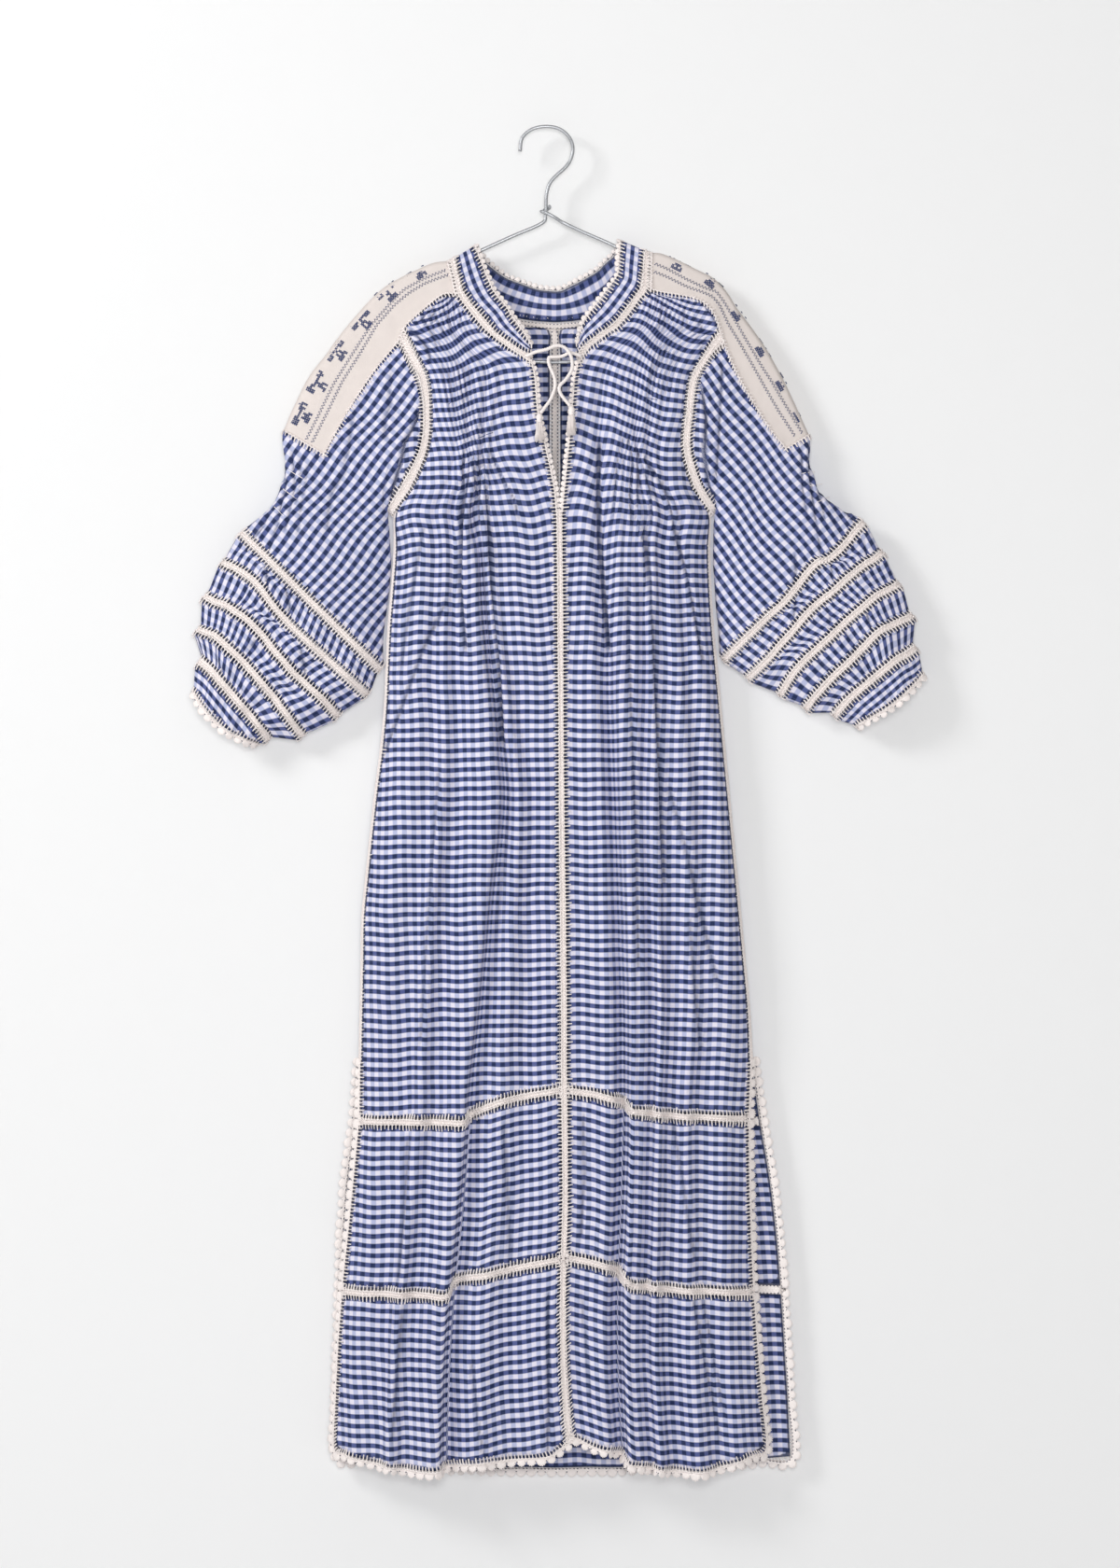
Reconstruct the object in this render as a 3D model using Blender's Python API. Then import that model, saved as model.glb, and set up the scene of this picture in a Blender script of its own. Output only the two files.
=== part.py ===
"""A long gingham dress with crochet insertions, hung on a bent wire hanger.

The origin is the point where the hook bears. +X runs to the right as seen from the front, -Y is the front and
+Z is up. Tables are in millimetres. "left" means -X.
"""
import bpy
import math
import numpy as np

MM = 0.001

# Driving sizes
WALL = 1.6
SEAM_GAP = 0.3
INSERTION_WIDTH = 10.4
EDGING_WIDTH = 9.0
NECK_EDGING_WIDTH = 5.0
EDGING_GAP = 0.5
HALF_INSERTION = INSERTION_WIDTH / 2
WIRE_RADIUS = 2.0
TIE_RADIUS = 1.4
BACK_CENTRE_DEPTH = 11.0
ROUND_REACH = 90.0
SHARED_NORMAL_COSINE = 0.94
ANGLED_INSET = 2.6
SLIT_TOP_Z = -1056.0

# Straight edges of each front half: height, side edge, centre edge
FRONT_EDGES = {
    "left": (
        (-191, -118, -102), (-208, -140, -90), (-227, -160, -75), (-239, -154, -62), (-254, -147, -41),
        (-268, -140, -19), (-285, -133, -15), (-321, -130, -12), (-363, -133, -3), (-405, -150, 6),
        (-435, -170, 9), (-489, -170, 10), (-552, -176, 10), (-678, -182, 12), (-762, -193, 12),
        (-888, -206, 13), (-993, -208, 14), (-1056, -209, 14), (-1119, -210, 15), (-1214, -219, 16),
        (-1308, -229, 13), (-1392, -235, 14), (-1493, -239, 21), (-1520, -240, 22),
    ),
    "right": (
        (-187, 126, 114), (-195, 168, 106), (-208, 186, 98), (-227, 194, 82), (-239, 186, 65),
        (-254, 177, 46), (-268, 169, 37), (-285, 160, 33), (-321, 155, 30), (-363, 152, 26),
        (-405, 163, 22), (-435, 182, 19), (-489, 181, 19), (-552, 184, 20), (-678, 196, 20),
        (-762, 204, 21), (-888, 216, 23), (-993, 226, 24), (-1056, 228, 24), (-1119, 226, 25),
        (-1214, 227, 25), (-1308, 231, 22), (-1392, 237, 23), (-1493, 246, 32), (-1520, 247, 33),
    ),
}
BACK_EDGES = {
    "left": (
        (-181, -101, -98), (-191, -118, -90), (-208, -140, -71), (-219, -152, -47), (-224, -157, -22),
        (-227, -160, 2), (-254, -147, 3), (-285, -133, 3), (-321, -130, 3), (-363, -133, 3),
        (-405, -150, 4), (-435, -170, 4), (-489, -170, 4), (-552, -176, 4), (-678, -182, 4),
        (-762, -193, 4), (-888, -206, 4), (-993, -208, 4), (-1056, -210, 4), (-1119, -215, 4),
        (-1214, -228, 4), (-1308, -231, 4), (-1434, -235, 4), (-1520, -234, 4),
    ),
    "right": (
        (-177, 107, 104), (-187, 126, 98), (-195, 168, 90), (-208, 186, 78), (-219, 190, 58),
        (-225, 192.5, 38), (-227, 194, 15), (-254, 177, 15), (-285, 160, 15), (-321, 155, 15),
        (-363, 152, 15), (-405, 163, 15), (-435, 182, 15), (-489, 181, 15), (-552, 184, 15),
        (-678, 196, 15), (-762, 204, 15), (-888, 216, 15), (-993, 226, 15), (-1056, 231, 15),
        (-1119, 240, 15), (-1214, 256, 15), (-1308, 264, 15), (-1434, 272, 15), (-1520, 276, 15),
    ),
}
# Heights of the mesh rows that all four body panels share below the underarm
LOWER_ROWS = (-478, -522, -566, -612, -658, -704, -750, -796, -842, -890, -940, -998, -1056)
# How far the cloth turns in at the side edge by height: 1 wraps round the side, 0 hangs flat beside the slit
SIDE_TURN = ((-435, 1.0), (-940, 1.0), (-1056, 0.1), (-1100, 0.0))
ARMHOLE_ROWS = (-227, -254, -285, -321, -363, -405, -435)

# Heights of the rows above the underarm from the shoulder band down, and the number of rows lower down
FRONT_TOP_ROWS = {
    "left": (-191, -208, -227, -239, -254, -268, -285, -321, -363, -405, -435),
    "right": (-187, -195, -208, -227, -239, -254, -268, -285, -321, -363, -405, -435),
}
BACK_TOP_ROWS = {
    "left": (-181, -191, -208, -219, -224, -227, -254, -285, -321, -363, -405, -435),
    "right": (-177, -187, -195, -208, -219, -225, -227, -254, -285, -321, -363, -405, -435),
}
TAIL_ROWS = 3
TIER_ROWS = 4

# Half depth of the cloth at the side edge by height
SIDE_DEPTH = (
    (-181, 12), (-227, 12), (-254, 15), (-285, 16.5), (-321, 17.5), (-363, 16), (-405, 11), (-435, 5.3),
)
BACK_SIDE_DEPTH = ((-181, 9), (-227, 9), (-285, 10), (-363, 10), (-405, 8.5), (-435, 5.3))
CENTRE_DEPTH = (
    (-181, 12), (-208, 14), (-227, 17), (-254, 22), (-268, 25), (-321, 27), (-405, 29), (-600, 29),
    (-900, 27), (-1100, 29), (-1300, 33), (-1520, 36),
)

# Front folds: position across at the release, the hip, the upper band and the hem, and relief toward the front
FOLDS = {
    "left": (
        (-111, -155, -187, -218, 4.0), (-104, -132, -158, -190, -4.0), (-98, -118, -143, -176, 5.0),
        (-92, -103, -128, -162, -6.0), (-87, -82, -111, -141, 4.0), (-82, -56, -93, -122, 9.0),
        (-77, -45, -85, -112, -11.0), (-71, -32, -54, -80, 6.0), (-66, -15, -25, -40, -4.0),
        (-43, 4, 5, 1, 2.0),
    ),
    "right": (
        (134, 191, 198, 214, 4.0), (128, 172, 170, 193, -5.0), (122, 158, 156, 172, 4.0),
        (116, 132, 138, 143, -7.0), (109, 120, 126, 128, 7.0), (103, 109, 118, 118, -4.0),
        (97, 99, 109, 107, 5.0), (72, 86, 96, 93, 9.0), (58, 76, 86, 84, -11.0),
        (46, 62, 73, 69, 4.0), (32, 33, 38, 43, -2.0),
    ),
}
FOLD_HEIGHTS = {"release": -374.0, "hip": -762.0, "band": -1098.0, "hem": -1497.0}
SHOULDER_Z = -222.0
FOLD_GROWTH = (
    (-195, 0.0), (-227, 0.12), (-300, 0.2), (-374, 0.35), (-480, 0.6), (-762, 0.85), (-1098, 1.0),
    (-1520, 1.1),
)
# Spaces between folds that get one more column of points
WIDE_SPACES = {"left": (0, 8, 9, 10), "right": (0, 7, 10)}
BACK_WAVES = (0.0, 1.6, -1.8, 2.4, -2.2, 2.6, -2.0, 1.4, 0.0)

# Seams of the skirt bands, height against the distance across, and the hem
SEAM_CURVES = {
    "upper left": ((-215, -1122), (-88, -1121), (-84, -1108), (-40, -1095), (15, -1085)),
    "upper right": ((25, -1086), (60, -1091), (86, -1099), (94, -1108), (140, -1114), (228, -1119)),
    "lower left": ((-232, -1314), (-110, -1315), (-104, -1300), (-50, -1288), (13, -1275)),
    "lower right": ((22, -1273), (60, -1280), (84, -1290), (92, -1303), (140, -1309), (238, -1315)),
    "hem left": (
        (-242, -1488), (-220, -1497), (-170, -1507), (-127, -1511), (-110, -1504), (-60, -1499), (0, -1494),
        (21, -1480),
    ),
    "hem right": (
        (32, -1472), (50, -1482), (84, -1490), (90, -1500), (130, -1508), (167, -1512), (204, -1505),
        (246, -1490),
    ),
    "back upper": ((-216, -1124), (-100, -1121), (10, -1118), (120, -1120), (242, -1123)),
    "back lower": ((-232, -1316), (-100, -1313), (10, -1310), (120, -1311), (266, -1314)),
    "back hem": ((-236, -1500), (-150, -1514), (10, -1516), (170, -1514), (276, -1502)),
}

# Neck: height and distance across of the outer edge of the insertion, the band seam and the band top,
# from the left side of the slit round the back to the right side, and the half depth of the outer edge
NECK = (
    (-268, -19, -258, -18, -248, -18, 0),
    (-254, -41, -246, -37, -235, -27, 0),
    (-239, -62, -232, -56, -219, -39, 0),
    (-227, -75, -218, -67, -204, -48, 0),
    (-208, -90, -201, -82, -188, -61, 0),
    (-191, -102, -184, -93, -171, -69, 0),
    (-170, -106, -166, -99, -153, -76, -9),
    (-153, -110.5, -148, -102.5, -136, -82.5, -5.5),
    (-152, -111, -147, -103, -135, -83, 0),
    (-153.5, -110, -148.5, -102, -136.5, -82, 5.5),
    (-181, -98, -173, -90, -145, -75, 0),
    (-191, -90, -184, -84, -154, -66, 0),
    (-208, -71, -200, -66, -168, -47, 0),
    (-219, -47, -211, -43, -175, -29, 0),
    (-224, -22, -216, -21, -181, -12, 0),
    (-227, 2, -218, 2, -183, 2, 0),
    (-227, 15, -218, 15, -183, 15, 0),
    (-225, 38, -216, 36, -178, 26, 0),
    (-219, 58, -211, 54, -171, 40, 0),
    (-208, 78, -201, 71, -161, 57, 0),
    (-195, 90, -188, 83, -152, 66, 0),
    (-187, 98, -181, 90, -147, 72, 0),
    (-177, 104, -171, 97, -141, 78, 0),
    (-144.5, 116, -140.5, 108, -130.5, 84, 5.5),
    (-143, 117, -139, 109, -129, 85, 0),
    (-144, 116.5, -140, 108.5, -130, 84.5, -5.5),
    (-164, 115.5, -160, 107, -150, 83, -9),
    (-187, 114, -178, 105, -166, 82, 0),
    (-195, 106, -188, 99, -174, 78, 0),
    (-208, 98, -201, 90, -186, 69, 0),
    (-227, 82, -219, 76, -201, 58, 0),
    (-239, 65, -231, 61, -214, 48, 0),
    (-254, 46, -245, 43, -227, 39, 0),
    (-268, 37, -258, 34, -246, 34, 0),
)
LEFT_FRONT_STATIONS = 6
BACK_LEFT_FIRST, BACK_LEFT_LAST = 10, 15
BACK_RIGHT_FIRST, BACK_RIGHT_LAST = 16, 22
RIGHT_FRONT_FIRST = 27
# Over the shoulders the neck's normal leans out, toward the front or back, and up
SHOULDER_LEAN = (0.55, 0.12, 0.83)
# Depth of the band seam and of the band top as shares of the outer edge's
SEAM_DRIFT = 0.96
TOP_DRIFT = {"front": 0.80, "back": 0.90}

# Edging down the neck slit: height and width
SLIT_EDGING = ((-268, 6.0), (-285, 6.0), (-321, 6.0), (-363, 6.0), (-405, 5.5), (-435, 4.6))

# Shoulder bands: distance across and height of the fold, then of the lower edge
SHOULDER_BANDS = {
    "left": (
        (-111, -152, -102.3, -189), (-132, -156, -118, -191), (-160, -169, -140, -208), (-185, -184, -160, -227),
        (-204, -203, -168, -244), (-225, -227, -191, -272), (-248, -258, -211, -301), (-271, -290, -231, -334),
        (-296, -344, -251, -371),
    ),
    "right": (
        (117, -143, 116.5, -183), (132, -145, 126, -187), (167, -161, 168, -195), (188, -172, 186, -208),
        (203, -188, 194, -227), (214, -206, 200, -246), (231, -229, 214, -279), (249, -256, 231, -309),
        (270, -295, 250, -340), (295, -349, 269, -365),
    ),
}
# The back corner of the neck end of each shoulder band
BAND_BACK_CORNERS = {"left": (-101, -181), "right": (107, -177)}
BAND_DEPTH = 12.0
BAND_BACK_DEPTH = 9.0
BAND_GAP = 0.5
FOLD_ANGLES = (-30.0, 0.0, 30.0)
FOLD_FLATNESS = 1.5

# Sleeves: the armhole edge of the sleeve, rows of top point and inner point, and the outer fold of the last rows
SLEEVE_EDGES = {
    "left": ((-168, -244), (-156, -268), (-146, -288), (-141, -321), (-144, -359), (-160, -393), (-181, -427)),
    "right": ((200, -246), (185, -262), (171, -286), (166, -321), (163, -359), (173, -397), (191, -427)),
}
SLEEVE_ROWS = {
    "left": (
        (-191, -272, -181, -440), (-211, -301, -180, -462), (-231, -334, -179, -487), (-251, -371, -181, -513),
        (-271, -403, -185, -542), (-289, -437, -189, -573),
    ),
    "right": (
        (214, -279, 191, -440), (231, -309, 191, -462), (250, -340, 191, -487), (269, -365, 193, -512),
        (285, -395, 195, -538), (296, -426, 198, -566),
    ),
}
SLEEVE_FOLDS = {
    "left": ((-296, -344), (-294, -384), (-309, -427)),
    "right": ((295, -349), (297, -384), (313, -420)),
}
FRONT_STATIONS = 7
BLEND_ROWS = 4
# The sleeve's flattened section: how square it is, how full its lower half, and its depth at the inner fold
SECTION_POWER, SECTION_ROUNDNESS = 2.6, 0.42
SECTION_FULLNESS = 3.0
INNER_FOLD_DEPTH = 2.4
# Share of the armhole's curve that each station and each row keeps
BULGE_REACH = (1.0, 1.0, 1.0, 1.0, 0.35, 0.0, 0.0)
UNDERARM_DEPTH = 3.4
SLEEVE_BULGE = (0.7, 0.45, 0.28, 0.14, 0.05, 0.0)
SLEEVE_DEPTHS = ((12.0, 9.0), (12.0, 9.0), (12.0, 9.0), (12.0, 9.0), (14.0, 10.0), (17.0, 11.0))
# Seams round the sleeve: outer point, inner point, front depth, back depth
SLEEVE_SEAMS = {
    "left": (
        (-344, -459, -191, -610, 19, 11), (-365, -495, -206, -638, 21, 11), (-385, -533, -238, -663, 22, 11),
        (-393, -571, -278, -686, 21, 11), (-392, -607, -316, -690, 17, 10), (-401, -639, -330, -698, 16, 10),
    ),
    "right": (
        (356, -447, 202, -599, 19, 11), (377, -481, 229, -620, 21, 11), (396, -517, 265, -639, 22, 11),
        (411, -552, 294, -655, 21, 11), (415, -588, 326, -663, 17, 10), (426, -620, 353, -678, 16, 10),
    ),
}
SEAM_NAMES = "abcdef"
TOP_SHARE = 0.22
RING_RIPPLE = 1.6

# Wire path: distance across and height
HOOK_PATH = (
    (-30.5, -26), (-28.5, -12), (-21.5, -4), (-12, 0.6), (1, 2.0), (13, -0.4), (22.5, -7), (28, -16),
    (29.2, -26), (26, -37), (20, -45), (11, -53), (4, -61), (0.5, -70), (-1, -80), (-1.5, -98),
)
LEFT_ARM = ((-6, -107.5), (-40, -122.5), (-75, -138.5), (-111, -155.6), (-150, -173.2), (-172, -183.5))
LEFT_END = ((-181, -189.5), (-187, -197), (-189, -207), (-185, -217), (-177, -224))
BOTTOM_BAR = ((-120, -245), (-60, -258), (0, -264.5), (60, -260.5), (120, -243))
RIGHT_END = ((172, -219), (181, -212), (185, -203), (183, -193), (176, -185))
RIGHT_ARM = ((165, -179.0), (150, -171.0), (117, -154.6), (75, -132.5), (40, -117.0), (18, -106.5))
# The wire's end goes once round the stem above the arms
TURN_RADIUS = 4.6
TURN_X, TURN_Z = -1.6, -97.0
TURN_START, TURN_SWEEP, TURN_STEPS, TURN_CLIMB = -60.0, -320.0, 12, 8.5
TURN_LEAD = (9.0, -3.2, -101.5)
# A point of the wire stays where the path has turned by so many degrees or run so far
WIRE_TURN, WIRE_STEP = 14.0, 70.0
WIRE_SAMPLES = 900
CURVE_STEPS = 16

# Ties after the root: distance across, depth and height. The left tie passes in front to the right tassel
TIE_PATHS = {
    "left": (
        (-13, -33.5, -257), (0, -35.5, -254), (10, -35.5, -250), (20, -34.5, -252), (27, -34.5, -262),
        (28, -34.5, -276), (21, -35.5, -288), (14, -36.5, -296), (16, -36.5, -305), (26, -35.8, -317.5),
    ),
    "right": (
        (26, -31.0, -257.5), (18, -30.0, -261), (10, -30.0, -262), (2, -30.2, -263), (3, -31.0, -272),
        (8, -31.5, -284), (9, -32.5, -296), (4, -33.5, -310), (-3, -34.5, -320), (-7, -35.0, -325.5),
    ),
}
# A tie's root: share of the way from the neck insertion's end to its next station, and the length of the lead
# that stands straight out of it
TIE_ROOT_SHARE = {"left": 0.16, "right": 0.16}
TIE_LEAD = 3.0
TIE_POINTS = {"left": 30, "right": 24}
TASSELS = {"left": (-8.5, -35.3, -326.3), "right": (27.5, -36.0, -318.6)}
TASSEL_PROFILE = ((1.3, 0.0), (3.0, -1.8), (3.4, -4.4), (2.5, -6.4), (3.6, -8.6))
TASSEL_SIDES = 8
TASSEL_CORE_RADIUS = 1.2
LOCK_LENGTHS = (19.0, 21.0, 18.0, 20.5, 19.5, 21.5, 18.5, 20.0)
LOCK_SPREAD = 2.0
LOCK_SIZE, LOCK_TIP_SIZE = 0.84, 0.7

GINGHAM, CROCHET, CREAM, WIRE, TIE = "gingham", "crochet", "cream_cotton", "wire", "tie_cord"
MATERIALS = {
    GINGHAM: ((0.42, 0.46, 0.62, 1.0), 0.85, 0.0),
    CROCHET: ((0.80, 0.76, 0.71, 1.0), 0.90, 0.0),
    CREAM: ((0.82, 0.76, 0.70, 1.0), 0.85, 0.0),
    WIRE: ((0.62, 0.63, 0.65, 1.0), 0.30, 1.0),
    TIE: ((0.80, 0.75, 0.68, 1.0), 0.85, 0.0),
}


def look_up(table, height, column=1):
    rows = sorted(table, key=lambda row: row[0])
    return float(np.interp(height, [row[0] for row in rows], [row[column] for row in rows]))


def unit(vectors):
    vectors = np.asarray(vectors, float)
    length = np.linalg.norm(vectors, axis=-1, keepdims=True)
    return vectors / np.maximum(length, 1e-9)


def material(name):
    made = bpy.data.materials.get(name)
    if made is None:
        colour, roughness, metallic = MATERIALS[name]
        made = bpy.data.materials.new(name)
        made.use_nodes = True
        shader = made.node_tree.nodes["Principled BSDF"]
        shader.inputs["Base Color"].default_value = colour
        shader.inputs["Roughness"].default_value = roughness
        shader.inputs["Metallic"].default_value = metallic
        made.diffuse_color = colour
    return made


def add_mesh(name, points, faces, material_name):
    mesh = bpy.data.meshes.new(name)
    mesh.from_pydata([tuple(float(value) * MM for value in point) for point in points], [], faces)
    mesh.materials.append(material(material_name))
    body = bpy.data.objects.new(name, mesh)
    bpy.context.scene.collection.objects.link(body)
    return body


def grid_normals(points, closed=False):
    """Normals at the points of a grid, rows by columns: the mean of those of the faces round each point."""
    if closed:
        points = np.concatenate([points, points[:, :1]], axis=1)
    faces = unit(np.cross(points[1:, 1:] - points[:-1, :-1], points[:-1, 1:] - points[1:, :-1]))
    rows, columns = points.shape[:2]
    total = np.zeros((rows, columns, 3))
    for row_shift in (0, 1):
        for column_shift in (0, 1):
            total[row_shift:rows - 1 + row_shift, column_shift:columns - 1 + column_shift] += faces
    if closed:
        total[:, 0] += total[:, -1]
        total = total[:, :-1]
    return unit(total)


def split(face, points):
    """Two triangles of a four-sided face, cut across its shorter diagonal."""
    first, second, third, fourth = face
    if np.linalg.norm(points[first] - points[third]) < np.linalg.norm(points[second] - points[fourth]):
        return [(first, second, third), (first, third, fourth)]
    return [(second, third, fourth), (second, fourth, first)]


def shell(name, points, faces, normals, material_name, wall=WALL):
    """One closed wall: the surface moved half a wall each way along its normals, joined round its open edges."""
    points = np.asarray(points, float).reshape(-1, 3)
    normals = np.asarray(normals, float).reshape(-1, 3)
    used = sorted({index for face in faces for index in face})
    number = {old: new for new, old in enumerate(used)}
    faces = [tuple(number[index] for index in face) for face in faces]
    points, normals = points[used], normals[used]
    faces = [triangle for face in faces for triangle in split(face, points)]
    count = len(points)
    all_points = np.concatenate([points + normals * wall / 2, points - normals * wall / 2])
    edges = {}
    for face in faces:
        for start, end in zip(face, face[1:] + face[:1]):
            edges[(start, end)] = True
    rim = [(start, end) for start, end in edges if (end, start) not in edges]
    solid = list(faces)
    solid += [tuple(index + count for index in reversed(face)) for face in faces]
    solid += [(end, start, start + count, end + count) for start, end in rim]
    return add_mesh(name, all_points, solid, material_name)


def oriented(faces, points, normals):
    """Turn the faces so that they look along the normals."""
    points = np.asarray(points, float).reshape(-1, 3)
    normals = np.asarray(normals, float).reshape(-1, 3)
    total = 0.0
    for face in faces:
        corner = points[list(face)]
        total += float(np.dot(np.cross(corner[1] - corner[0], corner[2] - corner[1]), normals[face[0]]))
    if total < 0:
        return [tuple(reversed(face)) for face in faces]
    return faces


def grid_faces(rows, columns, closed=False, skip=None):
    faces = []
    for row in range(rows - 1):
        for column in range(columns if closed else columns - 1):
            if skip is not None and skip(row, column):
                continue
            following = (column + 1) % columns
            faces.append((
                row * columns + column, row * columns + following,
                (row + 1) * columns + following, (row + 1) * columns + column,
            ))
    return faces


def grid_shell(name, points, normals, material_name, closed=False, skip=None):
    points = np.asarray(points, float)
    rows, columns = points.shape[:2]
    faces = oriented(grid_faces(rows, columns, closed, skip), points, normals)
    return shell(name, points, faces, normals, material_name)


def strip(name, first, first_normals, second, second_normals, material_name, closed=False):
    """A strip between two edges with the same number of points, kept the seam gap away from each.

    Where a neighbour meets it at an angle, the strip keeps its own normal and stands further off.
    """
    first, second = np.asarray(first, float), np.asarray(second, float)
    direction = unit(second - first)
    middle = (first + second) / 2
    if closed:
        along = unit(np.roll(middle, -1, axis=0) - np.roll(middle, 1, axis=0))
    else:
        along = unit(np.gradient(middle, axis=0))
    own = unit(np.cross(along, direction))
    mean = np.asarray(first_normals) + np.asarray(second_normals)
    own = own * np.where(np.sum(own * mean, axis=1, keepdims=True) < 0, -1.0, 1.0)
    edges, edge_normals = [], []
    for edge, normals, sign in ((first, first_normals, 1.0), (second, second_normals, -1.0)):
        cosine = np.clip(np.sum(own * normals, axis=1, keepdims=True), 0.0, 1.0)
        angled = cosine < SHARED_NORMAL_COSINE
        lean = np.sqrt((1.0 - cosine) / (1.0 + cosine))
        inset = SEAM_GAP + np.where(angled, ANGLED_INSET * lean ** 2, 0.0)
        edges.append(edge + direction * sign * inset)
        edge_normals.append(np.where(angled, own, normals))
    points, normals = np.stack(edges), np.stack(edge_normals)
    if not closed:
        points[:, 0] += unit(points[:, 1] - points[:, 0]) * SEAM_GAP
        points[:, -1] -= unit(points[:, -1] - points[:, -2]) * SEAM_GAP
    return grid_shell(name, points, normals, material_name, closed)


def rounded(share):
    share = min(max(share, 0.0), 1.0)
    return math.sqrt(1.0 - (1.0 - share) ** 2)


def turned_in(share, height):
    """Share of the full depth at a distance in from the side edge."""
    share = min(max(share, 0.0), 1.0)
    turn = look_up(SIDE_TURN, height)
    return turn * rounded(share) + (1.0 - turn) * share * (2.0 - share)


def edge_at(table, height):
    return look_up(table, height, 1), look_up(table, height, 2)


# Front panels
def fold_knots(side, height):
    """Places across the front panel at one height, and the relief there, from the side edge to the centre edge."""
    side_x, centre_x = edge_at(FRONT_EDGES[side], height)
    folds = FOLDS[side]
    levels = [FOLD_HEIGHTS[key] for key in ("release", "hip", "band", "hem")]
    shares_by_level = []
    for number, level in enumerate(levels):
        level_side, level_centre = edge_at(FRONT_EDGES[side], level)
        shares_by_level.append([(fold[number] - level_side) / (level_centre - level_side) for fold in folds])
    even = [(number + 1) / (len(folds) + 1) for number in range(len(folds))]
    levels = [SHOULDER_Z] + levels
    shares_by_level = [even] + shares_by_level
    order = np.argsort(levels)
    shares = []
    for number in range(len(folds)):
        values = [shares_by_level[level][number] for level in order]
        shares.append(float(np.interp(height, [levels[level] for level in order], values)))
    growth = look_up(FOLD_GROWTH, height)
    knots = [0.0] + shares + [1.0]
    relief = [0.0] + [fold[4] * growth for fold in folds] + [0.0]
    return side_x, centre_x, knots, relief


def front_columns(side, height):
    """The columns of the front mesh: the folds, with one more column in each wide space."""
    side_x, centre_x, knots, relief = fold_knots(side, height)
    shares, reliefs = [], []
    for number in range(len(knots) - 1):
        shares.append(knots[number])
        reliefs.append(relief[number])
        if number in WIDE_SPACES[side]:
            shares.append((knots[number] + knots[number + 1]) / 2)
            reliefs.append((relief[number] + relief[number + 1]) / 2)
    shares.append(1.0)
    reliefs.append(0.0)
    return side_x, centre_x, np.array(shares), np.array(reliefs)


def front_row(side, height, heights=None):
    """One row of front points; heights gives each column its own height where the row is curved."""
    side_x, centre_x, shares, reliefs = front_columns(side, height)
    row = []
    for column, (share, relief) in enumerate(zip(shares, reliefs)):
        level = height if heights is None else heights[column]
        if heights is not None:
            side_x, centre_x, own_shares, own_reliefs = front_columns(side, level)
            share, relief = own_shares[column], own_reliefs[column]
        x = side_x + (centre_x - side_x) * share
        side_depth = look_up(SIDE_DEPTH, level)
        centre_depth = look_up(CENTRE_DEPTH, level)
        rise = turned_in(abs(x - side_x) / ROUND_REACH, level)
        row.append((x, -(side_depth + (centre_depth - side_depth) * rise) - relief, level))
    return row


def curved_rows(side, row_function, column_count, top, bottom, count, top_offset, bottom_offset):
    """Rows between two seam curves, with each column's heights found from where the column crosses them."""
    rows = []
    tops, bottoms = [], []
    for column in range(column_count):
        for curve, offset, found in ((top, top_offset, tops), (bottom, bottom_offset, bottoms)):
            if curve is None:
                found.append(SLIT_TOP_Z)
                continue
            level = curve[0][1]
            for _ in range(4):
                x = row_function(side, level)[column][0]
                level = look_up(curve, x)
            found.append(level + offset)
    for number in range(count):
        share = number / (count - 1)
        heights = [first + (second - first) * share for first, second in zip(tops, bottoms)]
        rows.append(row_function(side, tops[0], heights))
    return rows


# The points and normals of each panel made so far, by name
panels = {}


def outward(normals, toward):
    """Flip a grid's normals when most of them look the other way."""
    return normals if float(np.sum(normals * toward)) > 0 else -normals


def keep(name, points, toward=None, closed=False, normals=None):
    points = np.asarray(points, float)
    if normals is None:
        normals = outward(grid_normals(points, closed), np.asarray(toward, float))
    panels[name] = (points, normals)
    return points, normals


def flatten_beside_band(points, normals, toward):
    """Along the shoulder band the wall stands square to the front, like the band's own edge."""
    beside = points[:, 0, 2] >= ARMHOLE_ROWS[0]
    normals[beside, 0] = toward
    normals[0] = toward


def front_panel(side):
    columns = len(front_columns(side, -762)[2])
    rows = [front_row(side, height) for height in FRONT_TOP_ROWS[side] + LOWER_ROWS]
    seam = SEAM_CURVES["upper " + side]
    tail = curved_rows(side, front_row, columns, None, seam, TAIL_ROWS, 0.0, HALF_INSERTION)
    return rows + tail[1:]


def back_row(side, height, heights=None):
    row = []
    for column, wave in enumerate(BACK_WAVES):
        share = column / (len(BACK_WAVES) - 1)
        level = height if heights is None else heights[column]
        side_x, centre_x = edge_at(BACK_EDGES[side], level)
        x = side_x + (centre_x - side_x) * share
        side_depth = look_up(BACK_SIDE_DEPTH, level)
        depth = side_depth + (BACK_CENTRE_DEPTH - side_depth) * turned_in(abs(x - side_x) / ROUND_REACH, level)
        row.append((x, depth + wave * look_up(FOLD_GROWTH, level), level))
    return row


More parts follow.
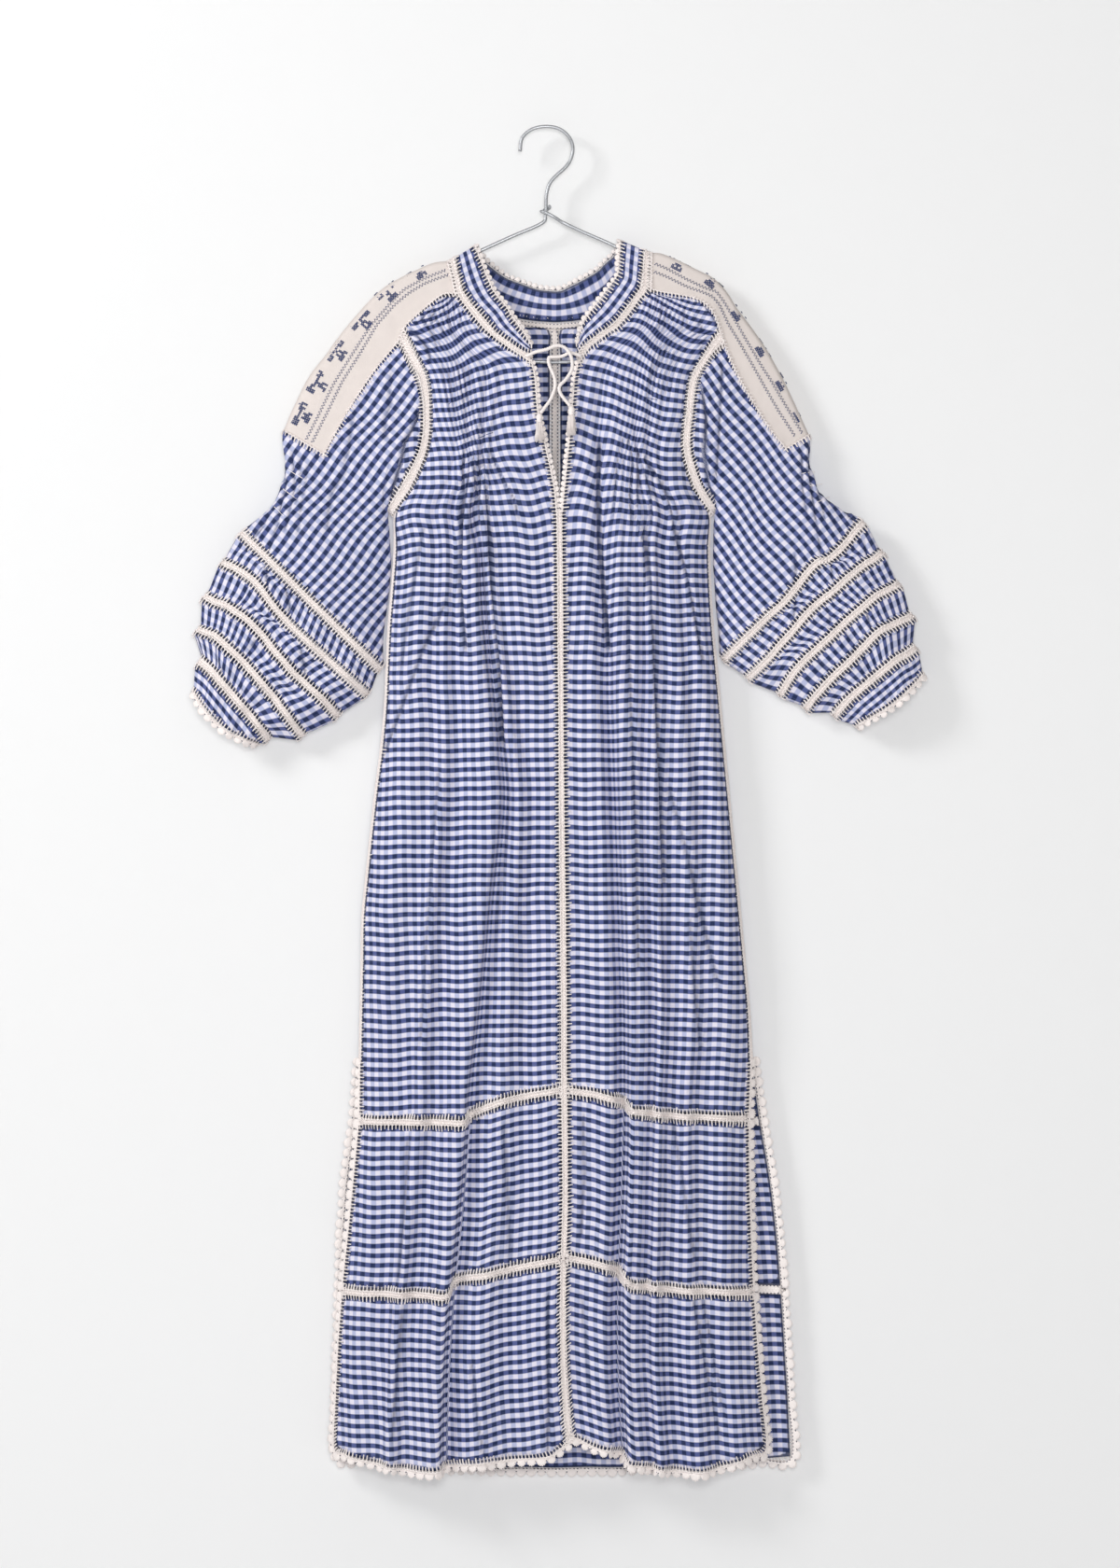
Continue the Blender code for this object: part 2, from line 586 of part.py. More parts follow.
def build_body():
    for side in ("left", "right"):
        points, normals = keep("front_" + side, front_panel(side), (0, -1, 0))
        flatten_beside_band(points, normals, (0.0, -1.0, 0.0))
        grid_shell("front_" + side, points, normals, GINGHAM)
        columns = points.shape[1]
        for tier, (top, bottom, low) in {
            "upper": ("upper ", "lower ", HALF_INSERTION), "lower": ("lower ", "hem ", 0.0),
        }.items():
            rows = curved_rows(
                side, front_row, columns, SEAM_CURVES[top + side], SEAM_CURVES[bottom + side],
                TIER_ROWS, -HALF_INSERTION, low,
            )
            name = "front_tier_" + tier + "_" + side
            points, normals = keep(name, rows, (0, -1, 0))
            grid_shell(name, points, normals, GINGHAM)
        back = [back_row(side, height) for height in BACK_TOP_ROWS[side] + LOWER_ROWS]
        tail = curved_rows(
            side, back_row, len(BACK_WAVES), None, SEAM_CURVES["back upper"], TAIL_ROWS, 0.0, HALF_INSERTION,
        )
        points, normals = keep("back_" + side, back + tail[1:], (0, 1, 0))
        flatten_beside_band(points, normals, (0.0, 1.0, 0.0))
        grid_shell("back_" + side, points, normals, GINGHAM)
    for tier, (top, bottom, low) in {
        "upper": ("back upper", "back lower", HALF_INSERTION), "lower": ("back lower", "back hem", 0.0),
    }.items():
        halves = []
        for side in ("left", "right"):
            rows = curved_rows(
                side, back_row, len(BACK_WAVES), SEAM_CURVES[top], SEAM_CURVES[bottom],
                TIER_ROWS, -HALF_INSERTION, low,
            )
            halves.append(np.array(rows))
        rows = np.concatenate([halves[0], halves[1][:, ::-1]], axis=1)
        points, normals = keep("back_tier_" + tier, rows, (0, 1, 0))
        grid_shell("back_tier_" + tier, points, normals, GINGHAM)


def build_insertions():
    """Straight crochet strips of the body."""
    for side in ("left", "right"):
        for seam, (above, below) in {
            "upper": ("front_" + side, "front_tier_upper_" + side),
            "lower": ("front_tier_upper_" + side, "front_tier_lower_" + side),
        }.items():
            first, first_normals = panels[above][0][-1], panels[above][1][-1]
            second, second_normals = panels[below][0][0], panels[below][1][0]
            name = "front_insertion_" + seam + "_" + side
            strip(name, first, first_normals, second, second_normals, CROCHET)
            panels[name] = (np.stack([first, second]), np.stack([first_normals, second_normals]))
        front, front_normals = panels["front_" + side]
        back, back_normals = panels["back_" + side]
        front_first = len(FRONT_TOP_ROWS[side]) - 1
        back_first = len(BACK_TOP_ROWS[side]) - 1
        count = len(LOWER_ROWS) + 1
        strip(
            "side_insertion_" + side,
            front[front_first:front_first + count, 0], front_normals[front_first:front_first + count, 0],
            back[back_first:back_first + count, 0], back_normals[back_first:back_first + count, 0], CROCHET,
        )
    joined, joined_normals = [], []
    for side in ("left", "right"):
        points, normals = panels["back_" + side]
        order = slice(None) if side == "left" else slice(None, None, -1)
        joined.append(points[-1][order])
        joined_normals.append(normals[-1][order])
    above, above_normals = np.concatenate(joined), np.concatenate(joined_normals)
    for seam, (first, first_normals, below) in {
        "upper": (above, above_normals, "back_tier_upper"),
        "lower": (panels["back_tier_upper"][0][-1], panels["back_tier_upper"][1][-1], "back_tier_lower"),
    }.items():
        strip(
            "back_insertion_" + seam, first, first_normals, panels[below][0][0], panels[below][1][0], CROCHET,
        )
    # Centre strips run from the slit to the hem in front and from the neck to the band seam behind
    columns = []
    for side in ("left", "right"):
        start = FRONT_TOP_ROWS[side].index(-435)
        names = ["front_" + side, "front_tier_upper_" + side, "front_tier_lower_" + side]
        points = np.concatenate([panels[name][0][(start if name == names[0] else 0):, -1] for name in names])
        normals = np.concatenate([panels[name][1][(start if name == names[0] else 0):, -1] for name in names])
        columns.append((points, normals))
    strip("centre_front_insertion", *columns[0], *columns[1], CROCHET)
    columns = []
    for side in ("left", "right"):
        points, normals = panels["back_" + side]
        start = BACK_TOP_ROWS[side].index(-227)
        columns.append((points[start:, -1], normals[start:, -1]))
    strip("centre_back_insertion", *columns[0], *columns[1], CROCHET)


def mitre(path, normals, turn):
    """Directions across a path that lie in the surface; turn is 1 or -1 for the side that they point to."""
    path = np.asarray(path, float)
    tangents = unit(np.diff(path, axis=0))
    before = np.concatenate([tangents[:1], tangents])
    after = np.concatenate([tangents, tangents[-1:]])
    first = unit(np.cross(before, normals)) * turn
    second = unit(np.cross(after, normals)) * turn
    middle = unit(first + second)
    stretch = 1.0 / np.maximum(np.sum(middle * first, axis=1, keepdims=True), 0.6)
    return middle * stretch


def outline(names, start_rows, hem_names):
    """Edge points of a hem: down one side, along the bottom and up the other side."""
    left, left_normals, right, right_normals = [], [], [], []
    for name, start in zip(names["left"], start_rows["left"]):
        left.append(panels[name][0][start:, 0])
        left_normals.append(panels[name][1][start:, 0])
    for name, start in zip(names["right"], start_rows["right"]):
        column = -1 if name.startswith("back_tier") else 0
        right.append(panels[name][0][start:, column])
        right_normals.append(panels[name][1][start:, column])
    bottom, bottom_normals = [], []
    for name in hem_names:
        points, normals = panels[name][0][-1], panels[name][1][-1]
        if name.endswith("right"):
            points, normals = points[::-1], normals[::-1]
        bottom.append(points)
        bottom_normals.append(normals)
    left, right, bottom = np.concatenate(left), np.concatenate(right), np.concatenate(bottom)
    left_normals, right_normals = np.concatenate(left_normals), np.concatenate(right_normals)
    bottom_normals = np.concatenate(bottom_normals)
    path = np.concatenate([left, bottom[1:-1], right[::-1]])
    normals = np.concatenate([left_normals, bottom_normals[1:-1], right_normals[::-1]])
    return path, normals


def wide_border(name, path, normals, width, material_name, turn, gap=SEAM_GAP):
    sideways = mitre(path, normals, turn)
    points = np.stack([path + sideways * gap, path + sideways * (gap + width)])
    return grid_shell(name, points, np.stack([normals, normals]), material_name)


def build_edgings():
    starts = {side: len(FRONT_TOP_ROWS[side]) + len(LOWER_ROWS) - 1 for side in ("left", "right")}
    names = {
        side: ("front_" + side, "front_tier_upper_" + side, "front_tier_lower_" + side)
        for side in ("left", "right")
    }
    path, normals = outline(
        names, {side: (starts[side], 0, 0) for side in ("left", "right")},
        ("front_tier_lower_left", "front_tier_lower_right"),
    )
    wide_border("front_hem_edging", path, normals, EDGING_WIDTH, CROCHET, hem_turn(path, normals))
    starts = {side: len(BACK_TOP_ROWS[side]) + len(LOWER_ROWS) - 1 for side in ("left", "right")}
    names = {side: ("back_" + side, "back_tier_upper", "back_tier_lower") for side in ("left", "right")}
    path, normals = outline(
        names, {side: (starts[side], 0, 0) for side in ("left", "right")}, ("back_tier_lower",),
    )
    wide_border("back_hem_edging", path, normals, EDGING_WIDTH, CROCHET, hem_turn(path, normals))


def hem_turn(path, normals):
    """The sign that sends a border of this path down at its lowest part."""
    middle = len(path) // 2
    sideways = mitre(path, normals, 1)
    return 1 if sideways[middle - 3][2] < 0 else -1


# Neck
def neck_points():
    """Outer edge, band seam and band top of the neck, each with normals that lean from the body to the band."""
    outer, seam, top, normals = [], [], [], []
    for number, (outer_z, outer_x, seam_z, seam_x, top_z, top_x, depth) in enumerate(NECK):
        if number < LEFT_FRONT_STATIONS:
            row = FRONT_TOP_ROWS["left"].index(outer_z)
            point, normal = panels["front_left"][0][row, -1], panels["front_left"][1][row, -1]
        elif number >= RIGHT_FRONT_FIRST:
            row = FRONT_TOP_ROWS["right"].index(outer_z)
            point, normal = panels["front_right"][0][row, -1], panels["front_right"][1][row, -1]
        elif BACK_LEFT_FIRST <= number <= BACK_LEFT_LAST:
            row = BACK_TOP_ROWS["left"].index(outer_z)
            point, normal = panels["back_left"][0][row, -1], panels["back_left"][1][row, -1]
        elif BACK_RIGHT_FIRST <= number <= BACK_RIGHT_LAST:
            row = BACK_TOP_ROWS["right"].index(outer_z)
            point, normal = panels["back_right"][0][row, -1], panels["back_right"][1][row, -1]
        else:
            sign = -1.0 if number < BACK_LEFT_FIRST else 1.0
            point = np.array((outer_x, float(depth), outer_z))
            out, along, up = SHOULDER_LEAN
            normal = unit(np.array((sign * out, along * depth, up)))
        drift = point[1] * SEAM_DRIFT
        outer.append(point)
        seam.append((seam_x, drift, seam_z))
        top.append((top_x, point[1] * TOP_DRIFT["front" if point[1] < 0 else "back"], top_z))
        normals.append(normal)
    return np.array(outer), np.array(seam), np.array(top), unit(np.array(normals))


def build_neck():
    outer, seam, top, outer_normals = neck_points()
    lower = unit(seam - outer)
    upper = unit(top - seam)
    # Normals stand square to the band's rise and to the way round the neck
    around = unit(np.gradient(seam, axis=0))
    band_normals = unit(np.cross(around, upper))
    seam_normals = unit(np.cross(around, lower) + band_normals)
    for number in range(len(outer)):
        for field in (band_normals, seam_normals):
            if np.dot(field[number], outer_normals[number]) < 0:
                field[number] *= -1
    points = np.stack([outer + lower * SEAM_GAP, seam - lower * SEAM_GAP])
    panels["neck_insertion"] = (points, np.stack([outer_normals, seam_normals]))
    grid_shell("neck_insertion", *panels["neck_insertion"], CROCHET)
    middle = (seam + top) / 2
    points = np.stack([seam + upper * SEAM_GAP, middle, top])
    normals = np.stack([seam_normals, band_normals, band_normals])
    grid_shell("neck_band", points, normals, GINGHAM)
    points = np.stack([top + upper * EDGING_GAP, top + upper * (EDGING_GAP + NECK_EDGING_WIDTH)])
    grid_shell("neck_edging", points, np.stack([band_normals, band_normals]), CROCHET)


def build_slit_edging():
    """The V of edging down both sides of the neck slit, joined at its foot."""
    points, normals = [], []
    for height, width in SLIT_EDGING:
        row_left, row_right = FRONT_TOP_ROWS["left"].index(height), FRONT_TOP_ROWS["right"].index(height)
        left, right = panels["front_left"][0][row_left, -1], panels["front_right"][0][row_right, -1]
        left_normal, right_normal = panels["front_left"][1][row_left, -1], panels["front_right"][1][row_right, -1]
        across = unit(right - left)
        points.append([
            left + across * SEAM_GAP, left + across * (SEAM_GAP + width),
            right - across * (SEAM_GAP + width), right - across * SEAM_GAP,
        ])
        middle_normal = unit(left_normal + right_normal)
        normals.append([left_normal, middle_normal, middle_normal, right_normal])
    points, normals = np.array(points), np.array(normals)
    points[-1, :, 2] += SEAM_GAP * 2
    last = len(points) - 2
    grid_shell(
        "slit_edging", points, normals, CROCHET, skip=lambda row, column: column == 1 and row < last,
    )


# Shoulder bands and sleeves
def arch(fold, low, front_depth, back_depth, back_low=None):
    """Points over a fold from the front edge to the back edge."""
    fold = np.array(fold, float)
    points = []
    for angle in (-90.0,) + FOLD_ANGLES + (90.0,):
        turn = math.radians(angle)
        edge = np.array(back_low if back_low is not None and angle > 0 else low, float)
        flat = fold + (edge - fold) * (1.0 - math.cos(turn)) ** FOLD_FLATNESS
        depth = (front_depth if angle < 0 else back_depth) * math.sin(turn)
        points.append((flat[0], depth, flat[1]))
    return np.array(points)


def sleeve_profile(share, depth):
    """Half depth of the sleeve's section between the top point and the inner fold."""
    if share >= 1:
        return INNER_FOLD_DEPTH
    flat = depth * (1.0 - share ** SECTION_POWER) ** SECTION_ROUNDNESS
    return flat + SECTION_FULLNESS * math.sin(math.pi * share)


def ring(outer, inner, front_depth, back_depth, ripple=0.0, top=None):
    """One ring of a sleeve: down the front from the top point, up the back, then over the fold."""
    outer, inner = np.array(outer, float), np.array(inner, float)
    if top is None:
        top = outer + (inner - outer) * TOP_SHARE
    top = np.array(top, float)
    points = []
    for number in range(FRONT_STATIONS):
        share = number / (FRONT_STATIONS - 1)
        flat = top + (inner - top) * share
        wave = ripple * (1 if number % 2 else -1) if 0 < number < FRONT_STATIONS - 1 else 0.0
        points.append((flat[0], -sleeve_profile(share, front_depth) - wave, flat[1]))
    for number in reversed(range(FRONT_STATIONS)):
        share = number / (FRONT_STATIONS - 1)
        flat = top + (inner - top) * share
        wave = ripple * 0.5 * (1 if number % 2 else -1) if 0 < number < FRONT_STATIONS - 1 else 0.0
        points.append((flat[0], sleeve_profile(share, back_depth) + wave, flat[1]))
    over = arch(outer, top, front_depth, back_depth)
    points.extend(over[1:-1][::-1])
    return np.array(points)


def seam_ring(side, number, shift, ripple):
    """The ring of one sleeve seam, shifted along the sleeve."""
    outer_x, outer_z, inner_x, inner_z, front_depth, back_depth = SLEEVE_SEAMS[side][number]
    outer, inner = np.array((outer_x, outer_z), float), np.array((inner_x, inner_z), float)
    line = (inner - outer) / np.linalg.norm(inner - outer)
    axis = np.array((-line[1], line[0])) if side == "right" else np.array((line[1], -line[0]))
    if axis[1] > 0:
        axis = -axis
    return ring(outer + axis * shift, inner + axis * shift, front_depth, back_depth, ripple)


def tube_normals(points):
    normals = grid_normals(points, closed=True)
    centre = points.mean(axis=1, keepdims=True)
    return normals if float(np.sum(normals * (points - centre))) > 0 else -normals


def armhole_row(side, front_rows, back_rows):
    """The sleeve's first row: the cut edge, at the depth that the body panel has across the insertion."""
    body, back = panels["front_" + side][0], panels["back_" + side][0]
    edge = SLEEVE_EDGES[side]
    last = FRONT_STATIONS - 1
    row = []
    for number in range(FRONT_STATIONS):
        depth = body[front_rows[number], 0][1] if number < last else -UNDERARM_DEPTH
        row.append((edge[number][0], depth, edge[number][1]))
    for number in reversed(range(FRONT_STATIONS)):
        depth = back[back_rows[number], 0][1] if number < last else UNDERARM_DEPTH
        row.append((edge[number][0], depth, edge[number][1]))
    return np.array(row, float)


def armhole_bulge(row):
    """How far each point of the armhole row stands off the straight line between its ends."""
    start, end = row[0], row[FRONT_STATIONS - 1]
    bulge = []
    for number in range(2 * FRONT_STATIONS):
        station = min(number, 2 * FRONT_STATIONS - 1 - number)
        straight = start + (end - start) * station / (FRONT_STATIONS - 1)
        reach = BULGE_REACH[station]
        bulge.append((reach * (row[number][0] - straight[0]), 0.0, reach * (row[number][2] - straight[2])))
    return np.array(bulge)


def sleeve_grid(side, first):
    """All rings of one sleeve from the armhole to the cuff's edging, and their normals."""
    bands = SHOULDER_BANDS[side]
    around = 2 * FRONT_STATIONS
    over = arch(bands[-5][0:2], bands[-5][2:4], BAND_DEPTH, BAND_BACK_DEPTH)
    rows = [np.concatenate([first, over[1:-1][::-1]])]
    bulge = armhole_bulge(first)
    open_rows = len(SLEEVE_ROWS[side]) - len(SLEEVE_FOLDS[side])
    for number, (top_x, top_z, inner_x, inner_z) in enumerate(SLEEVE_ROWS[side]):
        front_depth, back_depth = SLEEVE_DEPTHS[number]
        if number >= open_rows:
            fold = SLEEVE_FOLDS[side][number - open_rows]
        else:
            fold = bands[len(bands) - 1 - (open_rows - number)][0:2]
        made = ring(fold, (inner_x, inner_z), front_depth, back_depth, 0.0, (top_x, top_z))
        made[:around] += bulge * SLEEVE_BULGE[number]
        blend = min(1.0, (number + 1) / BLEND_ROWS)
        inside = slice(1, around - 1)
        made[inside, 1] = made[inside, 1] * blend + first[inside, 1] * (1 - blend)
        rows.append(made)
    for number in range(len(SEAM_NAMES)):
        rows.append(seam_ring(side, number, -HALF_INSERTION, RING_RIPPLE if number else 0.0))
        rows.append(seam_ring(side, number, HALF_INSERTION, RING_RIPPLE))
    points = np.array(rows)
    normals = tube_normals(points)
    flat = np.array((0.0, 1.0, 0.0))
    normals[:open_rows + 2, 0] = -flat
    normals[:open_rows + 2, around - 1] = flat
    return points, normals, open_rows + 1


def build_sleeve(side):
    front_rows = [FRONT_TOP_ROWS[side].index(height) for height in ARMHOLE_ROWS]
    back_rows = [BACK_TOP_ROWS[side].index(height) for height in ARMHOLE_ROWS]
    first = armhole_row(side, front_rows, back_rows)
    points, normals, band_end = sleeve_grid(side, first)
    around = 2 * FRONT_STATIONS
    count = len(SLEEVE_ROWS[side]) + 2
    # The shoulder band takes the columns over the fold until its end
    grid_shell(
        "sleeve_" + side, points[:count], normals[:count], GINGHAM, closed=True,
        skip=lambda row, column: row < band_end and column >= around - 1,
    )
    body, body_normals = panels["front_" + side]
    back, back_normals = panels["back_" + side]
    inner = np.concatenate([body[front_rows, 0], back[back_rows[::-1], 0]])
    inner_normals = np.concatenate([body_normals[front_rows, 0], back_normals[back_rows[::-1], 0]])
    strip("armhole_insertion_" + side, inner, inner_normals, points[0, :around], normals[0, :around], CROCHET)
    build_sleeve_bands(side, points[count - 1:], normals[count - 1:])


def build_sleeve_bands(side, points, normals):
    """From the first seam down: insertion, gathered band, insertion and so on to the cuff and its edging."""
    last = len(SEAM_NAMES) - 1
    for number, letter in enumerate(SEAM_NAMES):
        above, below = 2 * number, 2 * number + 1
        if number < last:
            strip(
                "sleeve_insertion_" + letter + "_" + side, points[above], normals[above],
                points[below], normals[below], CROCHET, closed=True,
            )
            name = "cuff_" + side if number == last - 1 else "sleeve_tier_" + letter + "_" + side
            grid_shell(name, points[below:below + 2], normals[below:below + 2], GINGHAM, closed=True)
        else:
            edge = points[above:below + 1].copy()
            edge[0] += unit(edge[1] - edge[0]) * SEAM_GAP
            grid_shell("cuff_edging_" + side, edge, normals[above:below + 1], CROCHET, closed=True)


def build_shoulder_band(side):
    """The folded band from the neck to the elbow, one row a station."""
    rows = []
    for number, (fold_x, fold_z, low_x, low_z) in enumerate(SHOULDER_BANDS[side]):
        corner = BAND_BACK_CORNERS[side] if number == 0 else None
        rows.append(arch((fold_x, fold_z), (low_x, low_z), BAND_DEPTH, BAND_BACK_DEPTH, corner))
    points = np.array(rows)
    normals = outward(grid_normals(points), np.array((0.0, 0.0, 1.0)))
    normals[:, 0] = (0.0, -1.0, 0.0)
    normals[:, -1] = (0.0, 1.0, 0.0)
    points[:, 0] += unit(points[:, 1] - points[:, 0]) * BAND_GAP
    points[:, -1] += unit(points[:, -2] - points[:, -1]) * BAND_GAP
    points[0] += unit(points[1] - points[0]) * BAND_GAP
    points[-1] -= unit(points[-1] - points[-2]) * BAND_GAP
    grid_shell("shoulder_band_" + side, points, normals, CREAM)


# Cords, tassels and wire
def smooth_path(points, count):
    """Evenly spaced points of a smooth curve through the given ones."""
    points = np.asarray(points, float)
    padded = np.concatenate([2 * points[:1] - points[1:2], points, 2 * points[-1:] - points[-2:-1]])
    dense = []
    for number in range(1, len(padded) - 2):
        before, start, end, after = padded[number - 1:number + 3]
        for step in range(CURVE_STEPS):
            share = step / CURVE_STEPS
            dense.append(0.5 * (
                2 * start + (end - before) * share + (2 * before - 5 * start + 4 * end - after) * share ** 2
                + (3 * start - before - 3 * end + after) * share ** 3
            ))
    dense.append(points[-1])
    dense = np.array(dense)
    travelled = np.concatenate([[0.0], np.cumsum(np.linalg.norm(np.diff(dense, axis=0), axis=1))])
    wanted = np.linspace(0.0, travelled[-1], count)
    return np.stack([np.interp(wanted, travelled, dense[:, axis]) for axis in range(3)], axis=1)


def cord(name, path, radius, material_name, resolution=2):
    curve = bpy.data.curves.new(name, "CURVE")
    curve.dimensions = "3D"
    curve.bevel_depth = radius * MM
    curve.bevel_resolution = resolution
    curve.use_fill_caps = True
    curve.resolution_u = 1
    spline = curve.splines.new("POLY")
    spline.points.add(len(path) - 1)
    for point, place in zip(spline.points, path):
        point.co = (place[0] * MM, place[1] * MM, place[2] * MM, 1.0)
    curve.materials.append(material(material_name))
    body = bpy.data.objects.new(name, curve)
    bpy.context.scene.collection.objects.link(body)
    return body


def tassel(name, place):
    """A wound head whose locks grow out of the underside."""
    points, faces = [], []
    for radius, height in TASSEL_PROFILE:
        for side in range(TASSEL_SIDES):
            turn = 2 * math.pi * side / TASSEL_SIDES
            points.append((radius * math.cos(turn), radius * math.sin(turn), height))
    faces.append(tuple(range(TASSEL_SIDES)))
    for row in range(len(TASSEL_PROFILE) - 1):
        upper, lower = row * TASSEL_SIDES, (row + 1) * TASSEL_SIDES
        for side in range(TASSEL_SIDES):
            following = (side + 1) % TASSEL_SIDES
            faces.append((upper + following, upper + side, lower + side, lower + following))
    rim = (len(TASSEL_PROFILE) - 1) * TASSEL_SIDES
    inner = len(points)
    bottom = TASSEL_PROFILE[-1][1]
    for side in range(TASSEL_SIDES):
        turn = 2 * math.pi * side / TASSEL_SIDES
        points.append((TASSEL_CORE_RADIUS * math.cos(turn), TASSEL_CORE_RADIUS * math.sin(turn), bottom))
    faces.append(tuple(inner + side for side in reversed(range(TASSEL_SIDES))))
    for side in range(TASSEL_SIDES):
        following = (side + 1) % TASSEL_SIDES
        corners = [rim + side, inner + side, inner + following, rim + following]
        centre = np.mean([points[index] for index in corners], axis=0)
        loop = []
        for index in corners:
            corner = np.array(points[index])
            loop.append(len(points))
            points.append(tuple(centre + (corner - centre) * LOCK_SIZE))
        for number in range(4):
            after = (number + 1) % 4
            faces.append((corners[number], corners[after], loop[after], loop[number]))
        away = np.array((centre[0], centre[1], 0.0)) / np.linalg.norm(centre[:2])
        length = LOCK_LENGTHS[side]
        for share, size in ((0.5, 1.0), (1.0, LOCK_TIP_SIZE)):
            following_loop = []
            place_of_centre = centre + away * LOCK_SPREAD * share + np.array((0, 0, -length * share))
            for index in corners:
                corner = np.array(points[index])
                following_loop.append(len(points))
                points.append(tuple(place_of_centre + (corner - centre) * LOCK_SIZE * size))
            for number in range(4):
                after = (number + 1) % 4
                faces.append((loop[number], loop[after], following_loop[after], following_loop[number]))
            loop = following_loop
        faces.append(tuple(loop))
    points = [tuple(np.array(point) + np.array(place)) for point in points]
    return add_mesh(name, points, faces, TIE)


def tie(side):
    """A cord whose root faces the end of the neck insertion."""
    points, normals = panels["neck_insertion"]
    end, following = (0, 1) if side == "left" else (-1, -2)
    share = TIE_ROOT_SHARE[side]
    seat = points[:, end].mean(axis=0) * (1 - share) + points[:, following].mean(axis=0) * share
    across, along = points[1, end] - points[0, end], points[0, following] - points[0, end]
    normal = unit(np.cross(across, along))
    normal = normal * (-1.0 if normal[1] > 0 else 1.0)
    root = seat + normal * (WALL / 2 + SEAM_GAP)
    route = smooth_path((tuple(root + normal * TIE_LEAD),) + TIE_PATHS[side], TIE_POINTS[side])
    cord("tie_" + side, np.concatenate([[root], route]), TIE_RADIUS, TIE)


def thin_out(path, most_turn, longest):
    """Keep a point wherever the path has turned or run far enough since the last kept one."""
    kept = [path[0]]
    heading = unit(path[1] - path[0])
    for before, point, after in zip(path[:-2], path[1:-1], path[2:]):
        turned = math.degrees(math.acos(min(1.0, float(np.dot(heading, unit(after - point))))))
        if turned > most_turn or np.linalg.norm(point - kept[-1]) > longest:
            kept.append(point)
            heading = unit(after - point)
    kept.append(path[-1])
    return np.array(kept)


def build_hanger():
    """One wire: the hook, both arms and the bottom bar, and a turn of its end round the stem."""
    flat = HOOK_PATH + LEFT_ARM + LEFT_END + BOTTOM_BAR + RIGHT_END + RIGHT_ARM
    route = [(x, 0.0, z) for x, z in flat]
    route.append(TURN_LEAD)
    for step in range(TURN_STEPS):
        angle = math.radians(TURN_START + TURN_SWEEP * step / (TURN_STEPS - 1))
        climb = TURN_CLIMB * step / (TURN_STEPS - 1)
        route.append((TURN_X + TURN_RADIUS * math.cos(angle), TURN_RADIUS * math.sin(angle), TURN_Z + climb))
    path = thin_out(smooth_path(route, WIRE_SAMPLES), WIRE_TURN, WIRE_STEP)
    cord("hanger", path, WIRE_RADIUS, WIRE)


def build():
    for old in list(bpy.data.objects):
        bpy.data.objects.remove(old, do_unlink=True)
    build_body()
    build_insertions()
    build_edgings()
    build_neck()
    build_slit_edging()
    for side in ("left", "right"):
        build_sleeve(side)
        build_shoulder_band(side)
        tie(side)
        tassel("tassel_" + side, TASSELS[side])
    build_hanger()


build()
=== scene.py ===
"""The looks of a long gingham dress with crochet insertions, hung on a bent wire hanger.

Tables are in millimetres. "left" means -X, -Y is the front and +Z is up.
"""
import math

import bpy
import numpy as np
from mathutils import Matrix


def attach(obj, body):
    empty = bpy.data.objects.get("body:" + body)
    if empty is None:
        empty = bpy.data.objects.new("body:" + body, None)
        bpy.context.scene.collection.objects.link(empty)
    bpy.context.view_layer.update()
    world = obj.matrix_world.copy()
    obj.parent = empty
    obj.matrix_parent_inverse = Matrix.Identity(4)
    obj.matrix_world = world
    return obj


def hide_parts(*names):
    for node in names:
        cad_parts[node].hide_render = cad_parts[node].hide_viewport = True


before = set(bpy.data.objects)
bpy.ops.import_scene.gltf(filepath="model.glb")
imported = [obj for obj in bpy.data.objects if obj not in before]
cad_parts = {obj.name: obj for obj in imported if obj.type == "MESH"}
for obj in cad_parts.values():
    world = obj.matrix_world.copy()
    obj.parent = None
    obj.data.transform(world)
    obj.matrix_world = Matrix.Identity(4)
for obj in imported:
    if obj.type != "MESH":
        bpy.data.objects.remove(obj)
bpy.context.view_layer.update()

bl_info = {
    "name": "Gingham dress",
    "version": (1, 0, 0),
    "blender": (4, 5, 0),
    "location": "3D View > Sidebar > Dress",
    "description": "Makes a gingham dress with crochet insertions on a wire hanger",
    "category": "Object",
}

MM = 0.001

# Driving sizes
WALL = 1.6
SEAM_GAP = 0.3
INSERTION_WIDTH = 10.4
EDGING_WIDTH = 9.0
NECK_EDGING_WIDTH = 5.0
EDGING_GAP = 0.5
HALF_INSERTION = INSERTION_WIDTH / 2
WIRE_RADIUS = 2.0
BACK_CENTRE_DEPTH = 11.0
ROUND_REACH = 90.0
SLIT_TOP_Z = -1056.0
UNDERARM_Z = -435
# How many wide spaces come before the fold where the checks jump
WIDE_BEFORE = {"left": 2, "right": 3}
# The way that the rows of checks run on each sleeve, as x and z
SLEEVE_WAY = {"left": (156.0, 188.0), "right": (-153.0, 190.0)}
# Where the rows of checks of each cuff start, and how many times closer they are than on flat cloth
CUFF_CHECKS = {"left": (1.8, 1.0), "right": (2.1, 1.26)}
# How far the inner edge of a sleeve moves to the body, and the radius of the ties as they show
UNDERARM_SHIFT = 2.6
TIE_SHOWN_RADIUS = 1.9
# Where the rows of points lie across a crocheted insertion, as shares of its width
STRIP_PLACES = (0.2, 0.32, 0.44, 0.56, 0.68, 0.8)
BACK_STRIP_PLACES = (0.03, 0.2, 0.4, 0.6, 0.8, 0.97)
# Strips whose inner face shows through the neck, down to a height
SEEN_INSIDE = ("centre_back_insertion", "neck_insertion")
SEEN_INSIDE_Z = -420.0
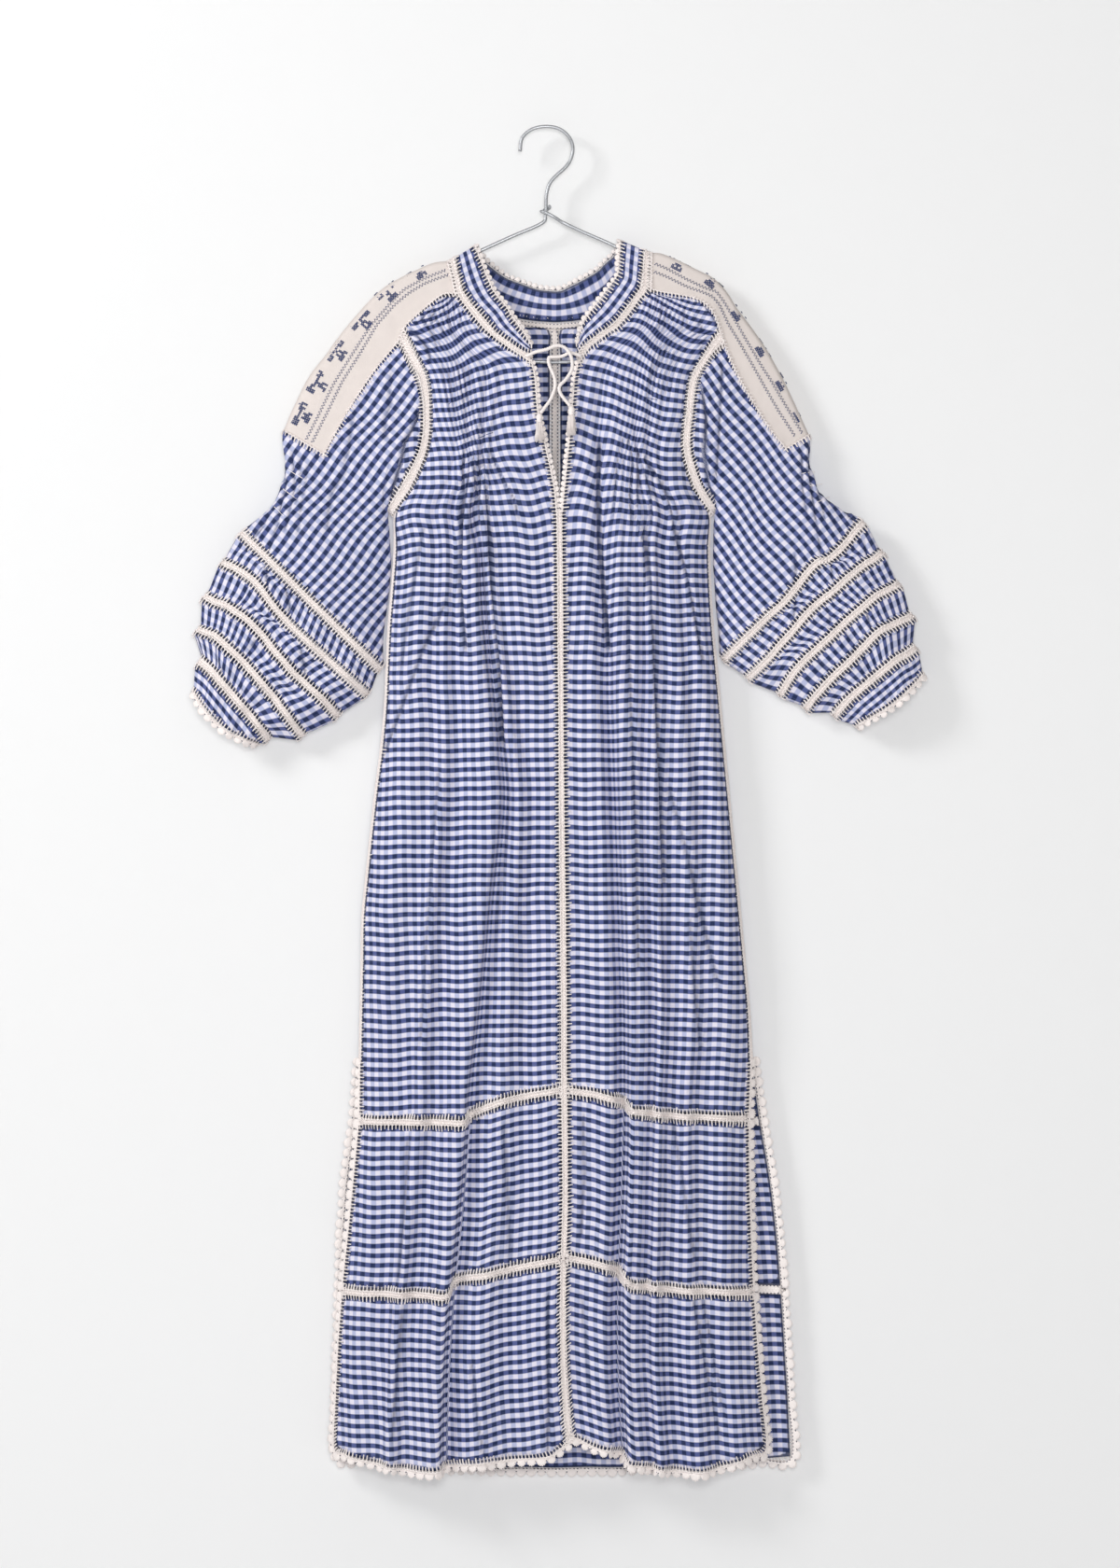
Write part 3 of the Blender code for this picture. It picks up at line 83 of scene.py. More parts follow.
# The wound head of a tassel as radius and height, and its loose strands
TASSEL_HEAD = (
    (0.0, 0.4), (2.0, 0.0), (3.2, -1.4), (3.8, -3.4), (3.6, -5.2), (2.9, -6.2), (2.9, -7.0), (3.5, -7.8), (3.2, -9.4),
    (0.0, -9.8),
)
TASSEL_SIDES, TASSEL_STRANDS = 14, 130
# How far the stitches and chains of a band stand off its surface
STITCH_LIFT = 0.35
# Edgings: width, the share of it that is solid, and the sizes of the scallops in metres
EDGINGS = {
    "hem": (EDGING_WIDTH, 0.5, {"Spacing": 0.0115, "Reach": 0.0052}),
    "cuff": (8.5, 0.42, {"Spacing": 0.0105, "Reach": 0.0044}),
    "neck": (NECK_EDGING_WIDTH, 0.4, {"Spacing": 0.0068, "Reach": 0.0032, "Thread_Radius": 0.0007}),
    "slit": (6.0, 0.45, {"Spacing": 0.0062, "Reach": 0.0026, "Thread_Radius": 0.0007}),
}
# The stage in millimetres: height and half width of the floor, then place, half width and top of the wall
FLOOR_Z, FLOOR_REACH = -1660, 6000
WALL_Y, WALL_REACH, WALL_TOP = 22, 3000, 2000
# Area lights: place, size and power
LIGHTS = {
    "key": ((-2.8, -2.0, 1.2), 1.0, 64.0),
    "front": ((0.1, -4.3, -0.35), 1.0, 70.0),
    "behind": ((0.6, 2.8, 1.0), 2.4, 40.0),
}
LIGHTS_AIM = (0.0, 0.0, -0.7)
# What the camera looks at, square to the wall
CAMERA_AIM = (0.0147, -0.020, -0.7413)

# Straight edges of each front half: height, side edge, centre edge
FRONT_EDGES = {
    "left": (
        (-191, -118, -102), (-208, -140, -90), (-227, -160, -75), (-239, -154, -62), (-254, -147, -41),
        (-268, -140, -19), (-285, -133, -15), (-321, -130, -12), (-363, -133, -3), (-405, -150, 6),
        (-435, -170, 9), (-489, -170, 10), (-552, -176, 10), (-678, -182, 12), (-762, -193, 12),
        (-888, -206, 13), (-993, -208, 14), (-1056, -209, 14), (-1119, -210, 15), (-1214, -219, 16),
        (-1308, -229, 13), (-1392, -235, 14), (-1493, -239, 21), (-1520, -240, 22),
    ),
    "right": (
        (-187, 126, 114), (-195, 168, 106), (-208, 186, 98), (-227, 194, 82), (-239, 186, 65),
        (-254, 177, 46), (-268, 169, 37), (-285, 160, 33), (-321, 155, 30), (-363, 152, 26),
        (-405, 163, 22), (-435, 182, 19), (-489, 181, 19), (-552, 184, 20), (-678, 196, 20),
        (-762, 204, 21), (-888, 216, 23), (-993, 226, 24), (-1056, 228, 24), (-1119, 226, 25),
        (-1214, 227, 25), (-1308, 231, 22), (-1392, 237, 23), (-1493, 246, 32), (-1520, 247, 33),
    ),
}
BACK_EDGES = {
    "left": (
        (-181, -101, -98), (-191, -118, -90), (-208, -140, -71), (-219, -152, -47), (-224, -157, -22),
        (-227, -160, 2), (-254, -147, 3), (-285, -133, 3), (-321, -130, 3), (-363, -133, 3),
        (-405, -150, 4), (-435, -170, 4), (-489, -170, 4), (-552, -176, 4), (-678, -182, 4),
        (-762, -193, 4), (-888, -206, 4), (-993, -208, 4), (-1056, -210, 4), (-1119, -215, 4),
        (-1214, -228, 4), (-1308, -231, 4), (-1434, -235, 4), (-1520, -234, 4),
    ),
    "right": (
        (-177, 107, 104), (-187, 126, 98), (-195, 168, 90), (-208, 186, 78), (-219, 190, 58),
        (-225, 192.5, 38), (-227, 194, 15), (-254, 177, 15), (-285, 160, 15), (-321, 155, 15),
        (-363, 152, 15), (-405, 163, 15), (-435, 182, 15), (-489, 181, 15), (-552, 184, 15),
        (-678, 196, 15), (-762, 204, 15), (-888, 216, 15), (-993, 226, 15), (-1056, 231, 15),
        (-1119, 240, 15), (-1214, 256, 15), (-1308, 264, 15), (-1434, 272, 15), (-1520, 276, 15),
    ),
}
# Heights of the mesh rows that all four body panels share below the underarm
LOWER_ROWS = (-478, -522, -566, -612, -658, -704, -750, -796, -842, -890, -940, -998, -1056)
# How far the cloth turns in at the side edge by height: 1 wraps round the side, 0 hangs flat beside the slit
SIDE_TURN = ((-435, 1.0), (-940, 1.0), (-1056, 0.1), (-1100, 0.0))
ARMHOLE_ROWS = (-227, -254, -285, -321, -363, -405, -435)


def rows_above_underarm(edges):
    return {side: tuple(row[0] for row in rows if row[0] >= UNDERARM_Z) for side, rows in edges.items()}


FRONT_TOP_ROWS, BACK_TOP_ROWS = rows_above_underarm(FRONT_EDGES), rows_above_underarm(BACK_EDGES)
# Rows between the last level row and the band seam, and down each band of the skirt
TAIL_ROWS = 3
TIER_ROWS = 4

# Half depth of the cloth at the side edge by height
SIDE_DEPTH = (
    (-181, 12), (-227, 12), (-254, 15), (-285, 16.5), (-321, 17.5), (-363, 16), (-405, 11), (-435, 5.3),
)
BACK_SIDE_DEPTH = ((-181, 9), (-227, 9), (-285, 10), (-363, 10), (-405, 8.5), (-435, 5.3))
CENTRE_DEPTH = (
    (-181, 12), (-208, 14), (-227, 17), (-254, 22), (-268, 25), (-321, 27), (-405, 29), (-600, 29),
    (-900, 27), (-1100, 29), (-1300, 33), (-1520, 36),
)

# Front folds: position across at the release, the hip, the upper band and the hem, and relief toward the front
FOLDS = {
    "left": (
        (-111, -155, -187, -218, 4.0), (-104, -132, -158, -190, -4.0), (-98, -118, -143, -176, 5.0),
        (-92, -103, -128, -162, -6.0), (-87, -82, -111, -141, 4.0), (-82, -56, -93, -122, 9.0),
        (-77, -45, -85, -112, -11.0), (-71, -32, -54, -80, 6.0), (-66, -15, -25, -40, -4.0),
        (-43, 4, 5, 1, 2.0),
    ),
    "right": (
        (134, 191, 198, 214, 4.0), (128, 172, 170, 193, -5.0), (122, 158, 156, 172, 4.0),
        (116, 132, 138, 143, -7.0), (109, 120, 126, 128, 7.0), (103, 109, 118, 118, -4.0),
        (97, 99, 109, 107, 5.0), (72, 86, 96, 93, 9.0), (58, 76, 86, 84, -11.0),
        (46, 62, 73, 69, 4.0), (32, 33, 38, 43, -2.0),
    ),
}
FOLD_HEIGHTS = {"release": -374.0, "hip": -762.0, "band": -1098.0, "hem": -1497.0}
SHOULDER_Z = -222.0
FOLD_GROWTH = (
    (-195, 0.0), (-227, 0.12), (-300, 0.2), (-374, 0.35), (-480, 0.6), (-762, 0.85), (-1098, 1.0),
    (-1520, 1.1),
)
# Spaces between folds that get one more column of points
WIDE_SPACES = {"left": (0, 8, 9, 10), "right": (0, 7, 10)}
BACK_WAVES = (0.0, 1.6, -1.8, 2.4, -2.2, 2.6, -2.0, 1.4, 0.0)

# Seams of the skirt bands, height against the distance across, and the hem
SEAM_CURVES = {
    "upper left": ((-215, -1122), (-88, -1121), (-84, -1108), (-40, -1095), (15, -1085)),
    "upper right": ((25, -1086), (60, -1091), (86, -1099), (94, -1108), (140, -1114), (228, -1119)),
    "lower left": ((-232, -1314), (-110, -1315), (-104, -1300), (-50, -1288), (13, -1275)),
    "lower right": ((22, -1273), (60, -1280), (84, -1290), (92, -1303), (140, -1309), (238, -1315)),
    "hem left": (
        (-242, -1488), (-220, -1497), (-170, -1507), (-127, -1511), (-110, -1504), (-60, -1499), (0, -1494),
        (21, -1480),
    ),
    "hem right": (
        (32, -1472), (50, -1482), (84, -1490), (90, -1500), (130, -1508), (167, -1512), (204, -1505),
        (246, -1490),
    ),
    "back upper": ((-216, -1124), (-100, -1121), (10, -1118), (120, -1120), (242, -1123)),
    "back lower": ((-232, -1316), (-100, -1313), (10, -1310), (120, -1311), (266, -1314)),
    "back hem": ((-236, -1500), (-150, -1514), (10, -1516), (170, -1514), (276, -1502)),
}

# Neck: height and distance across of the outer edge of the insertion, the band seam and the band top,
# from the left side of the slit round the back to the right side, and the half depth of the outer edge
NECK = (
    (-268, -19, -258, -18, -248, -18, 0),
    (-254, -41, -246, -37, -235, -27, 0),
    (-239, -62, -232, -56, -219, -39, 0),
    (-227, -75, -218, -67, -204, -48, 0),
    (-208, -90, -201, -82, -188, -61, 0),
    (-191, -102, -184, -93, -171, -69, 0),
    (-170, -106, -166, -99, -153, -76, -9),
    (-153, -110.5, -148, -102.5, -136, -82.5, -5.5),
    (-152, -111, -147, -103, -135, -83, 0),
    (-153.5, -110, -148.5, -102, -136.5, -82, 5.5),
    (-181, -98, -173, -90, -145, -75, 0),
    (-191, -90, -184, -84, -154, -66, 0),
    (-208, -71, -200, -66, -168, -47, 0),
    (-219, -47, -211, -43, -175, -29, 0),
    (-224, -22, -216, -21, -181, -12, 0),
    (-227, 2, -218, 2, -183, 2, 0),
    (-227, 15, -218, 15, -183, 15, 0),
    (-225, 38, -216, 36, -178, 26, 0),
    (-219, 58, -211, 54, -171, 40, 0),
    (-208, 78, -201, 71, -161, 57, 0),
    (-195, 90, -188, 83, -152, 66, 0),
    (-187, 98, -181, 90, -147, 72, 0),
    (-177, 104, -171, 97, -141, 78, 0),
    (-144.5, 116, -140.5, 108, -130.5, 84, 5.5),
    (-143, 117, -139, 109, -129, 85, 0),
    (-144, 116.5, -140, 108.5, -130, 84.5, -5.5),
    (-164, 115.5, -160, 107, -150, 83, -9),
    (-187, 114, -178, 105, -166, 82, 0),
    (-195, 106, -188, 99, -174, 78, 0),
    (-208, 98, -201, 90, -186, 69, 0),
    (-227, 82, -219, 76, -201, 58, 0),
    (-239, 65, -231, 61, -214, 48, 0),
    (-254, 46, -245, 43, -227, 39, 0),
    (-268, 37, -258, 34, -246, 34, 0),
)
LEFT_FRONT_STATIONS = 6
BACK_LEFT_FIRST, BACK_LEFT_LAST = 10, 15
BACK_RIGHT_FIRST, BACK_RIGHT_LAST = 16, 22
RIGHT_FRONT_FIRST = 27
# Over the shoulders the neck's normal leans out, toward the front or back, and up
SHOULDER_LEAN = (0.55, 0.12, 0.83)
# Depth of the band seam and of the band top as shares of the outer edge's
SEAM_DRIFT = 0.96
TOP_DRIFT = {"front": 0.80, "back": 0.90}

# Edging down the neck slit: height and width
SLIT_EDGING = ((-268, 6.0), (-285, 6.0), (-321, 6.0), (-363, 6.0), (-405, 5.5), (-435, 4.6))

# Shoulder bands: distance across and height of the fold, then of the lower edge
SHOULDER_BANDS = {
    "left": (
        (-111, -152, -102.3, -189), (-132, -156, -118, -191), (-160, -169, -140, -208), (-185, -184, -160, -227),
        (-204, -203, -168, -244), (-225, -227, -191, -272), (-248, -258, -211, -301), (-271, -290, -231, -334),
        (-296, -344, -251, -371),
    ),
    "right": (
        (117, -143, 116.5, -183), (132, -145, 126, -187), (167, -161, 168, -195), (188, -172, 186, -208),
        (203, -188, 194, -227), (214, -206, 200, -246), (231, -229, 214, -279), (249, -256, 231, -309),
        (270, -295, 250, -340), (295, -349, 269, -365),
    ),
}
# The back corner of the neck end of each shoulder band
BAND_BACK_CORNERS = {"left": (-101, -181), "right": (107, -177)}
BAND_DEPTH = 12.0
BAND_BACK_DEPTH = 9.0
BAND_GAP = 0.5
FOLD_ANGLES = (-30.0, 0.0, 30.0)
FOLD_FLATNESS = 1.5

# Sleeves: the armhole edge of the sleeve, rows of top point and inner point, and the outer fold of the last rows
SLEEVE_EDGES = {
    "left": ((-168, -244), (-156, -268), (-146, -288), (-141, -321), (-144, -359), (-160, -393), (-181, -427)),
    "right": ((200, -246), (185, -262), (171, -286), (166, -321), (163, -359), (173, -397), (191, -427)),
}
SLEEVE_ROWS = {
    "left": (
        (-191, -272, -181, -440), (-211, -301, -180, -462), (-231, -334, -179, -487), (-251, -371, -181, -513),
        (-271, -403, -185, -542), (-289, -437, -189, -573),
    ),
    "right": (
        (214, -279, 191, -440), (231, -309, 191, -462), (250, -340, 191, -487), (269, -365, 193, -512),
        (285, -395, 195, -538), (296, -426, 198, -566),
    ),
}
SLEEVE_FOLDS = {
    "left": ((-296, -344), (-294, -384), (-309, -427)),
    "right": ((295, -349), (297, -384), (313, -420)),
}
FRONT_STATIONS = 7
BLEND_ROWS = 4
# The sleeve's flattened section: how square it is, how full its lower half, and its depth at the inner fold
SECTION_POWER, SECTION_ROUNDNESS = 2.6, 0.42
SECTION_FULLNESS = 3.0
INNER_FOLD_DEPTH = 2.4
# Share of the armhole's curve that each station and each row keeps
BULGE_REACH = (1.0, 1.0, 1.0, 1.0, 0.35, 0.0, 0.0)
UNDERARM_DEPTH = 3.4
SLEEVE_BULGE = (0.7, 0.45, 0.28, 0.14, 0.05, 0.0)
SLEEVE_DEPTHS = ((12.0, 9.0), (12.0, 9.0), (12.0, 9.0), (12.0, 9.0), (14.0, 10.0), (17.0, 11.0))
# Seams round the sleeve: outer point, inner point, front depth, back depth
SLEEVE_SEAMS = {
    "left": (
        (-344, -459, -191, -610, 19, 11), (-365, -495, -206, -638, 21, 11), (-385, -533, -238, -663, 22, 11),
        (-393, -571, -278, -686, 21, 11), (-392, -607, -316, -690, 17, 10), (-401, -639, -330, -698, 16, 10),
    ),
    "right": (
        (356, -447, 202, -599, 19, 11), (377, -481, 229, -620, 21, 11), (396, -517, 265, -639, 22, 11),
        (411, -552, 294, -655, 21, 11), (415, -588, 326, -663, 17, 10), (426, -620, 353, -678, 16, 10),
    ),
}
SEAM_NAMES = "abcdef"
TOP_SHARE = 0.22
RING_RIPPLE = 1.6

# Wire path: distance across and height
HOOK_PATH = (
    (-30.5, -26), (-28.5, -12), (-21.5, -4), (-12, 0.6), (1, 2.0), (13, -0.4), (22.5, -7), (28, -16),
    (29.2, -26), (26, -37), (20, -45), (11, -53), (4, -61), (0.5, -70), (-1, -80), (-1.5, -98),
)
LEFT_ARM = ((-6, -107.5), (-40, -122.5), (-75, -138.5), (-111, -155.6), (-150, -173.2), (-172, -183.5))
LEFT_END = ((-181, -189.5), (-187, -197), (-189, -207), (-185, -217), (-177, -224))
BOTTOM_BAR = ((-120, -245), (-60, -258), (0, -264.5), (60, -260.5), (120, -243))
RIGHT_END = ((172, -219), (181, -212), (185, -203), (183, -193), (176, -185))
RIGHT_ARM = ((165, -179.0), (150, -171.0), (117, -154.6), (75, -132.5), (40, -117.0), (18, -106.5))
# The wire's end goes once round the stem above the arms
TURN_RADIUS = 4.6
TURN_X, TURN_Z = -1.6, -97.0
TURN_START, TURN_SWEEP, TURN_STEPS, TURN_CLIMB = -60.0, -320.0, 12, 8.5
TURN_LEAD = (9.0, -3.2, -101.5)
CURVE_STEPS = 16

# Ties after the root: distance across, depth and height. The left tie passes in front to the right tassel
TIE_PATHS = {
    "left": (
        (-13, -33.5, -257), (0, -35.5, -254), (10, -35.5, -250), (20, -34.5, -252), (27, -34.5, -262),
        (28, -34.5, -276), (21, -35.5, -288), (14, -36.5, -296), (16, -36.5, -305), (26, -35.8, -317.5),
    ),
    "right": (
        (26, -31.0, -257.5), (18, -30.0, -261), (10, -30.0, -262), (2, -30.2, -263), (3, -31.0, -272),
        (8, -31.5, -284), (9, -32.5, -296), (4, -33.5, -310), (-3, -34.5, -320), (-7, -35.0, -325.5),
    ),
}
# A tie's root: share of the way from the neck insertion's end to its next station, and the length of the lead
# that stands straight out of it
TIE_ROOT_SHARE = {"left": 0.16, "right": 0.16}
TIE_LEAD = 3.0
TIE_POINTS = {"left": 30, "right": 24}
TASSELS = {"left": (-8.5, -35.3, -326.3), "right": (27.5, -36.0, -318.6)}


def look_up(table, height, column=1):
    rows = sorted(table, key=lambda row: row[0])
    return float(np.interp(height, [row[0] for row in rows], [row[column] for row in rows]))


def unit(vectors):
    vectors = np.asarray(vectors, float)
    length = np.linalg.norm(vectors, axis=-1, keepdims=True)
    return vectors / np.maximum(length, 1e-9)


def grid_normals(points, closed=False):
    """Normals at the points of a grid, rows by columns: the mean of those of the faces round each point."""
    if closed:
        points = np.concatenate([points, points[:, :1]], axis=1)
    faces = unit(np.cross(points[1:, 1:] - points[:-1, :-1], points[:-1, 1:] - points[1:, :-1]))
    rows, columns = points.shape[:2]
    total = np.zeros((rows, columns, 3))
    for row_shift in (0, 1):
        for column_shift in (0, 1):
            total[row_shift:rows - 1 + row_shift, column_shift:columns - 1 + column_shift] += faces
    if closed:
        total[:, 0] += total[:, -1]
        total = total[:, :-1]
    return unit(total)


def rounded(share):
    share = min(max(share, 0.0), 1.0)
    return math.sqrt(1.0 - (1.0 - share) ** 2)


def turned_in(share, height):
    """Share of the full depth at a distance in from the side edge."""
    share = min(max(share, 0.0), 1.0)
    turn = look_up(SIDE_TURN, height)
    return turn * rounded(share) + (1.0 - turn) * share * (2.0 - share)


def edge_at(table, height):
    return look_up(table, height, 1), look_up(table, height, 2)


def fold_knots(side, height):
    """Places across the front panel at one height, and the relief there, from the side edge to the centre edge."""
    side_x, centre_x = edge_at(FRONT_EDGES[side], height)
    folds = FOLDS[side]
    levels = [FOLD_HEIGHTS[key] for key in ("release", "hip", "band", "hem")]
    shares_by_level = []
    for number, level in enumerate(levels):
        level_side, level_centre = edge_at(FRONT_EDGES[side], level)
        shares_by_level.append([(fold[number] - level_side) / (level_centre - level_side) for fold in folds])
    even = [(number + 1) / (len(folds) + 1) for number in range(len(folds))]
    levels = [SHOULDER_Z] + levels
    shares_by_level = [even] + shares_by_level
    order = np.argsort(levels)
    shares = []
    for number in range(len(folds)):
        values = [shares_by_level[level][number] for level in order]
        shares.append(float(np.interp(height, [levels[level] for level in order], values)))
    growth = look_up(FOLD_GROWTH, height)
    knots = [0.0] + shares + [1.0]
    relief = [0.0] + [fold[4] * growth for fold in folds] + [0.0]
    return side_x, centre_x, knots, relief


def front_columns(side, height):
    """The columns of the front mesh: the folds, with one more column in each wide space."""
    side_x, centre_x, knots, relief = fold_knots(side, height)
    shares, reliefs = [], []
    for number in range(len(knots) - 1):
        shares.append(knots[number])
        reliefs.append(relief[number])
        if number in WIDE_SPACES[side]:
            shares.append((knots[number] + knots[number + 1]) / 2)
            reliefs.append((relief[number] + relief[number + 1]) / 2)
    shares.append(1.0)
    reliefs.append(0.0)
    return side_x, centre_x, np.array(shares), np.array(reliefs)


def front_row(side, height, heights=None):
    """One row of front points; heights gives each column its own height where the row is curved."""
    side_x, centre_x, shares, reliefs = front_columns(side, height)
    row = []
    for column, (share, relief) in enumerate(zip(shares, reliefs)):
        level = height if heights is None else heights[column]
        if heights is not None:
            side_x, centre_x, own_shares, own_reliefs = front_columns(side, level)
            share, relief = own_shares[column], own_reliefs[column]
        x = side_x + (centre_x - side_x) * share
        side_depth = look_up(SIDE_DEPTH, level)
        centre_depth = look_up(CENTRE_DEPTH, level)
        rise = turned_in(abs(x - side_x) / ROUND_REACH, level)
        row.append((x, -(side_depth + (centre_depth - side_depth) * rise) - relief, level))
    return row


def curved_rows(side, row_function, column_count, top, bottom, count, top_offset, bottom_offset):
    """Rows between two seam curves, with each column's heights found from where the column crosses them."""
    rows = []
    tops, bottoms = [], []
    for column in range(column_count):
        for curve, offset, found in ((top, top_offset, tops), (bottom, bottom_offset, bottoms)):
            if curve is None:
                found.append(SLIT_TOP_Z)
                continue
            level = curve[0][1]
            for _ in range(4):
                x = row_function(side, level)[column][0]
                level = look_up(curve, x)
            found.append(level + offset)
    for number in range(count):
        share = number / (count - 1)
        heights = [first + (second - first) * share for first, second in zip(tops, bottoms)]
        rows.append(row_function(side, tops[0], heights))
    return rows


def outward(normals, toward):
    """Flip a grid's normals when most of them look the other way."""
    return normals if float(np.sum(normals * toward)) > 0 else -normals


def flatten_beside_band(points, normals, toward):
    """Along the shoulder band the wall stands square to the front, like the band's own edge."""
    beside = points[:, 0, 2] >= ARMHOLE_ROWS[0]
    normals[beside, 0] = toward
    normals[0] = toward


def front_panel(side):
    columns = len(front_columns(side, -762)[2])
    rows = [front_row(side, height) for height in FRONT_TOP_ROWS[side] + LOWER_ROWS]
    seam = SEAM_CURVES["upper " + side]
    tail = curved_rows(side, front_row, columns, None, seam, TAIL_ROWS, 0.0, HALF_INSERTION)
    return rows + tail[1:]


def back_row(side, height, heights=None):
    row = []
    for column, wave in enumerate(BACK_WAVES):
        share = column / (len(BACK_WAVES) - 1)
        level = height if heights is None else heights[column]
        side_x, centre_x = edge_at(BACK_EDGES[side], level)
        x = side_x + (centre_x - side_x) * share
        side_depth = look_up(BACK_SIDE_DEPTH, level)
        depth = side_depth + (BACK_CENTRE_DEPTH - side_depth) * turned_in(abs(x - side_x) / ROUND_REACH, level)
        row.append((x, depth + wave * look_up(FOLD_GROWTH, level), level))
    return row


def mitre(path, normals, turn):
    """Directions across a path that lie in the surface; turn is 1 or -1 for the side that they point to."""
    path = np.asarray(path, float)
    tangents = unit(np.diff(path, axis=0))
    before = np.concatenate([tangents[:1], tangents])
    after = np.concatenate([tangents, tangents[-1:]])
    first = unit(np.cross(before, normals)) * turn
    second = unit(np.cross(after, normals)) * turn
    middle = unit(first + second)
    stretch = 1.0 / np.maximum(np.sum(middle * first, axis=1, keepdims=True), 0.6)
    return middle * stretch


def hem_turn(path, normals):
    """The sign that sends a border of this path down at its lowest part."""
    middle = len(path) // 2
    sideways = mitre(path, normals, 1)
    return 1 if sideways[middle - 3][2] < 0 else -1


def arch(fold, low, front_depth, back_depth, back_low=None):
    """Points over a fold from the front edge to the back edge."""
    fold = np.array(fold, float)
    points = []
    for angle in (-90.0,) + FOLD_ANGLES + (90.0,):
        turn = math.radians(angle)
        edge = np.array(back_low if back_low is not None and angle > 0 else low, float)
        flat = fold + (edge - fold) * (1.0 - math.cos(turn)) ** FOLD_FLATNESS
        depth = (front_depth if angle < 0 else back_depth) * math.sin(turn)
        points.append((flat[0], depth, flat[1]))
    return np.array(points)


def sleeve_profile(share, depth):
    """Half depth of the sleeve's section between the top point and the inner fold."""
    if share >= 1:
        return INNER_FOLD_DEPTH
    flat = depth * (1.0 - share ** SECTION_POWER) ** SECTION_ROUNDNESS
    return flat + SECTION_FULLNESS * math.sin(math.pi * share)


def ring(outer, inner, front_depth, back_depth, ripple=0.0, top=None):
    """One ring of a sleeve: down the front from the top point, up the back, then over the fold."""
    outer, inner = np.array(outer, float), np.array(inner, float)
    if top is None:
        top = outer + (inner - outer) * TOP_SHARE
    top = np.array(top, float)
    points = []
    for number in range(FRONT_STATIONS):
        share = number / (FRONT_STATIONS - 1)
        flat = top + (inner - top) * share
        wave = ripple * (1 if number % 2 else -1) if 0 < number < FRONT_STATIONS - 1 else 0.0
        points.append((flat[0], -sleeve_profile(share, front_depth) - wave, flat[1]))
    for number in reversed(range(FRONT_STATIONS)):
        share = number / (FRONT_STATIONS - 1)
        flat = top + (inner - top) * share
        wave = ripple * 0.5 * (1 if number % 2 else -1) if 0 < number < FRONT_STATIONS - 1 else 0.0
        points.append((flat[0], sleeve_profile(share, back_depth) + wave, flat[1]))
    over = arch(outer, top, front_depth, back_depth)
    points.extend(over[1:-1][::-1])
    return np.array(points)


def seam_ring(side, number, shift, ripple):
    """The ring of one sleeve seam, shifted along the sleeve."""
    outer_x, outer_z, inner_x, inner_z, front_depth, back_depth = SLEEVE_SEAMS[side][number]
    outer, inner = np.array((outer_x, outer_z), float), np.array((inner_x, inner_z), float)
    line = (inner - outer) / np.linalg.norm(inner - outer)
    axis = np.array((-line[1], line[0])) if side == "right" else np.array((line[1], -line[0]))
    if axis[1] > 0:
        axis = -axis
    return ring(outer + axis * shift, inner + axis * shift, front_depth, back_depth, ripple)


def tube_normals(points):
    normals = grid_normals(points, closed=True)
    centre = points.mean(axis=1, keepdims=True)
    return normals if float(np.sum(normals * (points - centre))) > 0 else -normals


def armhole_row(side, front_rows, back_rows):
    """The sleeve's first row: the cut edge, at the depth that the body panel has across the insertion."""
    body, back = panels["front_" + side][0], panels["back_" + side][0]
    edge = SLEEVE_EDGES[side]
    last = FRONT_STATIONS - 1
    row = []
    for number in range(FRONT_STATIONS):
        depth = body[front_rows[number], 0][1] if number < last else -UNDERARM_DEPTH
        row.append((edge[number][0], depth, edge[number][1]))
    for number in reversed(range(FRONT_STATIONS)):
        depth = back[back_rows[number], 0][1] if number < last else UNDERARM_DEPTH
        row.append((edge[number][0], depth, edge[number][1]))
    return np.array(row, float)


def armhole_bulge(row):
    """How far each point of the armhole row stands off the straight line between its ends."""
    start, end = row[0], row[FRONT_STATIONS - 1]
    bulge = []
    for number in range(2 * FRONT_STATIONS):
        station = min(number, 2 * FRONT_STATIONS - 1 - number)
        straight = start + (end - start) * station / (FRONT_STATIONS - 1)
        reach = BULGE_REACH[station]
        bulge.append((reach * (row[number][0] - straight[0]), 0.0, reach * (row[number][2] - straight[2])))
    return np.array(bulge)


def sleeve_grid(side, first):
    """All rings of one sleeve from the armhole to the cuff's edging, and their normals."""
    bands = SHOULDER_BANDS[side]
    around = 2 * FRONT_STATIONS
    over = arch(bands[-5][0:2], bands[-5][2:4], BAND_DEPTH, BAND_BACK_DEPTH)
    rows = [np.concatenate([first, over[1:-1][::-1]])]
    bulge = armhole_bulge(first)
    open_rows = len(SLEEVE_ROWS[side]) - len(SLEEVE_FOLDS[side])
    for number, (top_x, top_z, inner_x, inner_z) in enumerate(SLEEVE_ROWS[side]):
        front_depth, back_depth = SLEEVE_DEPTHS[number]
        if number >= open_rows:
            fold = SLEEVE_FOLDS[side][number - open_rows]
        else:
            fold = bands[len(bands) - 1 - (open_rows - number)][0:2]
        made = ring(fold, (inner_x, inner_z), front_depth, back_depth, 0.0, (top_x, top_z))
        made[:around] += bulge * SLEEVE_BULGE[number]
        blend = min(1.0, (number + 1) / BLEND_ROWS)
        inside = slice(1, around - 1)
        made[inside, 1] = made[inside, 1] * blend + first[inside, 1] * (1 - blend)
        rows.append(made)
    for number in range(len(SEAM_NAMES)):
        rows.append(seam_ring(side, number, -HALF_INSERTION, RING_RIPPLE if number else 0.0))
        rows.append(seam_ring(side, number, HALF_INSERTION, RING_RIPPLE))
    points = np.array(rows)
    normals = tube_normals(points)
    flat = np.array((0.0, 1.0, 0.0))
    normals[:open_rows + 2, 0] = -flat
    normals[:open_rows + 2, around - 1] = flat
    return points, normals, open_rows + 1


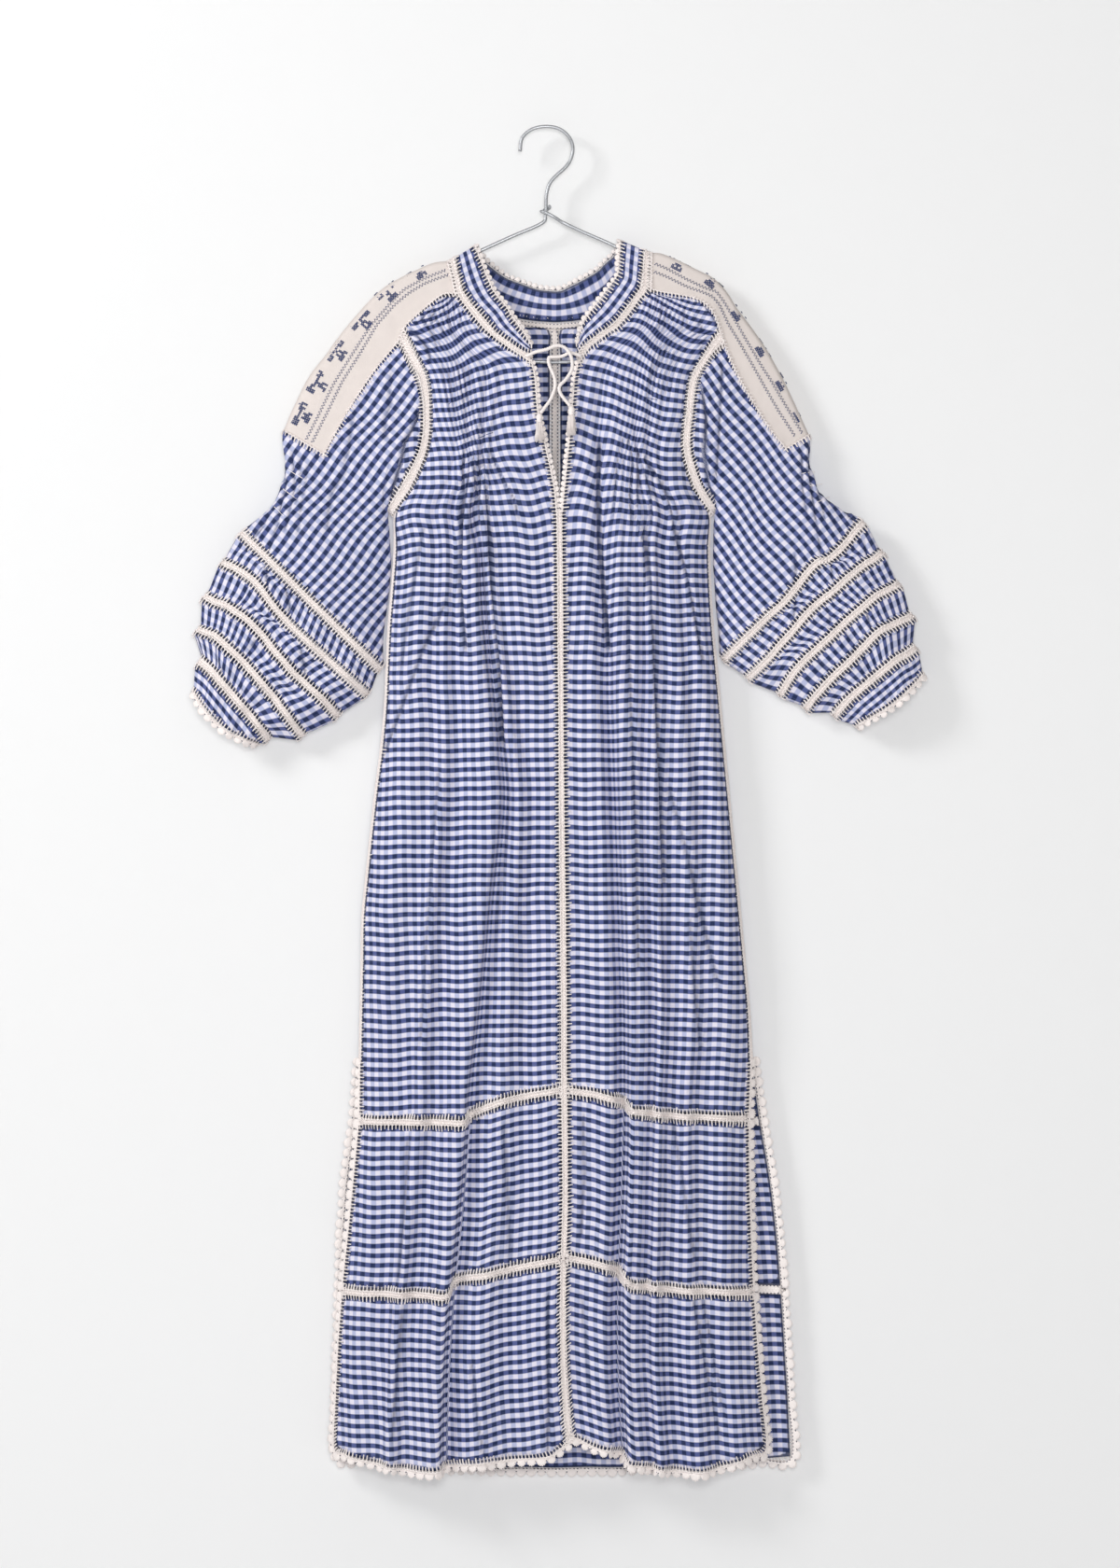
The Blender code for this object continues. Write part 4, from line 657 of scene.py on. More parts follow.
def smooth_path(points, count):
    """Evenly spaced points of a smooth curve through the given ones."""
    points = np.asarray(points, float)
    padded = np.concatenate([2 * points[:1] - points[1:2], points, 2 * points[-1:] - points[-2:-1]])
    dense = []
    for number in range(1, len(padded) - 2):
        before, start, end, after = padded[number - 1:number + 3]
        for step in range(CURVE_STEPS):
            share = step / CURVE_STEPS
            dense.append(0.5 * (
                2 * start + (end - before) * share + (2 * before - 5 * start + 4 * end - after) * share ** 2
                + (3 * start - before - 3 * end + after) * share ** 3
            ))
    dense.append(points[-1])
    dense = np.array(dense)
    travelled = np.concatenate([[0.0], np.cumsum(np.linalg.norm(np.diff(dense, axis=0), axis=1))])
    wanted = np.linspace(0.0, travelled[-1], count)
    return np.stack([np.interp(wanted, travelled, dense[:, axis]) for axis in range(3)], axis=1)


# Finish: sizes in millimetres of what the solids leave out
CLOTH_THICKNESS = 0.8
ROW_STEP, COLUMN_STEP = 7.0, 4.0
CHECK_PITCH = 10.9
STITCH_SPACING = 4.1
# Width of the painted shade along the turned edge that the crochet stitches go through, for the shadow in the gaps
# between the stitches
SEWN_EDGE_SHADE = 2.8

# How far the check rows rise from the side to the centre of each front half, by height
ROW_LIFT = {
    "left": ((-190, 24), (-250, 26), (-290, 26), (-340, 20), (-400, 10), (-480, 0), (-800, 0), (-1098, 10)),
    "right": ((-190, 34), (-250, 40), (-290, 39), (-340, 31), (-400, 17), (-480, 0), (-800, 0), (-1098, 12)),
}
# Cloth hidden in the pintucks and gathers of each front half: middle across, half width, amount by height
TUCKS = {
    "left": ((-195, -108, 26, 34), (-300, -100, 20, 30), (-374, -85, 16, 26), (-440, -80, 22, 12), (-620, -80, 40, 0)),
    "right": ((-195, 128, 26, 34), (-300, 112, 20, 30), (-374, 92, 16, 26), (-440, 92, 22, 12), (-620, 96, 40, 0)),
}
# The fold of each front half where the check jumps
JUMP_FOLD = {"left": 6, "right": 8}
JUMP = {"left": 7.0, "right": -6.0}

# Lines on the front are given in pixels of the photo, from its top left corner: the size of a pixel at the dress in
# millimetres, and the pixel where the origin lies
PIXEL_SIZE = 1.05
ORIGIN_PIXEL = (586.0, 134.0)


def drawn(*pairs):
    """Pixels of the photo as (X, Z) in millimetres."""
    return [((x - ORIGIN_PIXEL[0]) * PIXEL_SIZE, (ORIGIN_PIXEL[1] - z) * PIXEL_SIZE) for x, z in pairs]


def creases(**sides):
    """Lines of creases by side, from rows of depth, half width and then the pixels of the line."""
    return {
        side: [(row[0], row[1], drawn(*zip(row[2::2], row[3::2]))) for row in rows] for side, rows in sides.items()
    }


FRONT_CREASES = creases(
    left=[
        (2.4, 1.7, 457, 326, 466, 340, 474, 352, 480, 366), (2.8, 1.9, 433, 350, 448, 360, 459, 373, 462, 392),
        (2.4, 1.6, 443, 332, 455, 345, 464, 358, 470, 378), (1.8, 1.4, 450, 329, 461, 345, 468, 360, 476, 380),
        (1.8, 1.5, 428, 362, 440, 372, 452, 386), (1.8, 1.4, 470, 322, 478, 336, 484, 352),
        (1.4, 1.4, 481, 433, 496, 426, 511, 419), (1.4, 1.4, 495, 477, 512, 471, 528, 464),
        (2.4, 1.6, 498, 480, 496, 515, 493, 570), (2.4, 1.5, 506, 478, 511, 530, 514, 566),
        (2.2, 1.5, 517, 486, 521, 525, 527, 609), (2.6, 1.6, 524, 482, 535, 507, 551, 536, 557, 560),
        (2.0, 1.4, 512, 482, 515, 518, 513, 548), (2.2, 1.5, 502, 479, 503, 500, 501, 530),
        (3.2, 2.6, 500, 510, 494, 570, 492, 622, 499, 700), (2.8, 2.5, 524, 560, 528, 640, 534, 720, 538, 800),
        (2.0, 3.0, 480, 640, 452, 700, 425, 770, 405, 820), (1.6, 3.0, 455, 560, 440, 640, 428, 720),
        (1.5, 2.6, 470, 820, 462, 930, 455, 1040, 450, 1120),
    ] + [(1.2, 1.1, 473 + 5.5 * n, 384, 480 + 5.5 * n, 430, 494 + 5.5 * n, 474) for n in range(6)],
    right=[
        (2.0, 1.4, 742, 335, 752, 350, 758, 366), (2.0, 1.4, 752, 322, 764, 338, 771, 352),
        (1.8, 1.4, 733, 342, 746, 360, 755, 380), (1.4, 1.3, 692, 372, 706, 373, 718, 378, 731, 387),
        (1.4, 1.3, 690, 425, 704, 429), (2.4, 1.5, 672, 464, 678, 491, 675, 530, 678, 567),
        (2.4, 1.5, 681, 478, 684, 518, 681, 557, 692, 588), (2.4, 1.6, 679, 474, 697, 525, 697, 572),
        (3.0, 2.0, 684, 484, 713, 525, 728, 588, 741, 640, 754, 710), (2.2, 1.6, 668, 466, 661, 500, 656, 560),
        (2.0, 1.4, 675, 466, 668, 486, 666, 512), (3.4, 2.6, 642, 470, 641, 518, 642, 575, 647, 640, 652, 700),
        (2.4, 2.6, 690, 560, 700, 680, 706, 800, 712, 950), (2.0, 3.0, 715, 840, 740, 930, 770, 1060),
        (1.8, 2.6, 672, 620, 676, 760, 682, 900, 684, 1040), (1.5, 2.6, 738, 980, 746, 1070, 752, 1130),
    ] + [(1.1, 1.1, 710 + 5 * n, 325, 703 + 5 * n, 372, 692 + 5 * n, 428) for n in range(6)],
)
SKIRT_CREASES = creases(
    left=[
        (3.0, 2.4, 587, 1380, 588, 1450, 587, 1555), (1.8, 3.0, 437, 1215, 432, 1300, 426, 1375),
        (1.6, 3.0, 540, 1200, 545, 1290, 548, 1350), (1.8, 3.0, 432, 1400, 426, 1480, 420, 1550),
        (2.0, 2.4, 505, 1450, 512, 1520, 520, 1560),
    ],
    right=[
        (2.2, 2.2, 625, 1190, 626, 1260, 622, 1330), (1.8, 2.6, 720, 1200, 735, 1290, 745, 1350),
        (1.8, 2.0, 742, 1385, 758, 1470, 772, 1545), (1.8, 2.0, 752, 1385, 764, 1450, 776, 1520),
        (1.6, 2.2, 622, 1380, 628, 1440, 632, 1500),
    ],
)
SLEEVE_CREASES = creases(
    left=[
        (1.8, 2.4, 379, 439, 376, 459, 373, 482, 366, 505),
        (1.8, 2.4, 420, 395, 417, 413, 418, 433, 412, 450, 414, 474),
        (1.8, 2.6, 374, 499, 356, 525, 352, 547, 350, 573),
        (4.0, 2.2, 453, 417, 451, 436, 442, 459, 433, 474, 431, 490, 424, 512, 417, 545),
        (2.4, 1.5, 300, 478, 305, 520, 296, 560), (2.4, 1.5, 311, 480, 316, 520, 304, 575),
        (2.2, 1.5, 290, 545, 280, 565, 270, 580), (2.2, 1.5, 300, 553, 291, 580, 285, 598),
        (2.0, 1.5, 320, 484, 322, 515, 314, 550), (1.8, 1.6, 330, 492, 326, 520, 318, 575),
        (3.0, 1.7, 284, 596, 286, 616, 287, 646), (2.4, 1.7, 306, 627, 311, 651, 307, 664),
        (2.4, 1.6, 321, 688, 325, 708, 328, 729), (2.6, 1.6, 280, 668, 278, 683, 267, 696),
        (2.0, 1.5, 258, 729, 260, 746), (2.0, 1.6, 245, 640, 250, 655, 254, 672),
        (2.0, 1.6, 232, 705, 238, 722, 240, 735),
    ],
    right=[
        (2.2, 1.9, 774, 385, 774, 403, 771, 449, 770, 480, 768, 503, 764, 531),
        (3.6, 2.2, 753, 418, 757, 449, 755, 490, 760, 520, 768, 545),
        (2.4, 1.5, 868, 470, 868, 505, 872, 540, 880, 598), (2.4, 1.5, 880, 472, 874, 505, 885, 560),
        (2.2, 1.5, 878, 535, 895, 560, 905, 576), (2.2, 1.5, 885, 530, 905, 545, 918, 562),
        (2.0, 1.5, 860, 480, 860, 520, 866, 560), (2.6, 1.8, 851, 590, 853, 616, 842, 646),
        (2.2, 1.6, 890, 601, 892, 625), (2.4, 1.6, 853, 640, 849, 668), (2.2, 1.6, 890, 655, 888, 674),
        (2.4, 1.6, 926, 646, 931, 668, 938, 682), (2.2, 1.6, 903, 675, 916, 690), (2.0, 1.6, 925, 575, 931, 600),
        (2.0, 1.6, 870, 700, 880, 712, 893, 720),
    ],
)
# Where the sleeve turns under at the armhole and the rows of the check lie level again
UNDERARM_FOLD = {
    "left": drawn((453, 415), (451, 436), (442, 459), (433, 474), (431, 490), (424, 512), (417, 548)),
    "right": drawn((752, 415), (757, 449), (755, 490), (760, 520), (768, 548)),
}
# How far the front of the lower sleeve is drawn up: pixel and rise
SLEEVE_DRIFT = {
    side: [(place, row[2]) for place, row in zip(drawn(*(row[:2] for row in rows)), rows)] for side, rows in (
        ("left", (
            (267, 632, 14.8), (254, 621, 12.5), (282, 644, 16), (291, 652, 2), (246, 666, 16), (263, 681, 20),
            (276, 692, 22), (281, 696, 13.7), (298, 710, 10), (319, 730, 5), (341, 750, 5), (233, 700, 21),
            (239, 705, 16), (250, 716, 20), (261, 727, 20), (274, 740, 18), (291, 756, 15), (308, 772, 9),
            (222, 727, 11), (230, 735, 7), (243, 748, 7), (256, 763, 6), (269, 776, 6), (282, 789, 6), (247, 613, 8),
            (226, 651, 9), (218, 687, 8), (225, 693, 15), (257, 570, 0), (308, 617, 0), (352, 660, 0), (406, 715, 0),
            (238, 605, 0), (218, 643, 0), (210, 679, 0), (210, 716, 0), (391, 744, 0), (360, 770, 0), (321, 785, 0),
            (287, 792, 0), (209, 740, 0), (280, 796, 0),
        )),
        ("right", (
            (899, 582, -5), (862, 619, 8), (855, 626, 3), (847, 635, -3), (920, 615, 6), (907, 627, 9), (894, 639, 8),
            (877, 656, 12), (862, 671, 12), (849, 683, 5), (949, 640, 8), (933, 653, 14), (927, 659, 11),
            (916, 669, 15), (899, 687, 15), (881, 703, 14), (868, 715, 15), (853, 729, 14), (959, 677, 9),
            (942, 692, 17), (925, 708, 15), (916, 716, 11), (899, 731, 11), (888, 741, 10), (877, 749, 6),
            (955, 718, 5), (942, 729, 5), (929, 741, 6), (916, 752, 6), (923, 559, 0), (776, 705, 0), (945, 594, 0),
            (802, 726, 0), (962, 628, 0), (837, 744, 0), (977, 662, 0), (865, 760, 0), (979, 695, 0), (896, 770, 0),
        )),
    )
}
DRIFT_REACH = 11.0
CUFF_SAG = {"left": 15.0, "right": 8.0}
THREADS = {
    "left": [drawn((305, 501), (324, 512)), drawn((301, 522), (317, 534)), drawn((291, 540), (304, 553))],
    "right": [drawn((859, 507), (874, 504)), drawn((868, 520), (882, 517)), drawn((875, 538), (890, 531))],
}
TUCK_THREADS = {
    "left": [drawn((481, 433), (511, 419)), drawn((495, 477), (528, 464))],
    "right": [drawn((692, 372), (706, 373), (718, 378), (731, 387)), drawn((690, 426), (704, 429))],
}

panels, strips, borders, kept = {}, {}, {}, {}


# Smooth cloth from the shared grids
def spline_weights(count, places, closed=False):
    """Weights of a smooth curve through evenly numbered points, one row for each wanted place."""
    weights = np.zeros((len(places), count))
    for row, place in enumerate(places):
        start = int(math.floor(place)) if closed else int(min(math.floor(place), count - 2))
        share = place - start
        basis = 0.5 * np.array((
            -share + 2 * share ** 2 - share ** 3, 2 - 5 * share ** 2 + 3 * share ** 3,
            share + 4 * share ** 2 - 3 * share ** 3, -share ** 2 + share ** 3,
        ))
        for offset, value in zip((-1, 0, 1, 2), basis):
            index = start + offset
            if closed:
                weights[row, index % count] += value
            elif index < 0:
                weights[row, 0] += 2 * value
                weights[row, 1] -= value
            elif index >= count:
                weights[row, -1] += 2 * value
                weights[row, -2] -= value
            else:
                weights[row, index] += value
    return weights


def places_along(lengths, step, least=1):
    """Places between numbered points, so many to each space that none is longer than the step."""
    places = []
    for number, length in enumerate(lengths):
        count = max(least, int(math.ceil(length / step)))
        places.extend(number + np.arange(count) / count)
    places.append(float(len(lengths)))
    return np.array(places)


def running(steps, axis=-1):
    """Distance from the start, from the lengths of the steps along an axis."""
    return np.concatenate([np.zeros_like(steps.take([0], axis=axis)), np.cumsum(steps, axis=axis)], axis=axis)


def smooth_step(value):
    """0 to 1 with level ends."""
    value = np.clip(value, 0, 1)
    return value * value * (3 - 2 * value)


class Drape:
    """A smooth fine grid through a coarse one, with its normals, places and distances."""

    def __init__(self, points, normals, row_step=ROW_STEP, column_step=COLUMN_STEP, closed=False, row_places=None):
        points, normals = np.asarray(points, float), np.asarray(normals, float)
        self.closed = closed
        self.coarse = points
        down = np.linalg.norm(np.diff(points, axis=0), axis=2).max(axis=1)
        wrapped = np.concatenate([points, points[:, :1]], axis=1) if closed else points
        across = np.linalg.norm(np.diff(wrapped, axis=1), axis=2).max(axis=0)
        self.rows = places_along(down, row_step) if row_places is None else np.asarray(row_places, float)
        self.columns = places_along(across, column_step)
        down_weights = spline_weights(points.shape[0], self.rows)
        if closed:
            self.columns = self.columns[:-1]
        across_weights = spline_weights(points.shape[1], self.columns, closed)
        self.down_weights, self.across_weights = down_weights, across_weights
        self.points = np.einsum("ri,ijk,cj->rck", down_weights, points, across_weights)
        self.toward = np.einsum("ri,ijk,cj->rck", down_weights, normals, across_weights)
        self.refresh()

    def refresh(self):
        made = grid_normals(self.points, self.closed)
        flip = np.sum(made * self.toward, axis=2, keepdims=True)
        self.normals = made * np.where(flip < 0, -1.0, 1.0)

    def copy(self):
        other = Drape.__new__(Drape)
        other.__dict__.update(self.__dict__, points=self.points.copy(), normals=self.normals.copy())
        return other

    def raise_by(self, amount):
        self.points = self.points + self.normals * amount[..., None]
        self.refresh()

    def crease(self, lines):
        """Presses soft troughs with raised sides into the cloth, and returns how far each point moved."""
        x, z = self.points[..., 0], self.points[..., 2]
        front = np.clip(-self.normals[..., 1] * 4.0, 0, 1) if self.closed else np.ones_like(x)
        total = np.zeros_like(x)
        for depth, width, line in lines:
            gap = np.full(x.shape, 1e9)
            for (x0, z0), (x1, z1) in zip(line, line[1:]):
                way_x, way_z = x1 - x0, z1 - z0
                share = np.clip(((x - x0) * way_x + (z - z0) * way_z) / (way_x ** 2 + way_z ** 2), 0, 1)
                gap = np.minimum(gap, np.hypot(x - x0 - share * way_x, z - z0 - share * way_z))
            ends = np.minimum(
                np.hypot(x - line[0][0], z - line[0][1]), np.hypot(x - line[-1][0], z - line[-1][1]),
            )
            fade = np.clip(ends / 9.0, 0.15, 1)
            raised = 0.45 * np.exp(-((gap - 2.2 * width) / (1.1 * width)) ** 2)
            total += fade * depth * (raised - np.exp(-(gap / width) ** 2))
        total *= front
        self.raise_by(total * self.border_mask(4.0))
        return total

    def drift(self, side):
        """Draws the front of the lower sleeve up, as the gathers have it."""
        x, z = self.points[..., 0], self.points[..., 2]
        weight, rise = np.full(x.shape, 0.08), np.zeros_like(x)
        for (spot_x, spot_z), amount in SLEEVE_DRIFT[side]:
            near = np.exp(-((x - spot_x) ** 2 + (z - spot_z) ** 2) / (2 * DRIFT_REACH ** 2))
            weight += near
            rise += near * amount
        self.points[..., 2] += rise / weight * smooth_step(-self.points[..., 1] / 7.0)
        self.refresh()

    def bulge(self, side, shares):
        """Lets the front of the cuff sag toward its edge."""
        x = self.points[..., 0]
        low, high = x.min(axis=1, keepdims=True), x.max(axis=1, keepdims=True)
        front = np.clip(-self.points[..., 1] / 5.0, 0, 1)
        sag = np.sin(np.pi * np.clip((x - low) / (high - low), 0, 1)) ** 0.8
        sag = CUFF_SAG[side] * sag * front * np.asarray(shares)[:, None]
        self.points[..., 2] -= sag
        self.points[..., 0] -= 0.35 * sag * (1 if side == "left" else -1)
        self.refresh()

    def from_edge(self):
        """How far each point is from the nearest sewn edge, in millimetres."""
        near = np.full(self.points.shape[:2], np.inf)
        for axis in (0,) if self.closed else (0, 1):
            far = running(np.linalg.norm(np.diff(self.points, axis=axis), axis=2), axis)
            near = np.minimum(near, np.minimum(far, far.take([-1], axis=axis) - far))
        return near

    def border_mask(self, reach):
        """0 at the open edges, rising to 1 at the given distance in."""
        return smooth_step(self.from_edge() / reach)

    def around(self):
        """Distance along the rows, averaged over them, with one more column when closed."""
        points = np.concatenate([self.points, self.points[:, :1]], axis=1) if self.closed else self.points
        return running(np.linalg.norm(np.diff(points, axis=1), axis=2).mean(axis=0))

    def along(self):
        """Distance down the columns, averaged over them."""
        return running(np.linalg.norm(np.diff(self.points, axis=0), axis=2).mean(axis=1))

    def looped(self, *fields):
        """Fields of one row, with the first value once more at the end when closed."""
        return tuple(np.concatenate([field, field[:1]]) if self.closed else field for field in fields)


def paint(name):
    """A material by name."""
    return bpy.data.materials[name]


def add_body(name, points, faces, material, uv=None, flat_from=None):
    """One object at the origin from points in millimetres, with one UV pair for each face corner."""
    mesh = bpy.data.meshes.new(name)
    mesh.from_pydata((np.asarray(points, float) * MM).tolist(), [], faces)
    smooth = np.ones(len(mesh.polygons), bool)
    if flat_from is not None:
        smooth[flat_from:] = False
    mesh.polygons.foreach_set("use_smooth", smooth)
    if uv is not None:
        layer = mesh.uv_layers.new(name="UVMap")
        layer.data.foreach_set("uv", (np.asarray(uv, float) * MM).astype(np.float32).ravel())
    mesh.materials.append(paint(material))
    body = bpy.data.objects.new(name, mesh)
    bpy.context.scene.collection.objects.link(body)
    return body


def add_cloth(name, drape, uv, material, thickness=CLOTH_THICKNESS, skip=None, creased=None):
    """A closed thin wall on a drape; uv has one pair a grid point, with one more column on a closed drape."""
    rows, columns = drape.points.shape[:2]
    points, normals = drape.points.reshape(-1, 3), drape.normals.reshape(-1, 3)
    count = len(points)
    solid = np.concatenate([points + normals * thickness / 2, points - normals * thickness / 2])
    uv_columns = columns + 1 if drape.closed else columns
    uv = np.asarray(uv, float).reshape(rows * uv_columns, 2)
    faces, corners = [], []
    last = columns if drape.closed else columns - 1
    for row in range(rows - 1):
        for column in range(last):
            if skip is not None and skip(row, column):
                continue
            following = (column + 1) % columns
            faces.append((
                row * columns + column, row * columns + following,
                (row + 1) * columns + following, (row + 1) * columns + column,
            ))
            corners.append((
                row * uv_columns + column, row * uv_columns + column + 1,
                (row + 1) * uv_columns + column + 1, (row + 1) * uv_columns + column,
            ))
    first = np.array(faces[len(faces) // 2])
    corner = points[first]
    if np.dot(np.cross(corner[1] - corner[0], corner[2] - corner[1]), normals[first[0]]) < 0:
        faces = [face[::-1] for face in faces]
        corners = [corner[::-1] for corner in corners]
    edges = {}
    for face, corner in zip(faces, corners):
        for number in range(4):
            edges[(face[number], face[(number + 1) % 4])] = (corner[number], corner[(number + 1) % 4])
    rim = [(edge, at) for edge, at in edges.items() if (edge[1], edge[0]) not in edges]
    all_faces = faces + [tuple(index + count for index in face[::-1]) for face in faces]
    all_corners = corners + [corner[::-1] for corner in corners]
    flat_from = len(all_faces)
    for (start, end), (start_uv, end_uv) in rim:
        all_faces.append((end, start, start + count, end + count))
        all_corners.append((end_uv, start_uv, start_uv, end_uv))
    corner_uv = uv[np.array(all_corners).ravel()]
    used = np.unique(np.array(all_faces).ravel())
    number = np.zeros(len(solid), int)
    number[used] = np.arange(len(used))
    all_faces = number[np.array(all_faces)].tolist()
    body = add_body(name, solid[used], all_faces, material, corner_uv, flat_from)
    # Painted shade: how deep each point lies in a crease, and how far it is from the edge, for the darkening of the
    # cloth
    shade = np.zeros(count) if creased is None else np.clip(-creased / 2.2, 0, 1).ravel()
    for label, values in (("crease", shade), ("edge", drape.from_edge().ravel())):
        attribute = body.data.attributes.new(label, "FLOAT", "POINT")
        attribute.data.foreach_set("value", np.concatenate([values, values])[used].astype(np.float32))
    return body


def finished(body, nodes):
    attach(body, "root")
    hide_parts(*nodes)
    return body


def wave(values, seed):
    """Uneven ripple between -1 and 1 from three sines."""
    shift = np.random.default_rng(seed).uniform(0, 2 * math.pi, 3)
    parts = ((0.55, 1.0), (0.3, 1.63), (0.15, 2.71))
    return sum(share * np.sin(values * speed + start) for (share, speed), start in zip(parts, shift))


# The drape of the body, as the solids have it
def keep(name, points, toward):
    points = np.asarray(points, float)
    panels[name] = (points, outward(grid_normals(points), np.asarray(toward, float)))
    return panels[name]


def drape_body():
    for side in ("left", "right"):
        points, normals = keep("front_" + side, front_panel(side), (0, -1, 0))
        flatten_beside_band(points, normals, (0.0, -1.0, 0.0))
        for tier, (top, bottom, low) in {
            "upper": ("upper ", "lower ", HALF_INSERTION), "lower": ("lower ", "hem ", 0.0),
        }.items():
            rows = curved_rows(
                side, front_row, points.shape[1], SEAM_CURVES[top + side], SEAM_CURVES[bottom + side],
                TIER_ROWS, -HALF_INSERTION, low,
            )
            keep("front_tier_" + tier + "_" + side, rows, (0, -1, 0))
        back = [back_row(side, height) for height in BACK_TOP_ROWS[side] + LOWER_ROWS]
        tail = curved_rows(
            side, back_row, len(BACK_WAVES), None, SEAM_CURVES["back upper"], TAIL_ROWS, 0.0, HALF_INSERTION,
        )
        points, normals = keep("back_" + side, back + tail[1:], (0, 1, 0))
        flatten_beside_band(points, normals, (0.0, 1.0, 0.0))
    for tier, (top, bottom, low) in {
        "upper": ("back upper", "back lower", HALF_INSERTION), "lower": ("back lower", "back hem", 0.0),
    }.items():
        halves = []
        for side in ("left", "right"):
            rows = curved_rows(
                side, back_row, len(BACK_WAVES), SEAM_CURVES[top], SEAM_CURVES[bottom],
                TIER_ROWS, -HALF_INSERTION, low,
            )
            halves.append(np.array(rows))
        keep("back_tier_" + tier, np.concatenate([halves[0], halves[1][:, ::-1]], axis=1), (0, 1, 0))


def keep_strip(name, first, second, closed=False):
    """A crochet strip between two edges, each a pair of points and normals."""
    strips[name] = (np.stack([first[0], second[0]]), np.stack([first[1], second[1]]), closed)


def edge_of(name, rows, columns):
    """Points and normals of one edge of a panel."""
    points, normals = panels[name]
    return points[rows, columns], normals[rows, columns]


def joined(*edges):
    """Edges put end to end."""
    return np.concatenate([edge[0] for edge in edges]), np.concatenate([edge[1] for edge in edges])


def drape_strips():
    """Crochet strips between the edges of neighbouring panels."""
    for side in ("left", "right"):
        front, upper, lower = ("front_" + side, "front_tier_upper_" + side, "front_tier_lower_" + side)
        keep_strip("front_insertion_upper_" + side, edge_of(front, -1, slice(None)), edge_of(upper, 0, slice(None)))
        keep_strip("front_insertion_lower_" + side, edge_of(upper, -1, slice(None)), edge_of(lower, 0, slice(None)))
        count = len(LOWER_ROWS) + 1
        front_first, back_first = len(FRONT_TOP_ROWS[side]) - 1, len(BACK_TOP_ROWS[side]) - 1
        keep_strip(
            "side_insertion_" + side,
            edge_of(front, slice(front_first, front_first + count), 0),
            edge_of("back_" + side, slice(back_first, back_first + count), 0),
        )
    above = joined(edge_of("back_left", -1, slice(None)), edge_of("back_right", -1, slice(None, None, -1)))
    keep_strip("back_insertion_upper", above, edge_of("back_tier_upper", 0, slice(None)))
    keep_strip(
        "back_insertion_lower", edge_of("back_tier_upper", -1, slice(None)), edge_of("back_tier_lower", 0, slice(None)),
    )
    fronts, backs = [], []
    for side in ("left", "right"):
        start = FRONT_TOP_ROWS[side].index(UNDERARM_Z)
        fronts.append(joined(
            edge_of("front_" + side, slice(start, None), -1),
            edge_of("front_tier_upper_" + side, slice(None), -1),
            edge_of("front_tier_lower_" + side, slice(None), -1),
        ))
        backs.append(edge_of("back_" + side, slice(BACK_TOP_ROWS[side].index(ARMHOLE_ROWS[0]), None), -1))
    keep_strip("centre_front_insertion", *fronts)
    keep_strip("centre_back_insertion", *backs)


def drape_borders():
    """Edges that the hem edgings follow: down one slit, along the hem and up the other slit."""
    for half, hems in (("front", ("front_tier_lower_left", "front_tier_lower_right")), ("back", ("back_tier_lower",))):
        sides = {}
        for side in ("left", "right"):
            top_rows = FRONT_TOP_ROWS if half == "front" else BACK_TOP_ROWS
            start = len(top_rows[side]) + len(LOWER_ROWS) - 1
            if half == "front":
                names = ((half + "_" + side, 0), ("front_tier_upper_" + side, 0), ("front_tier_lower_" + side, 0))
            else:
                column = 0 if side == "left" else -1
                names = ((half + "_" + side, 0), ("back_tier_upper", column), ("back_tier_lower", column))
            sides[side] = joined(*(
                edge_of(name, slice(start if number == 0 else 0, None), column)
                for number, (name, column) in enumerate(names)
            ))
        bottom = []
        for name in hems:
            order = slice(None, None, -1) if name.endswith("right") else slice(None)
            bottom.append(edge_of(name, -1, order))
        bottom = joined(*bottom)
        right = (sides["right"][0][::-1], sides["right"][1][::-1])
        borders[half + "_hem_edging"] = joined(sides["left"], (bottom[0][1:-1], bottom[1][1:-1]), right)


def drape_neck():
    """Insertion, stand band and edging, station by station round the neck."""
    outer, seam, top, normals = [], [], [], []
    for number, (outer_z, outer_x, seam_z, seam_x, top_z, top_x, depth) in enumerate(NECK):
        name = None
        if number < LEFT_FRONT_STATIONS:
            name, row = "front_left", FRONT_TOP_ROWS["left"]
        elif number >= RIGHT_FRONT_FIRST:
            name, row = "front_right", FRONT_TOP_ROWS["right"]
        elif BACK_LEFT_FIRST <= number <= BACK_LEFT_LAST:
            name, row = "back_left", BACK_TOP_ROWS["left"]
        elif BACK_RIGHT_FIRST <= number <= BACK_RIGHT_LAST:
            name, row = "back_right", BACK_TOP_ROWS["right"]
        if name is not None:
            point, normal = edge_of(name, row.index(outer_z), -1)
        else:
            sign = -1.0 if number < BACK_LEFT_FIRST else 1.0
            out, along, up = SHOULDER_LEAN
            point = np.array((outer_x, float(depth), outer_z))
            normal = unit(np.array((sign * out, along * depth, up)))
        outer.append(point)
        seam.append((seam_x, point[1] * SEAM_DRIFT, seam_z))
        top.append((top_x, point[1] * TOP_DRIFT["front" if point[1] < 0 else "back"], top_z))
        normals.append(normal)
    outer, seam, top, normals = np.array(outer), np.array(seam), np.array(top), unit(np.array(normals))
    lower, upper = unit(seam - outer), unit(top - seam)
    around = unit(np.gradient(seam, axis=0))
    band_normals = unit(np.cross(around, upper))
    seam_normals = unit(np.cross(around, lower) + band_normals)
    for number in range(len(outer)):
        for field in (band_normals, seam_normals):
            if np.dot(field[number], normals[number]) < 0:
                field[number] *= -1
    strips["neck_insertion"] = (np.stack([outer, seam]), np.stack([normals, seam_normals]), False)
    middle = (seam + top) / 2
    panels["neck_band"] = (
        np.stack([seam + upper * SEAM_GAP, middle, top]), np.stack([seam_normals, band_normals, band_normals]),
    )
    edge = top + upper * EDGING_GAP
    panels["neck_edging"] = (np.stack([edge, edge + upper * NECK_EDGING_WIDTH]), np.stack([band_normals] * 2))


